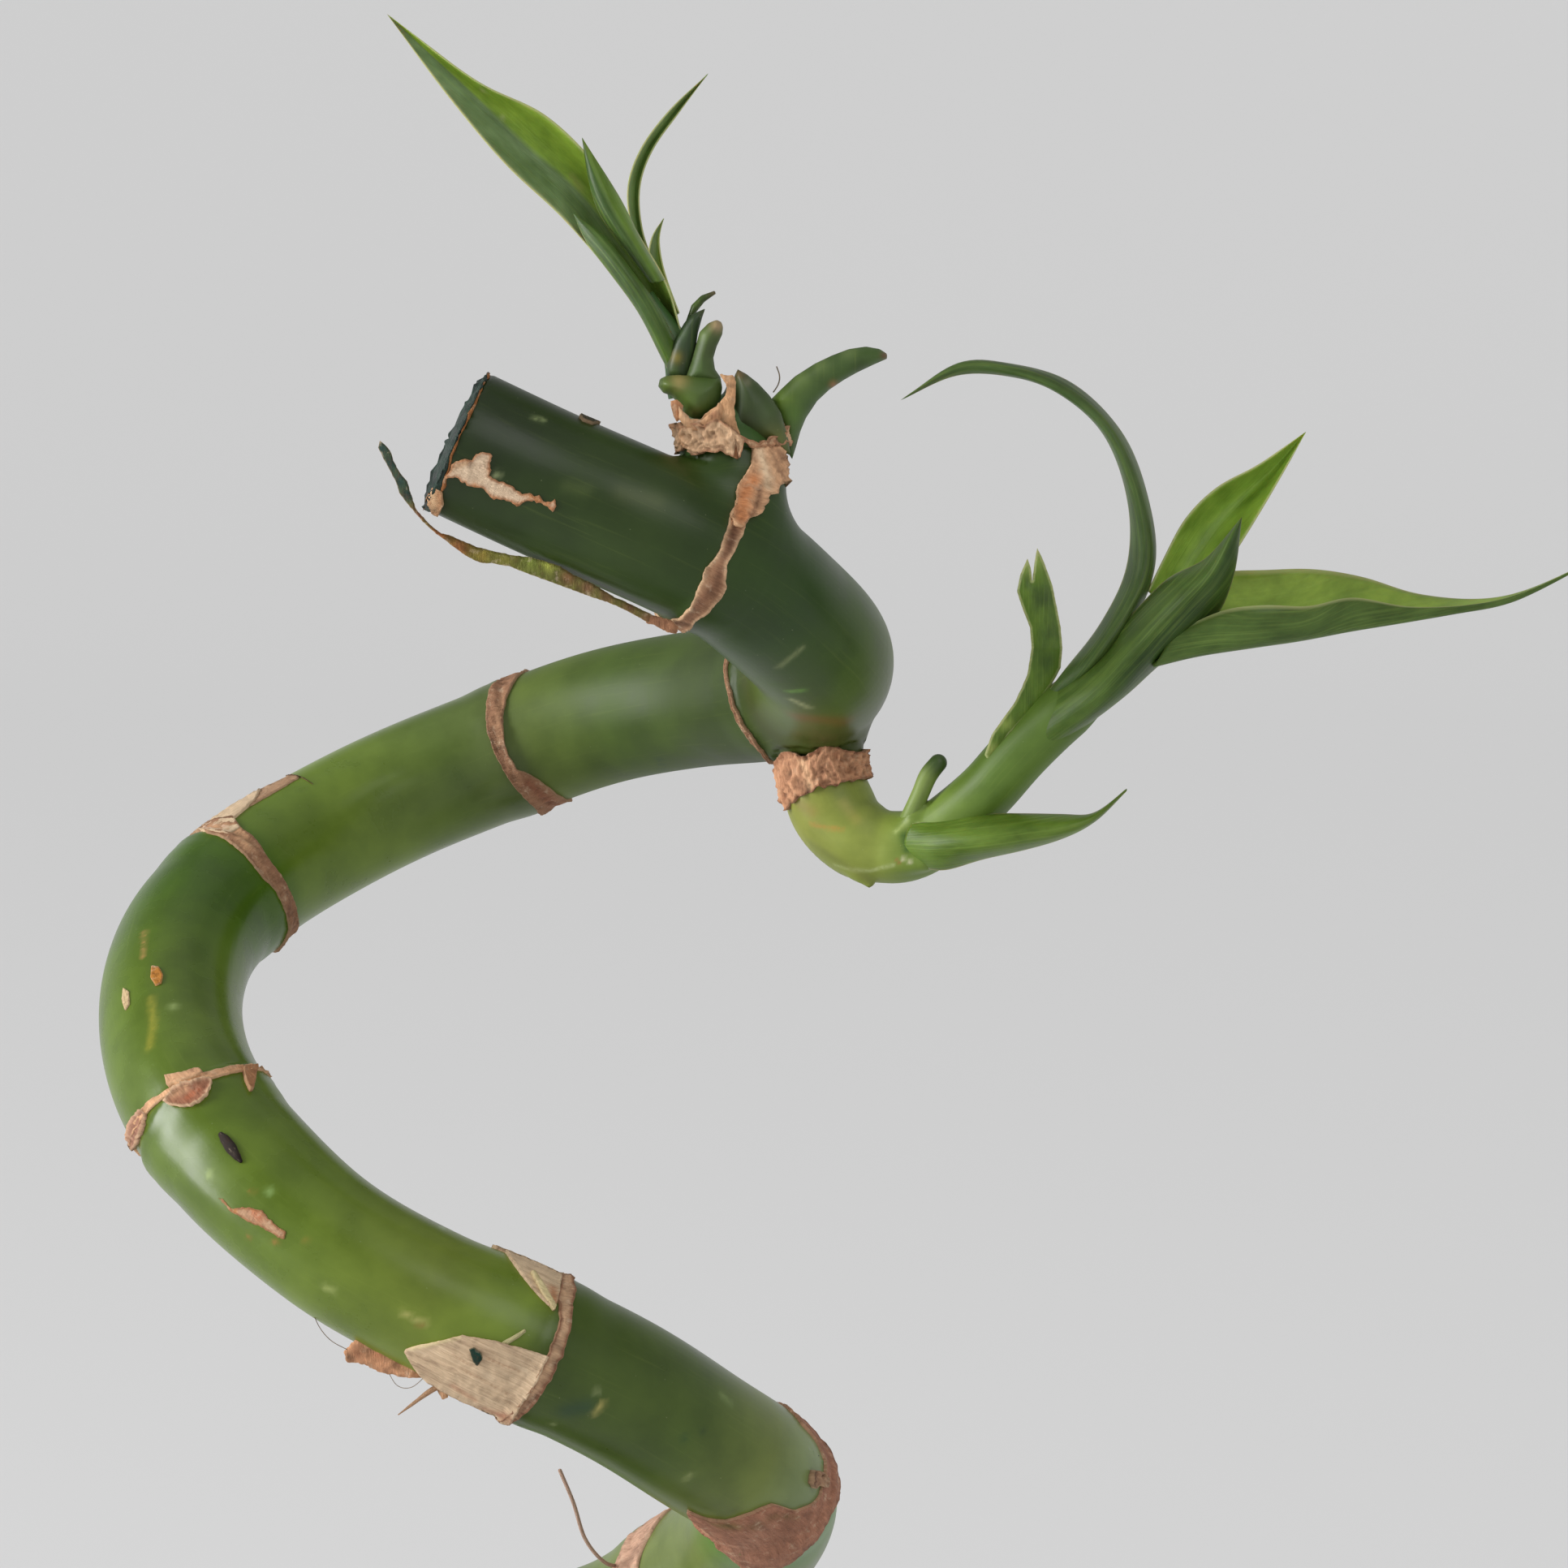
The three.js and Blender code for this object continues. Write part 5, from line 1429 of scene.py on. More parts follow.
def dark_seed_shape(surface):
    """A dark seed that sticks to the cane's left side."""
    seed = Shape()
    spine, normals = surface.all_seen([(u, v) for u, v, _ in SPINE], (184, 225))
    radii = [radius / PIXELS_PER_MM for _, _, radius in SPINE]
    return finger(seed, spine + normals * 0.15, radii, srgb(58, 50, 46), 24, srgb(44, 34, 32))


# ---- Wax ----------------------------------------------------------------------------------------

WAX_COLUMNS = 140
WAX_RADIUS = 7  # of the circle that its lumps are drawn on
WAX_DOME = [  # depth along the cane and radius
    (0.2, 7.38), (0.05, 7.28), (-0.12, 6.9), (-0.3, 6.2), (-0.48, 5.2), (-0.6, 4), (-0.66, 2.4), (-0.68, 0.9),
]
WAX_EDGE = [  # where the wax ends on the bark, in pixels
    (600, 455), (590, 464), (580, 478), (573, 489), (566, 505), (561, 522), (558, 540), (555, 560),
    (551, 578), (546, 597),
]


def wax_edge(surface, angles):
    """How far down the bark the wax reaches at each angle round it."""
    s, angle = traced(surface, WAX_EDGE, 3, 6)
    circle = cylindrical(angles, WAX_RADIUS, 0)
    return round_about(s, angle, angles) + 0.18 * lumps(circle, 1.6, 3.3) + 0.08 * lumps(circle, 0.5, 5.3)


def wax_shape(surface):
    """A lumpy skin of wax over the cut top, with a torn skirt over the cut's edge."""
    angles = round_angles(WAX_COLUMNS)
    skirt = wax_edge(surface, angles)
    rows = [cane_path.around(skirt, angles, CANE_RADIUS - 0.4)]
    for share in (1, 0.8, 0.6, 0.4, 0.2):
        clots = lumps(cylindrical(angles, WAX_RADIUS, skirt * share), 0.9, 2.7)
        thick = 0.06 + 0.1 * np.clip(clots + 0.5, 0, 1)
        rows.append(cane_path.around(skirt * share, angles, CANE_RADIUS + thick))
    for depth, radius in WAX_DOME:
        at = cylindrical(angles, radius, depth)
        bumps = lumps(at, 1.3, 1.7) + 0.6 * lumps(at, 0.5, 4.7)
        teeth = np.clip(lumps(at, 0.8, 9.1) - 0.25, 0, 1)
        rows.append(cane_path.around(depth - 0.9 * teeth + 0.16 * bumps, angles, radius + 0.1 * bumps))
    return Shape().add(np.array(rows), capped_faces(len(rows), WAX_COLUMNS))


def wax_rim_shape(surface):
    """The thin bare edge of bark that shows where the wax ends, as a thread laid along it."""
    columns, sides = 200, 8
    angles = round_angles(columns)
    thick = np.maximum(0.1 + 0.1 * lumps(cylindrical(angles, WAX_RADIUS, 0), 1.2, 8.3), 0.03)[:, None]
    section = round_angles(sides)[None]
    s = (wax_edge(surface, angles) + 0.12)[:, None] + 1.3 * thick * np.cos(section)
    radius = CANE_RADIUS + thick * np.sin(section)
    points = cane_path.around(s, angles[:, None], radius).reshape(-1, 3)
    grain = np.stack([np.repeat(angles * WAX_RADIUS, sides), s.ravel(), radius.ravel()], -1)
    return Shape().add(
        points, joined_faces(columns, sides), tint=srgb(150, 98, 56), grain=grain,
        edge=np.ones(len(grain)))


# ---- Shoots -------------------------------------------------------------------------------------

SHOOT_VOXEL = 0.3
SHOOT_GREEN = srgb(70, 88, 44)
SHOOT_DARK = srgb(48, 66, 38)
PALE_TAN = srgb(176, 150, 112)
# The upper shoot's scales, each with the values of a pillow.
SCALES = {
    "thin": {
        "outline": [
            (845, 396), (852, 376), (864, 364), (881, 358), (882, 362), (868, 372), (860, 382), (853, 392),
            (850, 402),
        ],
        "y": -14.8, "half": 0.5, "rounding": 0.5, "tint": srgb(66, 84, 38),
        "strokes": [((880, 360), 7, srgb(120, 100, 70), 0.8), ((856, 374), 8, srgb(104, 130, 62), 0.5)],
    },
    "dark": {
        "outline": [
            (822, 462), (822, 450), (826, 434), (832, 417), (843, 398), (851, 388), (869, 380), (865, 392),
            (860, 410), (857, 431), (852, 450), (847, 468), (834, 470),
        ],
        "y": -17.6, "half": 1.1, "rounding": 1.3, "tint": SHOOT_DARK,
        "strokes": [
            ((833, 441), 8, srgb(132, 118, 44), 0.7), ((838, 410), 7, srgb(70, 96, 48), 0.6),
            ((866, 384), 5, srgb(80, 84, 44), 0.6), ((829, 456), 8, srgb(78, 100, 44), 0.6),
        ],
    },
    "blunt": {
        "outline": [
            (846, 470), (846, 462), (852, 445), (859, 420), (862, 409), (873, 398), (883, 394), (889, 397),
            (891, 403), (890, 412), (883, 427), (879, 441), (881, 455), (888, 465), (888, 474),
        ],
        "y": -18.2, "half": 1.4, "rounding": 1.7, "tint": SHOOT_GREEN,
        "strokes": [
            ((884, 400), 9, PALE_TAN, 0.85), ((866, 412), 9, srgb(104, 124, 66), 0.6),
            ((880, 430), 9, srgb(60, 70, 40), 0.6), ((862, 455), 12, srgb(70, 96, 44), 0.5),
        ],
    },
    "bowl": {
        "outline": [
            (811, 476), (813, 467), (821, 463), (836, 462), (850, 463), (868, 464), (888, 466), (890, 478),
            (888, 490), (882, 503), (873, 512), (862, 516), (852, 515), (842, 508), (837, 500), (833, 494),
            (826, 487), (817, 484),
        ],
        "y": -18.6, "half": 2.2, "rounding": 2.4, "tint": srgb(72, 92, 38),
        "strokes": [
            ((836, 469), 11, srgb(170, 150, 92), 0.65), ((822, 476), 8, srgb(112, 134, 64), 0.6),
            ((845, 492), 12, srgb(92, 116, 48), 0.6), ((872, 470), 14, srgb(56, 80, 34), 0.5),
            ((858, 510), 8, srgb(120, 116, 60), 0.5),
        ],
    },
    "wedge": {
        "outline": [
            (909, 455), (905, 463), (904, 490), (903, 524), (913, 534), (934, 547), (955, 553), (974, 561),
            (972, 545), (969, 532), (962, 508), (948, 487), (934, 472), (920, 461),
        ],
        "y": -18.4, "half": 1.9, "rounding": 2.4, "tint": srgb(62, 78, 42),
        "strokes": [
            ((955, 545), 20, srgb(100, 104, 48), 0.8), ((921, 471), 5, srgb(130, 126, 100), 0.5),
            ((918, 520), 12, srgb(60, 66, 42), 0.6), ((912, 460), 7, srgb(140, 104, 70), 0.5),
            ((948, 505), 10, srgb(72, 92, 48), 0.5), ((925, 540), 8, srgb(104, 94, 56), 0.6),
        ],
    },
}
HORN = {
    "outline": [
        (950, 492), (962, 480), (979, 464), (1004, 448), (1025, 438), (1046, 430), (1067, 427), (1084, 430),
        (1093, 436), (1093, 442), (1077, 449), (1056, 459), (1040, 468), (1022, 480), (1007, 494),
        (993, 515), (986, 532), (981, 550), (976, 566), (970, 556), (968, 530), (960, 508),
    ],
    "half": 1.4, "rounding": 2.1, "tint": srgb(76, 102, 48),
    # The pale green strokes along its base and upper part are painted light and the dark green ones along its
    # lower side painted shade, which round it; its brown tip and orange notch are its own colour.
    "strokes": [
        ((962, 490), 18, srgb(122, 152, 56), 0.8), ((985, 466), 14, srgb(134, 160, 84), 0.75),
        ((1010, 450), 12, srgb(128, 152, 84), 0.7), ((1045, 434), 10, srgb(116, 138, 78), 0.7),
        ((975, 510), 12, srgb(90, 124, 44), 0.6), ((1090, 438), 5, srgb(110, 76, 56), 0.9),
        ((1027, 474), 5, srgb(170, 112, 70), 0.8), ((980, 552), 10, srgb(60, 70, 40), 0.6),
        ((1060, 450), 10, srgb(58, 76, 38), 0.5), ((1000, 500), 9, srgb(56, 80, 36), 0.6),
    ],
}


def horn_y(u, v):
    """The horn leans back from its root to its tip."""
    root, tip = 960, 1093
    return -14.3 + 7.0 * (np.clip(u, root, tip) - root) / (tip - root)


UPPER_CORE = [
    ([[25.1, -17.1, 297.6], [25.6, -16.2, 301.2], [25.6, -15.7, 304.4]], [[0, 4.7], [0.45, 3.4], [1, 1.2]]),
    ([[22.8, -17, 298.4], [22, -16.6, 301.8]], [[0, 3.2], [1, 2.2]]),
    (
        [[20.6, -15.6, 303.2], [19.4, -15.2, 307.7], [18.1, -14.9, 310.4], [16.6, -15, 312.9]],
        [[0, 2], [0.4, 1.5], [1, 0.7]],
    ),
]
LOWER_SHOOT = [
    (
        [
            [33.7, 5.3, 263.8], [34, 5, 261.7], [35, 4.6, 258.8], [37.1, 3.1, 256.2], [40.4, 1.9, 255.1],
            [43.7, 1, 255.6], [46.9, -0.2, 257.8], [50.7, -1.6, 261.5], [53.9, -3, 265.5],
            [57.9, -4.8, 269.8], [61.6, -6.8, 273.3], [64.6, -8.4, 276.1],
        ],
        [
            [0, 4.2], [0.11, 4.5], [0.2, 4.2], [0.28, 3.75], [0.44, 3.2], [0.57, 3.05], [0.8, 3],
            [0.92, 2.3], [1, 1.2],
        ],
    ),
    ([[36, 2, 255.6], [37.6, 0.6, 253], [39, 0, 251.3]], [[0, 1.6], [0.6, 1.1], [1, 0.35]]),
    ([[41.2, -0.6, 254.6], [43.8, -1.8, 254.4], [46.5, -2.6, 254.9]], [[0, 1.5], [0.6, 1.2], [1, 0.5]]),
    ([[42.6, -0.2, 256.6], [43.4, -0.8, 258.8], [44, -0.9, 260.2]], [[0, 1.8], [0.5, 1.1], [1, 0.6]]),
]
upper_shoot_tint = along([[297, srgb(70, 100, 45)], [304, srgb(58, 92, 42)], [313, srgb(60, 96, 44)]])
lower_shoot_tint = along([
    [30, srgb(142, 146, 62)], [38, srgb(132, 144, 62)], [44, srgb(112, 136, 54)], [52, srgb(90, 118, 42)],
    [66, srgb(76, 102, 36)],
])


def upper_shoot_shape():
    """Thick scales on a core, and a wedge between the scales and the horn-shaped leaf."""
    core = shoot_shape(UPPER_CORE, 0.5, upper_shoot_tint, 2)
    core.values["edge"] = np.ones(len(core.points))
    for i, spec in enumerate(SCALES.values()):
        pillow(core, **spec, seed=50 + i, spacing=2.6)
    return core.dulled(0.02)


def horn_shape():
    horn = Shape()
    pillow(horn, y=horn_y, **HORN, seed=56, spacing=2.6)
    return horn.dulled(0.04)


def shoot_shape(limbs, blend, tint_at, axis):
    """Limbs that grow into one another, tinted along an axis of the frame."""
    limbs = [Limb(route, radii) for route, radii in limbs]
    skin, quads = remeshed([limb.closed() for limb in limbs], SHOOT_VOXEL)
    skin = drawn_onto(skin, lambda points: blended([limb.depth(points) for limb in limbs], blend))
    s, angle, _ = limbs[0].path.locate(skin)
    grain = cylindrical(angle, 4, s)
    return Shape().add(skin, quads, tint=tint_at(skin[:, axis]), grain=grain, dull=np.full(len(skin), 0.06))


LOWER_STROKES = [
    ([(999, 1015), (1018, 1020), (1038, 1022)], 0.2, srgb(186, 130, 56), 0.7),
    ([(1029, 1066), (1050, 1072), (1072, 1073), (1100, 1066)], 0.22, srgb(196, 204, 150), 0.5),
    ([(985, 990), (1000, 1000)], 0.7, srgb(150, 130, 60), 0.6),
    ([(1040, 990), (1055, 1010)], 0.6, srgb(170, 160, 80), 0.5),
    ([(1114, 1030), (1118, 1046)], 0.5, srgb(60, 96, 34), 0.9),
    ([(1113, 1058), (1121, 1062)], 0.22, srgb(220, 214, 180), 0.9),
    ([(1105, 1060), (1108, 1063)], 0.18, srgb(150, 110, 60), 0.8),
    ([(1130, 1016), (1148, 1046)], 0.22, srgb(196, 206, 150), 0.7),
    ([(1118, 1012), (1104, 1024)], 0.25, srgb(180, 196, 120), 0.6),
    ([(1000, 1040), (1060, 1078), (1080, 1094)], 0.5, srgb(120, 126, 60), 0.6),
]
STUB_STOPS = [
    (1112, 1022, 0.5, 9), (1122, 1004, -0.6, 11), (1134, 978, -0.9, 11), (1144, 955, -0.8, 11.5),
    (1156, 940, -0.8, 11),
]


def lower_shoot_shape():
    """The elbow and stem of the lower shoot, with the stub of a cut leaf on it."""
    shape = shoot_shape(LOWER_SHOOT, 0.8, lower_shoot_tint, 0)
    shape.stroke(LOWER_STROKES, Surface(shape))
    stub = Shape()
    seen_finger(stub, STUB_STOPS, srgb(126, 146, 76), tip_tint=srgb(66, 88, 42), sides=32)
    return shape.add(stub.points, stub.faces, **stub.dulled(0.06).values)


# ---- Leaves -------------------------------------------------------------------------------------

# left, rib and right are the points of a blade's two edges and of its midrib, from its foot to its tip. tints
# are the colours of its left and right halves, and foot the colour that both start with.
LEAVES = {
    "upper_leaf_spear": {
        "left": [
            [18.2, -16.2, 307.1], [16, -15.5, 311.5], [12.4, -15.3, 315.9], [8.1, -15, 320.7],
            [3, -15.3, 325.5], [-2.1, -15.3, 331.5], [-8.5, -16, 340.1],
        ],
        "rib": [
            [19.1, -13.5, 307.9], [17.2, -12.3, 312.4], [13.9, -11.5, 317.4], [9.9, -11.1, 322.7],
            [4.8, -11.9, 327.3], [-0.2, -13.2, 332.2], [-8.5, -16, 340.1],
        ],
        "right": [
            [20.1, -15.9, 308.5], [18.6, -15.1, 313.8], [15.7, -14.3, 318.8], [11.9, -13.8, 325.1],
            [6.7, -14, 330.3], [0.3, -15, 333.5], [-8.5, -16, 340.1],
        ],
        # The left half's pale grey-green is its duller face with a painted sheen added over it.
        "tints": [srgb(116, 140, 94), srgb(138, 170, 56)], "foot": srgb(104, 132, 50),
        "strokes": [
            ([(596, 112)], 0.3, srgb(190, 190, 130), 0.7), ([(619, 145)], 0.25, srgb(180, 186, 130), 0.6),
            ([(650, 131)], 0.3, srgb(180, 176, 96), 0.6),
            ([(706, 218), (716, 232)], 0.35, srgb(176, 180, 96), 0.6),
        ],
    },
    "upper_leaf_outer": {
        "left": [
            [19.6, -16.6, 304], [18.2, -16.8, 306.6], [15.8, -17.6, 311.4], [12.8, -17.3, 315.5],
            [10.7, -16.4, 318.2], [9.4, -15.5, 320.9],
        ],
        "rib": [
            [20.2, -17.2, 304.2], [19, -17.8, 307.1], [16.7, -18.8, 312], [13.9, -18.3, 316.1],
            [11.6, -16.9, 318.8], [9.4, -15.5, 320.9],
        ],
        "right": [
            [21, -16.2, 304.6], [19.7, -16.6, 307.7], [17.5, -17.6, 312.2], [14.9, -17.3, 315.7],
            [12.3, -16.3, 318.8], [9.4, -15.5, 320.9],
        ],
        "tints": [srgb(70, 94, 46), srgb(72, 98, 42)], "foot": srgb(78, 104, 40),
    },
    "upper_leaf_inner": {
        "left": [
            [16.8, -16, 314.4], [14.1, -15.9, 318], [11.9, -15.9, 321.1], [10.8, -15.3, 325],
            [10.3, -14.8, 328.2],
        ],
        "rib": [
            [17.5, -17.5, 314.3], [15.1, -17.4, 318.2], [12.9, -16.9, 321.8], [11.4, -15.9, 325],
            [10.3, -14.8, 328.2],
        ],
        "right": [
            [18.3, -16, 314.4], [16, -15.4, 318.3], [14.1, -15.3, 322.1], [12.2, -15.3, 325.2],
            [10.3, -14.8, 328.2],
        ],
        "tints": [srgb(60, 85, 35), srgb(100, 130, 46)],
    },
    "upper_leaf_arched": {
        "left": [
            [16.7, -11, 313.7], [15, -9.2, 318.8], [14.5, -7.5, 323], [15.7, -4.9, 326.7],
            [18.4, -2.3, 330.4], [22.4, 1.3, 334.2],
        ],
        "rib": [
            [17.1, -8.5, 313.6], [15.3, -6.7, 318.5], [14.9, -5, 322.9], [16, -2.4, 326.5],
            [18.8, -0.3, 330.2], [22.4, 1.3, 334.2],
        ],
        "right": [
            [17.8, -8.5, 314], [16, -7.2, 318.5], [15.6, -5.5, 322.9], [16.8, -2.9, 326.6],
            [19.5, -0.8, 330.4], [22.4, 1.3, 334.2],
        ],
        "tints": [srgb(108, 134, 74), srgb(94, 122, 56)],
    },
    "upper_leaf_tongue": {
        "left": [
            [18.2, -13.5, 311.1], [17, -12, 314.2], [16.6, -10.6, 316.3], [17, -9.3, 318.5],
            [18.1, -8, 320.1],
        ],
        "rib": [
            [19.1, -11, 310.7], [17.8, -9.6, 313.9], [17.3, -8.4, 316.2], [17.3, -8.3, 318.4],
            [18.1, -8, 320.1],
        ],
        "right": [
            [19.6, -11.5, 311], [18.4, -10, 314.1], [17.8, -8.6, 316.2], [17.6, -8.3, 318.2],
            [18.1, -8, 320.1],
        ],
        "tints": [srgb(92, 118, 48), srgb(128, 150, 62)],
    },
    "lower_leaf_clasping": {
        "left": [
            [54.6, -4.5, 269], [58.8, -7.1, 274.6], [62.2, -7.2, 277.3], [65.4, -7.6, 280.9],
            [68.6, -8.1, 284.2], [72.1, -9.3, 286.2], [75.5, -11.7, 290.7],
        ],
        "rib": [
            [56.2, -6.6, 267.6], [61.6, -11, 272.6], [64.7, -11.9, 276.1], [67.5, -12.4, 279.4],
            [70.1, -13, 282.3], [72.8, -13, 285.3], [75.5, -11.7, 290.7],
        ],
        "right": [
            [57.4, -4.5, 266.3], [64.5, -7.5, 272.3], [67.5, -7.5, 275.1], [70.5, -8.2, 277.7],
            [73.2, -9.3, 280.3], [74.8, -10.6, 284.5], [75.5, -11.7, 290.7],
        ],
        "tints": [srgb(70, 95, 34), srgb(48, 72, 24)], "foot": srgb(80, 106, 38),
    },
    "lower_leaf_long": {
        "left": [
            [68.9, -5, 281.6], [73.9, -3.6, 284.1], [78.9, -3, 284.4], [84, -1.5, 284.3], [89, -0.7, 283.4],
            [94.9, -0.4, 281.6], [103.4, 1, 281.2], [115.3, 5.7, 285.3],
        ],
        "rib": [
            [66.9, -10, 275.8], [70.9, -10.8, 276.9], [76.6, -10.7, 277.8], [83.2, -9, 278.6],
            [90.1, -6.4, 279.4], [97.8, -3.2, 280.2], [104, -0.5, 281], [115.3, 5.7, 285.3],
        ],
        "right": [
            [68.8, -11.5, 279.1], [74, -12.1, 281.5], [78, -12.5, 282], [82.2, -11.1, 281.7],
            [87, -7.9, 282.2], [93.5, -5.1, 280.9], [103.1, -1, 281.2], [115.3, 5.7, 285.3],
        ],
        "tints": [srgb(132, 160, 58), srgb(78, 103, 42)],
    },
    "lower_leaf_upright": {
        "left": [
            [66.8, -4.8, 282.5], [68.5, -3.3, 285.7], [70.8, -1.7, 289.6], [74.1, -0.2, 292.6],
            [78.3, 1.1, 294.7], [83.3, 2.7, 298],
        ],
        "rib": [
            [69, -3.6, 281], [70.9, -1.6, 284], [73.8, 0.6, 288], [76.8, 2.1, 291], [80.1, 2.6, 294.2],
            [83.3, 2.7, 298],
        ],
        "right": [
            [71.2, -6.1, 281], [73.8, -4.6, 283.8], [76.3, -3.1, 287.3], [78.7, -1.5, 290.9],
            [81, 0.6, 294.4], [83.3, 2.7, 298],
        ],
        "tints": [srgb(138, 172, 64), srgb(128, 162, 54)],
    },
    "lower_leaf_curled": {
        "left": [
            [56, -5, 271.2], [58.2, -7.1, 274.6], [61.9, -5.4, 279.1], [64.7, -3.5, 284.7],
            [64.9, -2, 291.1], [62.3, -0.4, 298.2], [57.3, 1.3, 302.4], [52.7, 2.6, 303.7],
            [47.7, 3.6, 303.7], [41.9, 3.7, 301.1],
        ],
        "rib": [
            [57.5, -6, 271.5], [60.9, -9.4, 275.9], [64.2, -7.7, 280.4], [66.3, -6, 285], [65.9, -4.5, 291],
            [62.8, -2.8, 298.6], [57.5, -0.1, 302.9], [52.6, 1.7, 304.4], [47.9, 2.9, 304.6],
            [41.9, 3.7, 301.1],
        ],
        "right": [
            [59.5, -4.5, 272.5], [63.1, -6.3, 276.8], [66.2, -5.1, 281.2], [67.6, -3.4, 285.5],
            [67.1, -2, 290.7], [64.5, 0.1, 297.8], [59.1, 2, 303.1], [52.8, 3.2, 304.9], [48.1, 3.8, 305],
            [41.9, 3.7, 301.1],
        ],
        "tints": [srgb(72, 96, 46), srgb(68, 90, 40)],
    },
    "lower_leaf_low": {
        "left": [
            [43.2, -2, 258.2], [45.3, -2.6, 258.5], [49.4, -3.5, 259.4], [54.3, -4.9, 259.7],
            [58.4, -5.9, 259.8], [61.2, -6.9, 260], [64.7, -7, 262.6],
        ],
        "rib": [
            [42.5, -2.2, 256.2], [45.4, -5.0, 256.6], [49.7, -7.3, 257.3], [54.3, -8.2, 258.1],
            [58.4, -8.4, 258.8], [61.4, -7.9, 259.8], [64.7, -7, 262.6],
        ],
        "right": [
            [43.2, -1.4, 253.9], [46.1, -3.4, 253.6], [50.2, -4.2, 254.9], [54.8, -5.5, 256.2],
            [58.5, -6.3, 257.5], [61.6, -7, 259.3], [64.7, -7, 262.4],
        ],
        "tints": [srgb(90, 116, 38), srgb(92, 118, 40)],
    },
}
SMALL_LEAF_DEPTHS = [(690, -3.6), (800, -6), (900, -5.1), (930, -4.2)]  # v and y
SMALL_LEAF = {
    "half": 0.4, "tint": srgb(84, 112, 32), "seed": 41, "rounding": 1.2, "spacing": 2.2, "jag": 0.3,
    "outline": [
        (1278, 675), (1283, 685), (1288, 697), (1297, 722), (1307, 773), (1309, 798), (1307, 823),
        (1295, 845), (1280, 866), (1262, 885), (1244, 905), (1230, 925), (1220, 940), (1213, 930),
        (1222, 905), (1236, 885), (1250, 866), (1260, 845), (1266, 830), (1271, 798), (1269, 773),
        (1260, 750), (1253, 729), (1257, 708), (1266, 688), (1270, 700), (1272, 716), (1274, 697),
    ],
    "strokes": [
        ((1278, 690), 10, srgb(150, 170, 84), 0.8), ((1264, 702), 8, srgb(130, 152, 70), 0.8),
        ((1284, 740), 9, srgb(56, 80, 22), 0.7), ((1292, 780), 9, srgb(60, 84, 24), 0.7),
        ((1290, 815), 9, srgb(66, 92, 26), 0.6), ((1262, 728), 7, srgb(110, 140, 50), 0.7),
        ((1240, 892), 9, srgb(150, 168, 80), 0.7), ((1222, 925), 9, srgb(160, 170, 90), 0.7),
    ],
}
STRIP_DEPTHS = [  # x and y
    (-10, -19.4), (-9.4, -19.3), (-7.4, -21.8), (-6, -23.3), (-3.7, -22.9), (-2.1, -22.4), (0.1, -22.4),
    (4.4, -23), (8.3, -23.7), (12.3, -23.8), (17, -23.5),
]
STRIP = {
    "half": 0.3, "tint": srgb(88, 92, 40), "seed": 40, "rounding": 0.35, "spacing": 2.2, "jag": 0.7,
    "waves": 0.12,
    "outline": [
        (468, 543), (473, 547), (481, 556), (485, 568), (492, 581), (502, 594), (505, 604), (509, 617),
        (513, 628), (523, 639), (533, 649), (543, 657), (552, 659), (569, 666), (588, 674), (612, 680),
        (631, 684), (650, 686), (667, 690), (689, 697), (708, 709), (732, 720), (756, 735), (780, 746),
        (803, 757), (800, 768), (775, 754), (751, 743), (727, 735), (698, 724), (670, 714), (650, 707),
        (631, 699), (607, 694), (593, 694), (578, 687), (559, 674), (545, 663), (532, 653), (521, 643),
        (510, 630), (501, 620), (492, 607), (487, 592), (481, 580), (473, 566), (466, 552),
    ],
    "strokes": [
        ((470, 552), 16, srgb(24, 48, 42), 1), ((482, 572), 16, srgb(20, 44, 38), 1),
        ((493, 592), 16, srgb(26, 52, 44), 1), ((503, 610), 13, srgb(20, 44, 38), 1),
        ((516, 634), 12, srgb(112, 74, 58), 0.9), ((540, 658), 14, srgb(150, 92, 56), 0.9),
        ((566, 676), 16, srgb(134, 84, 48), 0.9), ((592, 684), 14, srgb(132, 116, 48), 0.9),
        ((584, 690), 8, srgb(96, 92, 40), 0.7), ((620, 690), 16, srgb(112, 108, 44), 0.8),
        ((655, 692), 10, srgb(112, 126, 48), 0.8), ((676, 697), 8, srgb(150, 158, 68), 0.9),
        ((700, 712), 10, srgb(126, 88, 60), 0.8), ((724, 724), 10, srgb(120, 84, 62), 0.8),
        ((748, 736), 10, srgb(128, 96, 66), 0.8), ((775, 750), 12, srgb(110, 84, 54), 0.8),
        ((798, 762), 10, srgb(120, 88, 62), 0.9),
    ],
}


def strip_y(u, v):
    """The dried strip's depth, by how far right it is."""
    places, depths = zip(*STRIP_DEPTHS)
    return np.interp(spot(u, v, -22.5)[0], places, depths)


def strip_shape():
    """A dried strip of sheath under the cut top, with wax on its end."""
    shape = Shape()
    pillow(shape, y=strip_y, **STRIP)
    return shape


def small_leaf_y(u, v):
    """The small leaf's depth, by how far down the picture it is."""
    rows, depths = zip(*SMALL_LEAF_DEPTHS)
    return np.interp(v, rows, depths)


def small_leaf_shape():
    """The small leaf that clasps the stem, split into two lobes at its tip."""
    shape = Shape()
    pillow(shape, y=small_leaf_y, **SMALL_LEAF)
    gap = shape.values.pop("edge")
    shape.values["margin"] = np.clip(1.04 - gap * 0.3, 0, 1)
    shape.values["grain"] = shape.points[:, [0, 2, 1]]
    return shape


BLADE_ROWS = 90
BLADE_COLUMNS = 21
BLADE_THICKNESS = 0.5


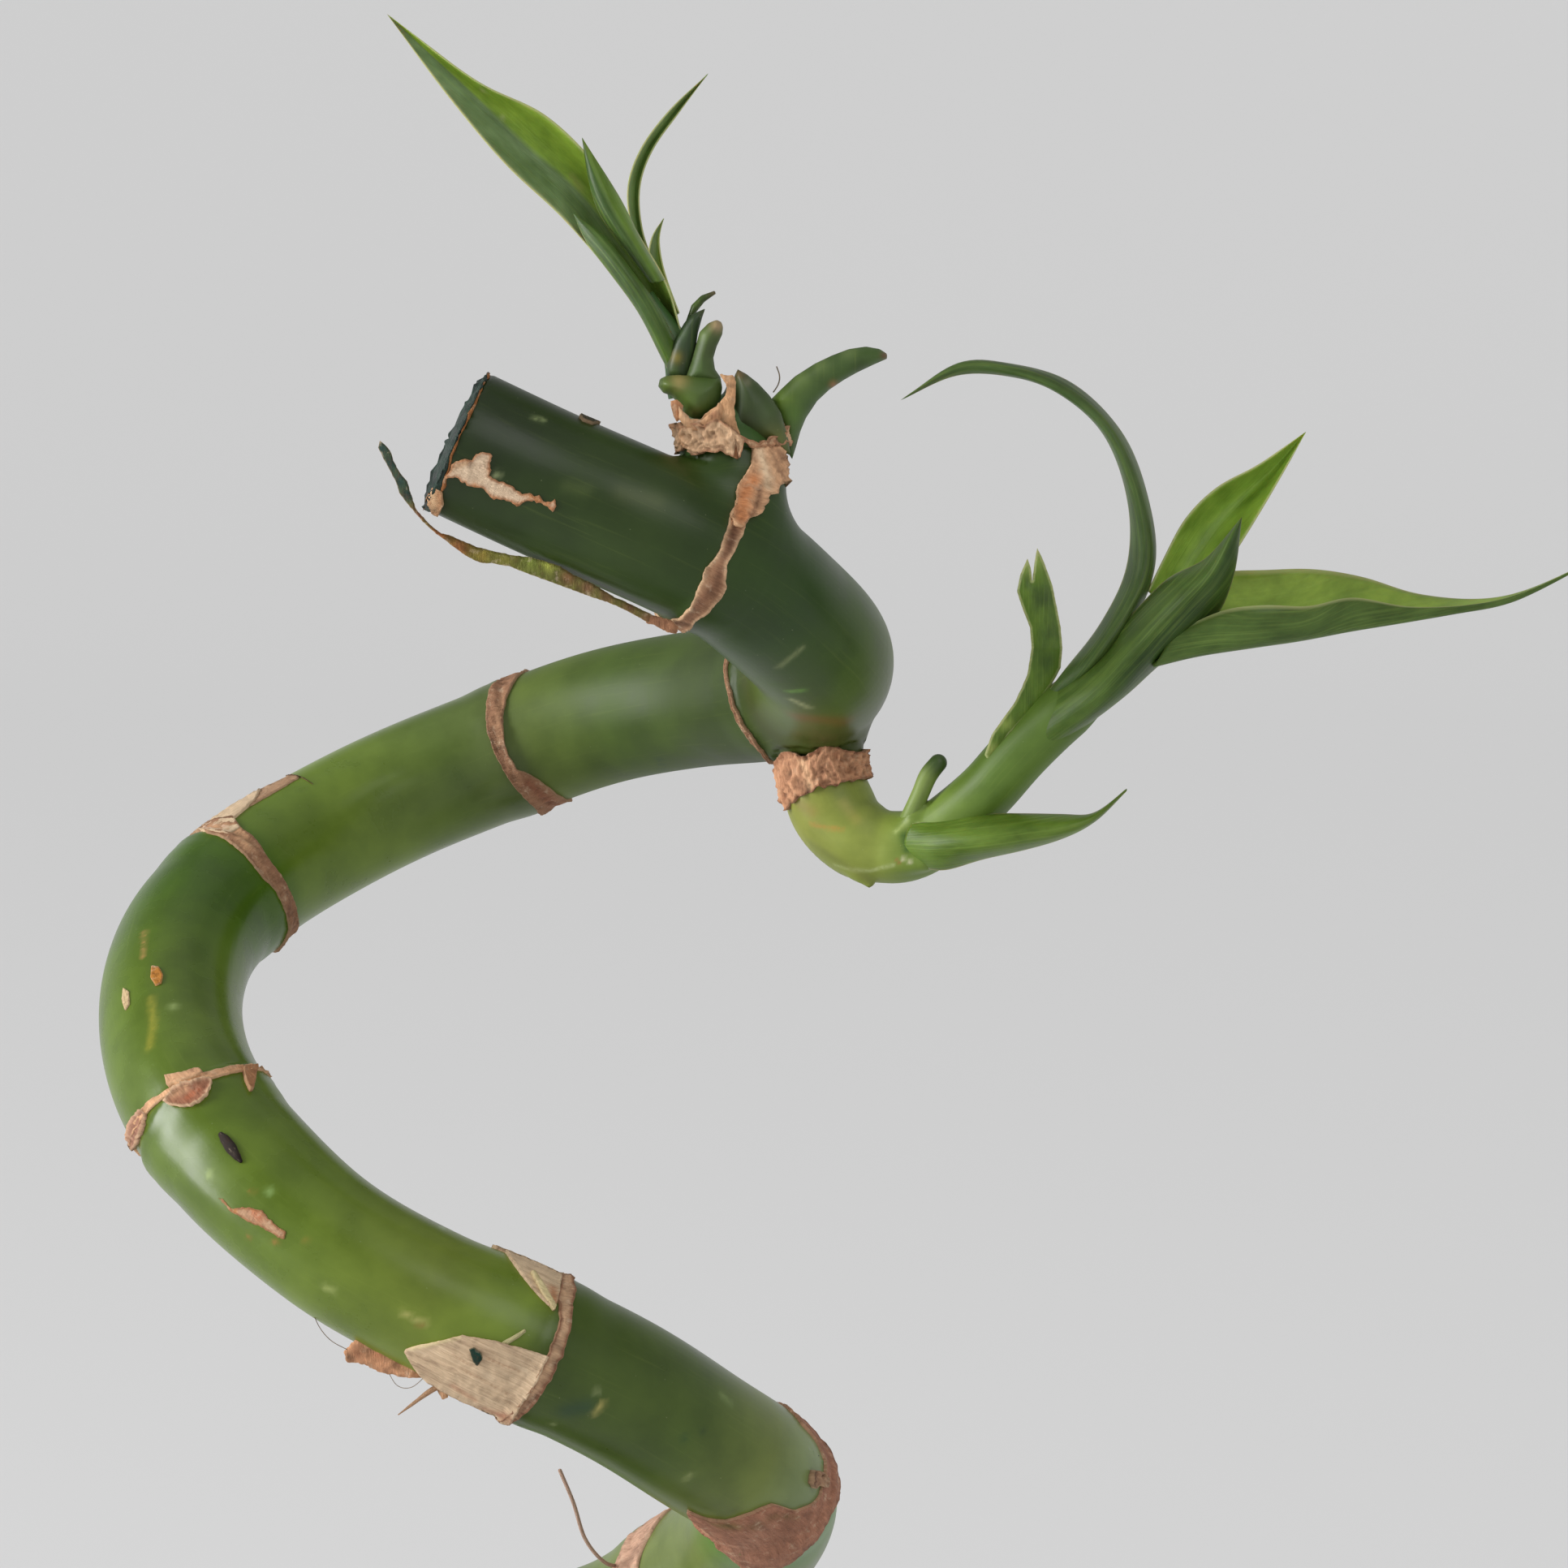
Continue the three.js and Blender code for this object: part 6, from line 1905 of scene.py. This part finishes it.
def blade_faces():
    """The quads of a blade's two sides and of the rim between them."""
    count = BLADE_ROWS * BLADE_COLUMNS
    faces = grid_faces(BLADE_ROWS, BLADE_COLUMNS, wrap=False)
    faces += [[d, c, b, a] for a, b, c, d in grid_faces(BLADE_ROWS, BLADE_COLUMNS, False, count)]
    grid = np.arange(count).reshape(BLADE_ROWS, BLADE_COLUMNS)
    for edge in (grid[0], grid[-1], grid[:, 0], grid[:, -1]):
        edge = edge.tolist()
        faces += [[a, b, b + count, a + count] for a, b in zip(edge[:-1], edge[1:])]
    return faces


def blade_tint(spec, t, across):
    """The tint at places t along a blade and across it."""
    left, right = np.array(spec["tints"])
    tint = mixed(left, right, eased(-0.12, 0.12, across)[..., None])
    if "foot" in spec:
        tint = mixed(tint, spec["foot"], eased(0.42, 0.12, t)[:, None, None])
    return tint


def blade_shape(spec, seed):
    """A leaf blade with its edges and its midrib each on a smooth line."""
    rails = [Path(spec[key], 0.5, 3) for key in ("left", "rib", "right")]
    t = np.linspace(0, 1, BLADE_ROWS)
    left, rib, right = (path.at(t * path.length)[0] for path in rails)
    tangent = rails[1].at(t * rails[1].length)[1]
    place = np.linspace(-1, 1, BLADE_COLUMNS)
    middle = (left + right) / 2
    span = right - left
    bend = rib - middle
    wide = np.linalg.norm(span, axis=1)
    points = (middle[:, None] + span[:, None] * place[None, :, None] / 2
              + bend[:, None] * (1 - place ** 2)[None, :, None])
    slope = span[:, None] / 2 - bend[:, None] * 2 * place[None, :, None]
    normal = unit(np.cross(slope, tangent[:, None]))
    thin = BLADE_THICKNESS / 2 * (1 - 0.72 * np.abs(place) ** 2.5)[None, :]
    thin = (thin * np.clip(wide / 1.6, 0.25, 1)[:, None])[..., None]
    across = np.broadcast_to(place, points.shape[:2])
    length = np.broadcast_to((t * rails[1].length)[:, None], points.shape[:2])
    grain = np.stack([across * wide[:, None] / 2, length, np.full(across.shape, seed * 3.7)], -1)
    grain = grain.reshape(-1, 3)
    sides = [side.reshape(-1, 3) for side in (points + normal * thin, points - normal * thin)]
    tint = blade_tint(spec, t, across).reshape(-1, 3)
    shape = Shape().add(
        np.vstack(sides), blade_faces(), tint=np.vstack([tint, tint]), grain=np.vstack([grain, grain]),
        margin=np.tile(np.abs(across).ravel(), 2))
    if "strokes" in spec:
        shape.stroke(spec["strokes"], Surface(shape))
    return shape


# ---- Collars ------------------------------------------------------------------------------------

# A collar is a ring round its own route; place is how far along the route its node is.
PLAIN_COLLAR = {"torn": 0.5, "crinkle": 0.4, "rows": 24, "sink": 0.25}
UPPER_COLLAR = {
    "route": [[25.1, -17.6, 293], [25.1, -17, 298], [24.4, -16.8, 301.5]], "radius": 5.25, "place": 5.6,
    "reach": 9, "lift": 0.1, "tint": srgb(188, 156, 124), "crease_shade": 0.6, "rim": srgb(150, 104, 76),
    "start": [
        (838, 560), (846, 551), (855, 560), (862, 556), (872, 557), (892, 557), (904, 565), (910, 567),
        (907, 551), (916, 543), (931, 550),
    ],
    "end": [
        (836, 513), (846, 512), (856, 514), (866, 516), (878, 512), (888, 518), (897, 526), (904, 530),
        (912, 536), (922, 541), (933, 547),
    ],
    "strokes": [
        ([(838, 515), (842, 540), (848, 556)], 0.5, srgb(196, 140, 96), 0.7),
        ([(859, 522), (870, 524)], 0.45, srgb(96, 62, 48), 0.9),
        ([(868, 540), (876, 552)], 0.3, srgb(120, 78, 56), 0.6),
        ([(895, 530), (902, 556)], 0.5, srgb(228, 196, 160), 0.8),
        ([(880, 530), (886, 550)], 0.3, srgb(130, 88, 62), 0.5),
    ],
}
LOWER_COLLAR = {
    "route": [[33.9, 6.2, 266.4], [33.9, 5.4, 262.6], [35, 4.6, 258.8]], "radius": 4.6, "place": 3.2,
    "reach": 8, "lift": 0.08, "tint": srgb(174, 130, 100), "crease_shade": 0.7, "rim": srgb(120, 78, 56),
    "start": [
        (955, 948), (962, 937), (970, 930), (991, 931), (1003, 925), (1012, 918), (1023, 916), (1040, 922),
        (1050, 927), (1065, 925),
    ],
    "end": [
        (958, 985), (963, 990), (970, 994), (985, 984), (1000, 977), (1012, 971), (1030, 966), (1044, 963),
        (1060, 960), (1070, 960),
    ],
    "strokes": [
        ([(966, 950), (968, 985)], 0.4, srgb(140, 92, 66), 0.7),
        ([(990, 940), (1000, 970)], 0.45, srgb(226, 190, 150), 0.7),
        ([(1030, 930), (1050, 955)], 0.45, srgb(150, 100, 70), 0.6),
        ([(1010, 930), (1015, 965)], 0.3, srgb(120, 78, 56), 0.5),
    ],
}
# Rags on the upper collar, each with the values of a pillow.
UPPER_STRIP = {
    "y": -20.9, "half": 0.2, "tint": srgb(196, 152, 112), "seed": 51, "rounding": 0.4, "spacing": 2.4,
    "jag": 1.2, "waves": 0.3,
    "outline": [
        (887, 461), (895, 463), (903, 461), (907, 470), (906, 490), (905, 510), (909, 526), (913, 537),
        (900, 531), (893, 523), (884, 525), (873, 530), (861, 521), (870, 508), (884, 500), (892, 490),
        (896, 478), (892, 470),
    ],
    "strokes": [
        ((868, 520), 7, srgb(80, 52, 40), 0.8), ((897, 476), 4, srgb(90, 70, 46), 0.7),
        ((892, 512), 9, srgb(214, 176, 136), 0.6),
    ],
}
UPPER_RAG = {
    "y": -21.0, "half": 0.25, "tint": srgb(198, 156, 118), "seed": 53, "rounding": 0.4, "spacing": 2.2,
    "jag": 1.2, "waves": 0.25,
    "outline": [
        (836, 500), (842, 508), (852, 516), (864, 517), (876, 508), (886, 496), (892, 500), (888, 515),
        (880, 528), (862, 532), (845, 528), (836, 515),
    ],
    "strokes": [
        ((859, 524), 5, srgb(110, 62, 46), 0.85), ((846, 512), 6, srgb(216, 182, 146), 0.6),
        ((880, 512), 6, srgb(160, 110, 80), 0.6),
    ],
}
TUFT = {
    "half": 0.25, "tint": srgb(178, 128, 92), "seed": 52, "rounding": 0.4, "spacing": 2.0, "jag": 0.8,
    "waves": 0.15,
}
TUFTS = [
    {"y": -20.6, "outline": [(826, 494), (834, 492), (842, 500), (840, 514), (834, 520), (828, 508)]},
    {"y": -22, "outline": [(903, 548), (912, 545), (914, 556), (911, 569), (905, 567), (898, 560)]},
]


def collar_shape(spec, seed):
    """A papery collar round a neck, traced like a ring."""
    path = Path(spec["route"], 0.5, 6)

    def radius_at(s):
        return np.full(np.shape(s), spec["radius"])

    neck = Shape().add(*tube(path, radius_at, 64, np.arange(0, path.length, 0.5)))
    return ring_shape(Surface(neck, path, radius_at), seed, spec["place"], {**PLAIN_COLLAR, **spec})


def upper_collar_shape():
    shape = collar_shape(UPPER_COLLAR, 61)
    pillow(shape, **UPPER_STRIP)
    pillow(shape, **UPPER_RAG)
    for spec in TUFTS:
        pillow(shape, **TUFT, **spec)
    return shape


# ---- Vase and pebbles ---------------------------------------------------------------------------

VASE = {"height": 88, "rim": 38, "foot": 31, "wall": 3.4, "floor": 5, "belly": 1.2, "edge": 1.5}
BED = {"top": 72, "gap": 0.3, "core_top": 67, "cane_room": CANE_RADIUS + 0.1}
STONES = {"count": 22, "radius": 6.6, "off_cane": 12.2}
SMALL_STONES = {"count": 70, "radius": 3.4}
GOLDEN_ANGLE = math.pi * (3 - math.sqrt(5))
CORE_TINT = srgb(70, 66, 60)


def vase_radius(z):
    t = np.clip(np.asarray(z, float) / VASE["height"], 0, 1)
    return VASE["foot"] + (VASE["rim"] - VASE["foot"]) * np.sin(t * math.pi / 2) ** VASE["belly"]


def lathed(profile, columns):
    """Points turned about the upright axis from (radius, height) places."""
    radii, heights = (np.array(values)[:, None] for values in zip(*profile))
    return cylindrical(round_angles(columns), radii, heights)


def vase_shape():
    """The vase as one turned wall: foot, outside, round lip, inside and floor."""
    wall, floor, edge = VASE["wall"], VASE["floor"], VASE["edge"]
    rim = wall / 2
    rim_middle = float(vase_radius(VASE["height"])) - rim
    heights = np.linspace(2.2, VASE["height"] - rim - 0.6, 40)
    foot = VASE["foot"]
    profile = [(0.01, 0.9), (foot - 4.5, 0.9), (foot - 3.6, 0.15), (foot - 2.2, 0)]
    profile += [
        (foot - edge + edge * math.sin(a), edge - edge * math.cos(a)) for a in np.linspace(0, math.pi / 2, 6)]
    profile += [(float(vase_radius(z)), z) for z in heights]
    profile += [
        (rim_middle + rim * math.cos(a), VASE["height"] - rim + rim * math.sin(a))
        for a in np.linspace(0, math.pi, 17)]
    profile += [(float(vase_radius(z)) - wall, z) for z in heights[::-1] if z > floor + 4]
    profile += [(foot - wall - 1.2, floor + 1.0), (foot - wall - 3, floor), (0.01, floor)]
    columns = 160
    return Shape().add(lathed(profile, columns), capped_faces(len(profile), columns))


def ball_shape():
    """The points and faces of a ball with a radius of 1."""
    work = bmesh.new()
    bmesh.ops.create_icosphere(work, subdivisions=4, radius=1)
    points = np.array([tuple(vertex.co) for vertex in work.verts])
    faces = [[vertex.index for vertex in face.verts] for face in work.faces]
    work.free()
    return points, faces


PEBBLE_TINTS = [
    srgb(150, 146, 138), srgb(118, 114, 108), srgb(176, 168, 154), srgb(132, 118, 102), srgb(196, 190, 180),
    srgb(96, 94, 92),
]


def turned(points, tilt, turn):
    """Points tilted about X, then turned about Z."""
    c, s = math.cos(tilt), math.sin(tilt)
    points = points @ np.array([[1, 0, 0], [0, c, s], [0, -s, c]])
    c, s = math.cos(turn), math.sin(turn)
    return points @ np.array([[c, s, 0], [-s, c, 0], [0, 0, 1]])


def large_stones(room):
    """The place, radii and seed of each stone of the top layer, in a spiral from the cane to the vase."""
    for i in range(STONES["count"]):
        size = STONES["radius"] * (0.82 + 0.36 * chance(i + 1))
        reach = math.sqrt((i + 0.5) / STONES["count"])
        distance = STONES["off_cane"] + (room - size * 1.05 - STONES["off_cane"]) * reach
        height = BED["top"] - 1.4 + 2.2 * chance(i + 51)
        radii = [size, size * (0.74 + 0.2 * chance(i + 101)), size * (0.56 + 0.16 * chance(i + 151))]
        yield distance, i * GOLDEN_ANGLE, height, radii, i


def small_stones(room):
    """The same for the smaller stones between them."""
    for i in range(SMALL_STONES["count"]):
        size = SMALL_STONES["radius"] + 1.6 * chance(i + 400)
        reach = math.sqrt((i + 0.5) / SMALL_STONES["count"])
        distance = CANE_RADIUS + size + 0.2 + (room - 2 * size - CANE_RADIUS - 0.4) * reach
        height = BED["top"] - 3.6 + 1.6 * chance(i + 451)
        yield distance, i * GOLDEN_ANGLE * 1.7 + 0.9, height, [size, size * 0.86, size * 0.7], i + 60


def pebbles_shape():
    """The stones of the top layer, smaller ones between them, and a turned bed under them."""
    shape = Shape()
    ball, faces = ball_shape()
    room = float(vase_radius(BED["top"])) - VASE["wall"] - BED["gap"]
    for distance, angle, height, radii, seed in [*large_stones(room), *small_stones(room)]:
        bumps = 1 + 0.07 * lumps(ball, 0.9, seed)
        tilt = 0.5 * (chance(seed + 251) - 0.5)
        stone = turned(ball * bumps[:, None] * radii, tilt, math.pi * chance(seed + 201))
        stone = stone + [distance * math.cos(angle), distance * math.sin(angle), height]
        off_axis = np.linalg.norm(stone[:, :2], axis=1)
        limit = np.clip(off_axis, CANE_RADIUS + 0.15, room)
        stone[:, :2] *= (limit / np.maximum(off_axis, TINY))[:, None]
        shape.add(stone, faces, tint=PEBBLE_TINTS[int(chance(seed + 301) * len(PEBBLE_TINTS))])
    bottom = VASE["floor"] + 0.4
    profile = [(BED["cane_room"], bottom), (VASE["foot"] - 5.6, bottom)]
    profile += [
        (float(vase_radius(z)) - VASE["wall"] - BED["gap"], z) for z in (12, 30, 50, BED["core_top"])]
    profile += [(BED["cane_room"], BED["core_top"])]
    columns = 96
    return shape.add(lathed(profile, columns), joined_faces(len(profile), columns), tint=CORE_TINT)


# ---- Stage --------------------------------------------------------------------------------------

# Each light's azimuth from the camera's side towards the right and its elevation, in degrees, its distance,
# width and height in metres, and its power in watts.
LIGHTS = [
    ("key", -78, 19, 1.3, 0.36, 0.7, 13),
    ("low", -80, -4, 1.1, 0.3, 0.34, 3.5),
    ("fill", 25, 40, 1.5, 0.8, 0.8, 5),
]
BACKDROP = {"floor": 1.9, "bend": 0.8, "height": 4.0, "columns": 128}  # metres
GLOW = 0.69  # how strongly the lower part of the backdrop glows
GLOW_TINT = srgb(208, 208, 208)
WORLD_STRENGTH = 0.55


def make_backdrop():
    """A pale round floor that curves up into a wall."""
    floor, bend, columns = BACKDROP["floor"], BACKDROP["bend"], BACKDROP["columns"]
    profile = [(0.02, 0), (0.4, 0), (1.2, 0), (floor, 0)]
    profile += [
        (floor + bend * math.sin(a), bend - bend * math.cos(a))
        for a in np.linspace(0, math.pi / 2, 14)[1:]]
    profile += [(floor + bend, 2.0), (floor + bend, BACKDROP["height"])]
    mesh = bpy.data.meshes.new("backdrop")
    faces = grid_faces(len(profile), columns) + [list(range(columns))]
    mesh.from_pydata(lathed(profile, columns).reshape(-1, 3).tolist(), [], faces)
    mesh.polygons.foreach_set("use_smooth", [True] * len(mesh.polygons))
    mesh.materials.append(backdrop_material())
    backdrop = bpy.data.objects.new("backdrop", mesh)
    bpy.context.scene.collection.objects.link(backdrop)


def backdrop_material():
    """Matt grey that glows a little, less towards its top."""
    shader = Shader("backdrop", specular_ior_level=0.0)
    place = shader.place()
    fade = shader.noise(place, 0.6, 2)
    tone = shader.spread(fade, 0.3, 0.7, 0.30, 0.31)
    colour = shader.node("CombineColor", {0: tone, 1: tone, 2: tone})
    height = shader.node("SeparateXYZ", {0: place}, 2)
    shader.base.inputs["Emission Color"].default_value = (*GLOW_TINT, 1)
    shader.tree.links.new(shader.spread(height, 0.9, 2.2, GLOW, 0.2), shader.base.inputs["Emission Strength"])
    return shader.done(colour, shader.spread(fade, 0, 1, 0.9, 1.0))


def make_world():
    world = bpy.data.worlds.new("studio")
    world.use_nodes = True
    background = world.node_tree.nodes["Background"]
    background.inputs["Color"].default_value = (1, 1, 1, 1)
    background.inputs["Strength"].default_value = WORLD_STRENGTH
    bpy.context.scene.world = world


def make_light(name, azimuth, elevation, distance, width, height, power):
    data = bpy.data.lights.new(name, "AREA")
    data.shape = "RECTANGLE"
    data.size = width
    data.size_y = height
    data.energy = power
    light = bpy.data.objects.new(name, data)
    azimuth, elevation = math.radians(azimuth), math.radians(elevation)
    away = Vector((
        math.sin(azimuth) * math.cos(elevation), -math.cos(azimuth) * math.cos(elevation),
        math.sin(elevation)))
    light.location = Vector(TARGET * MM) + away * distance
    light.rotation_euler = (-away).to_track_quat("-Z", "Y").to_euler()
    bpy.context.scene.collection.objects.link(light)


def make_stage():
    make_backdrop()
    make_world()
    for light in LIGHTS:
        make_light(*light)
    bpy.context.scene.view_settings.view_transform = "Standard"


# ---- The plant ----------------------------------------------------------------------------------

def make_cane(skin, paper):
    """The cane with what lies on its skin."""
    cane = make_cane_shape()
    surface = Surface(cane, cane_path, cane_radius)
    cane.piece("cane_skin", skin, "cane_skin", "cane")
    scars_shape(surface).piece("cane_scars", paper, "cane_skin")
    dry_bits_shape().piece("dry_bits", paper, "dry_sheath")
    dark_seed_shape(surface).piece("dark_seed", paper, "dry_sheath")
    for i, (place, spec) in enumerate(zip(CANE_NODES, RINGS)):
        name = f"ring_{i + 1:02d}"
        ring_shape(surface, i, place, spec).piece(name, paper, "dry_sheath", f"sheath_{name}")
    wax_shape(surface).piece("wax_cap", wax_material(), "wax", "wax_seal")
    wax_rim_shape(surface).piece("bare_rim", paper, "dry_sheath")


def make_shoots(green, leaf, paper):
    upper_shoot_shape().piece("upper_shoot_base", green, "shoot_green", "upper_shoot")
    lower_shoot_shape().piece("lower_shoot_base", green, "shoot_green", "lower_shoot")
    for i, (name, spec) in enumerate(LEAVES.items()):
        blade_shape(spec, i).piece(f"{name}_blade", leaf, "leaf", name)
    small_leaf_shape().piece("lower_leaf_small_blade", leaf, "leaf", "lower_leaf_small")
    horn_shape().piece("upper_leaf_horn_blade", green, "leaf", "upper_leaf_horn")
    strip_shape().piece("strip_of_sheath", paper, "dried_leaf", "dried_strip")
    upper_collar_shape().piece("upper_collar_paper", paper, "dry_sheath", "upper_collar")
    collar_shape(LOWER_COLLAR, 62).piece("lower_collar_paper", paper, "dry_sheath", "lower_collar")


def make_plant():
    skin = skin_material("cane_skin", 0.25, 0.12)
    green = skin_material("shoot_skin", 0.36)
    leaf = leaf_material()
    paper = paper_material()
    make_cane(skin, paper)
    make_shoots(green, leaf, paper)


make_camera()
make_stage()
make_plant()
vase_shape().piece("glazed_vase", glaze_material(), "vase_glaze", "vase")
pebbles_shape().piece("pebbles", pebble_material(), "pebbles", "pebble_bed")
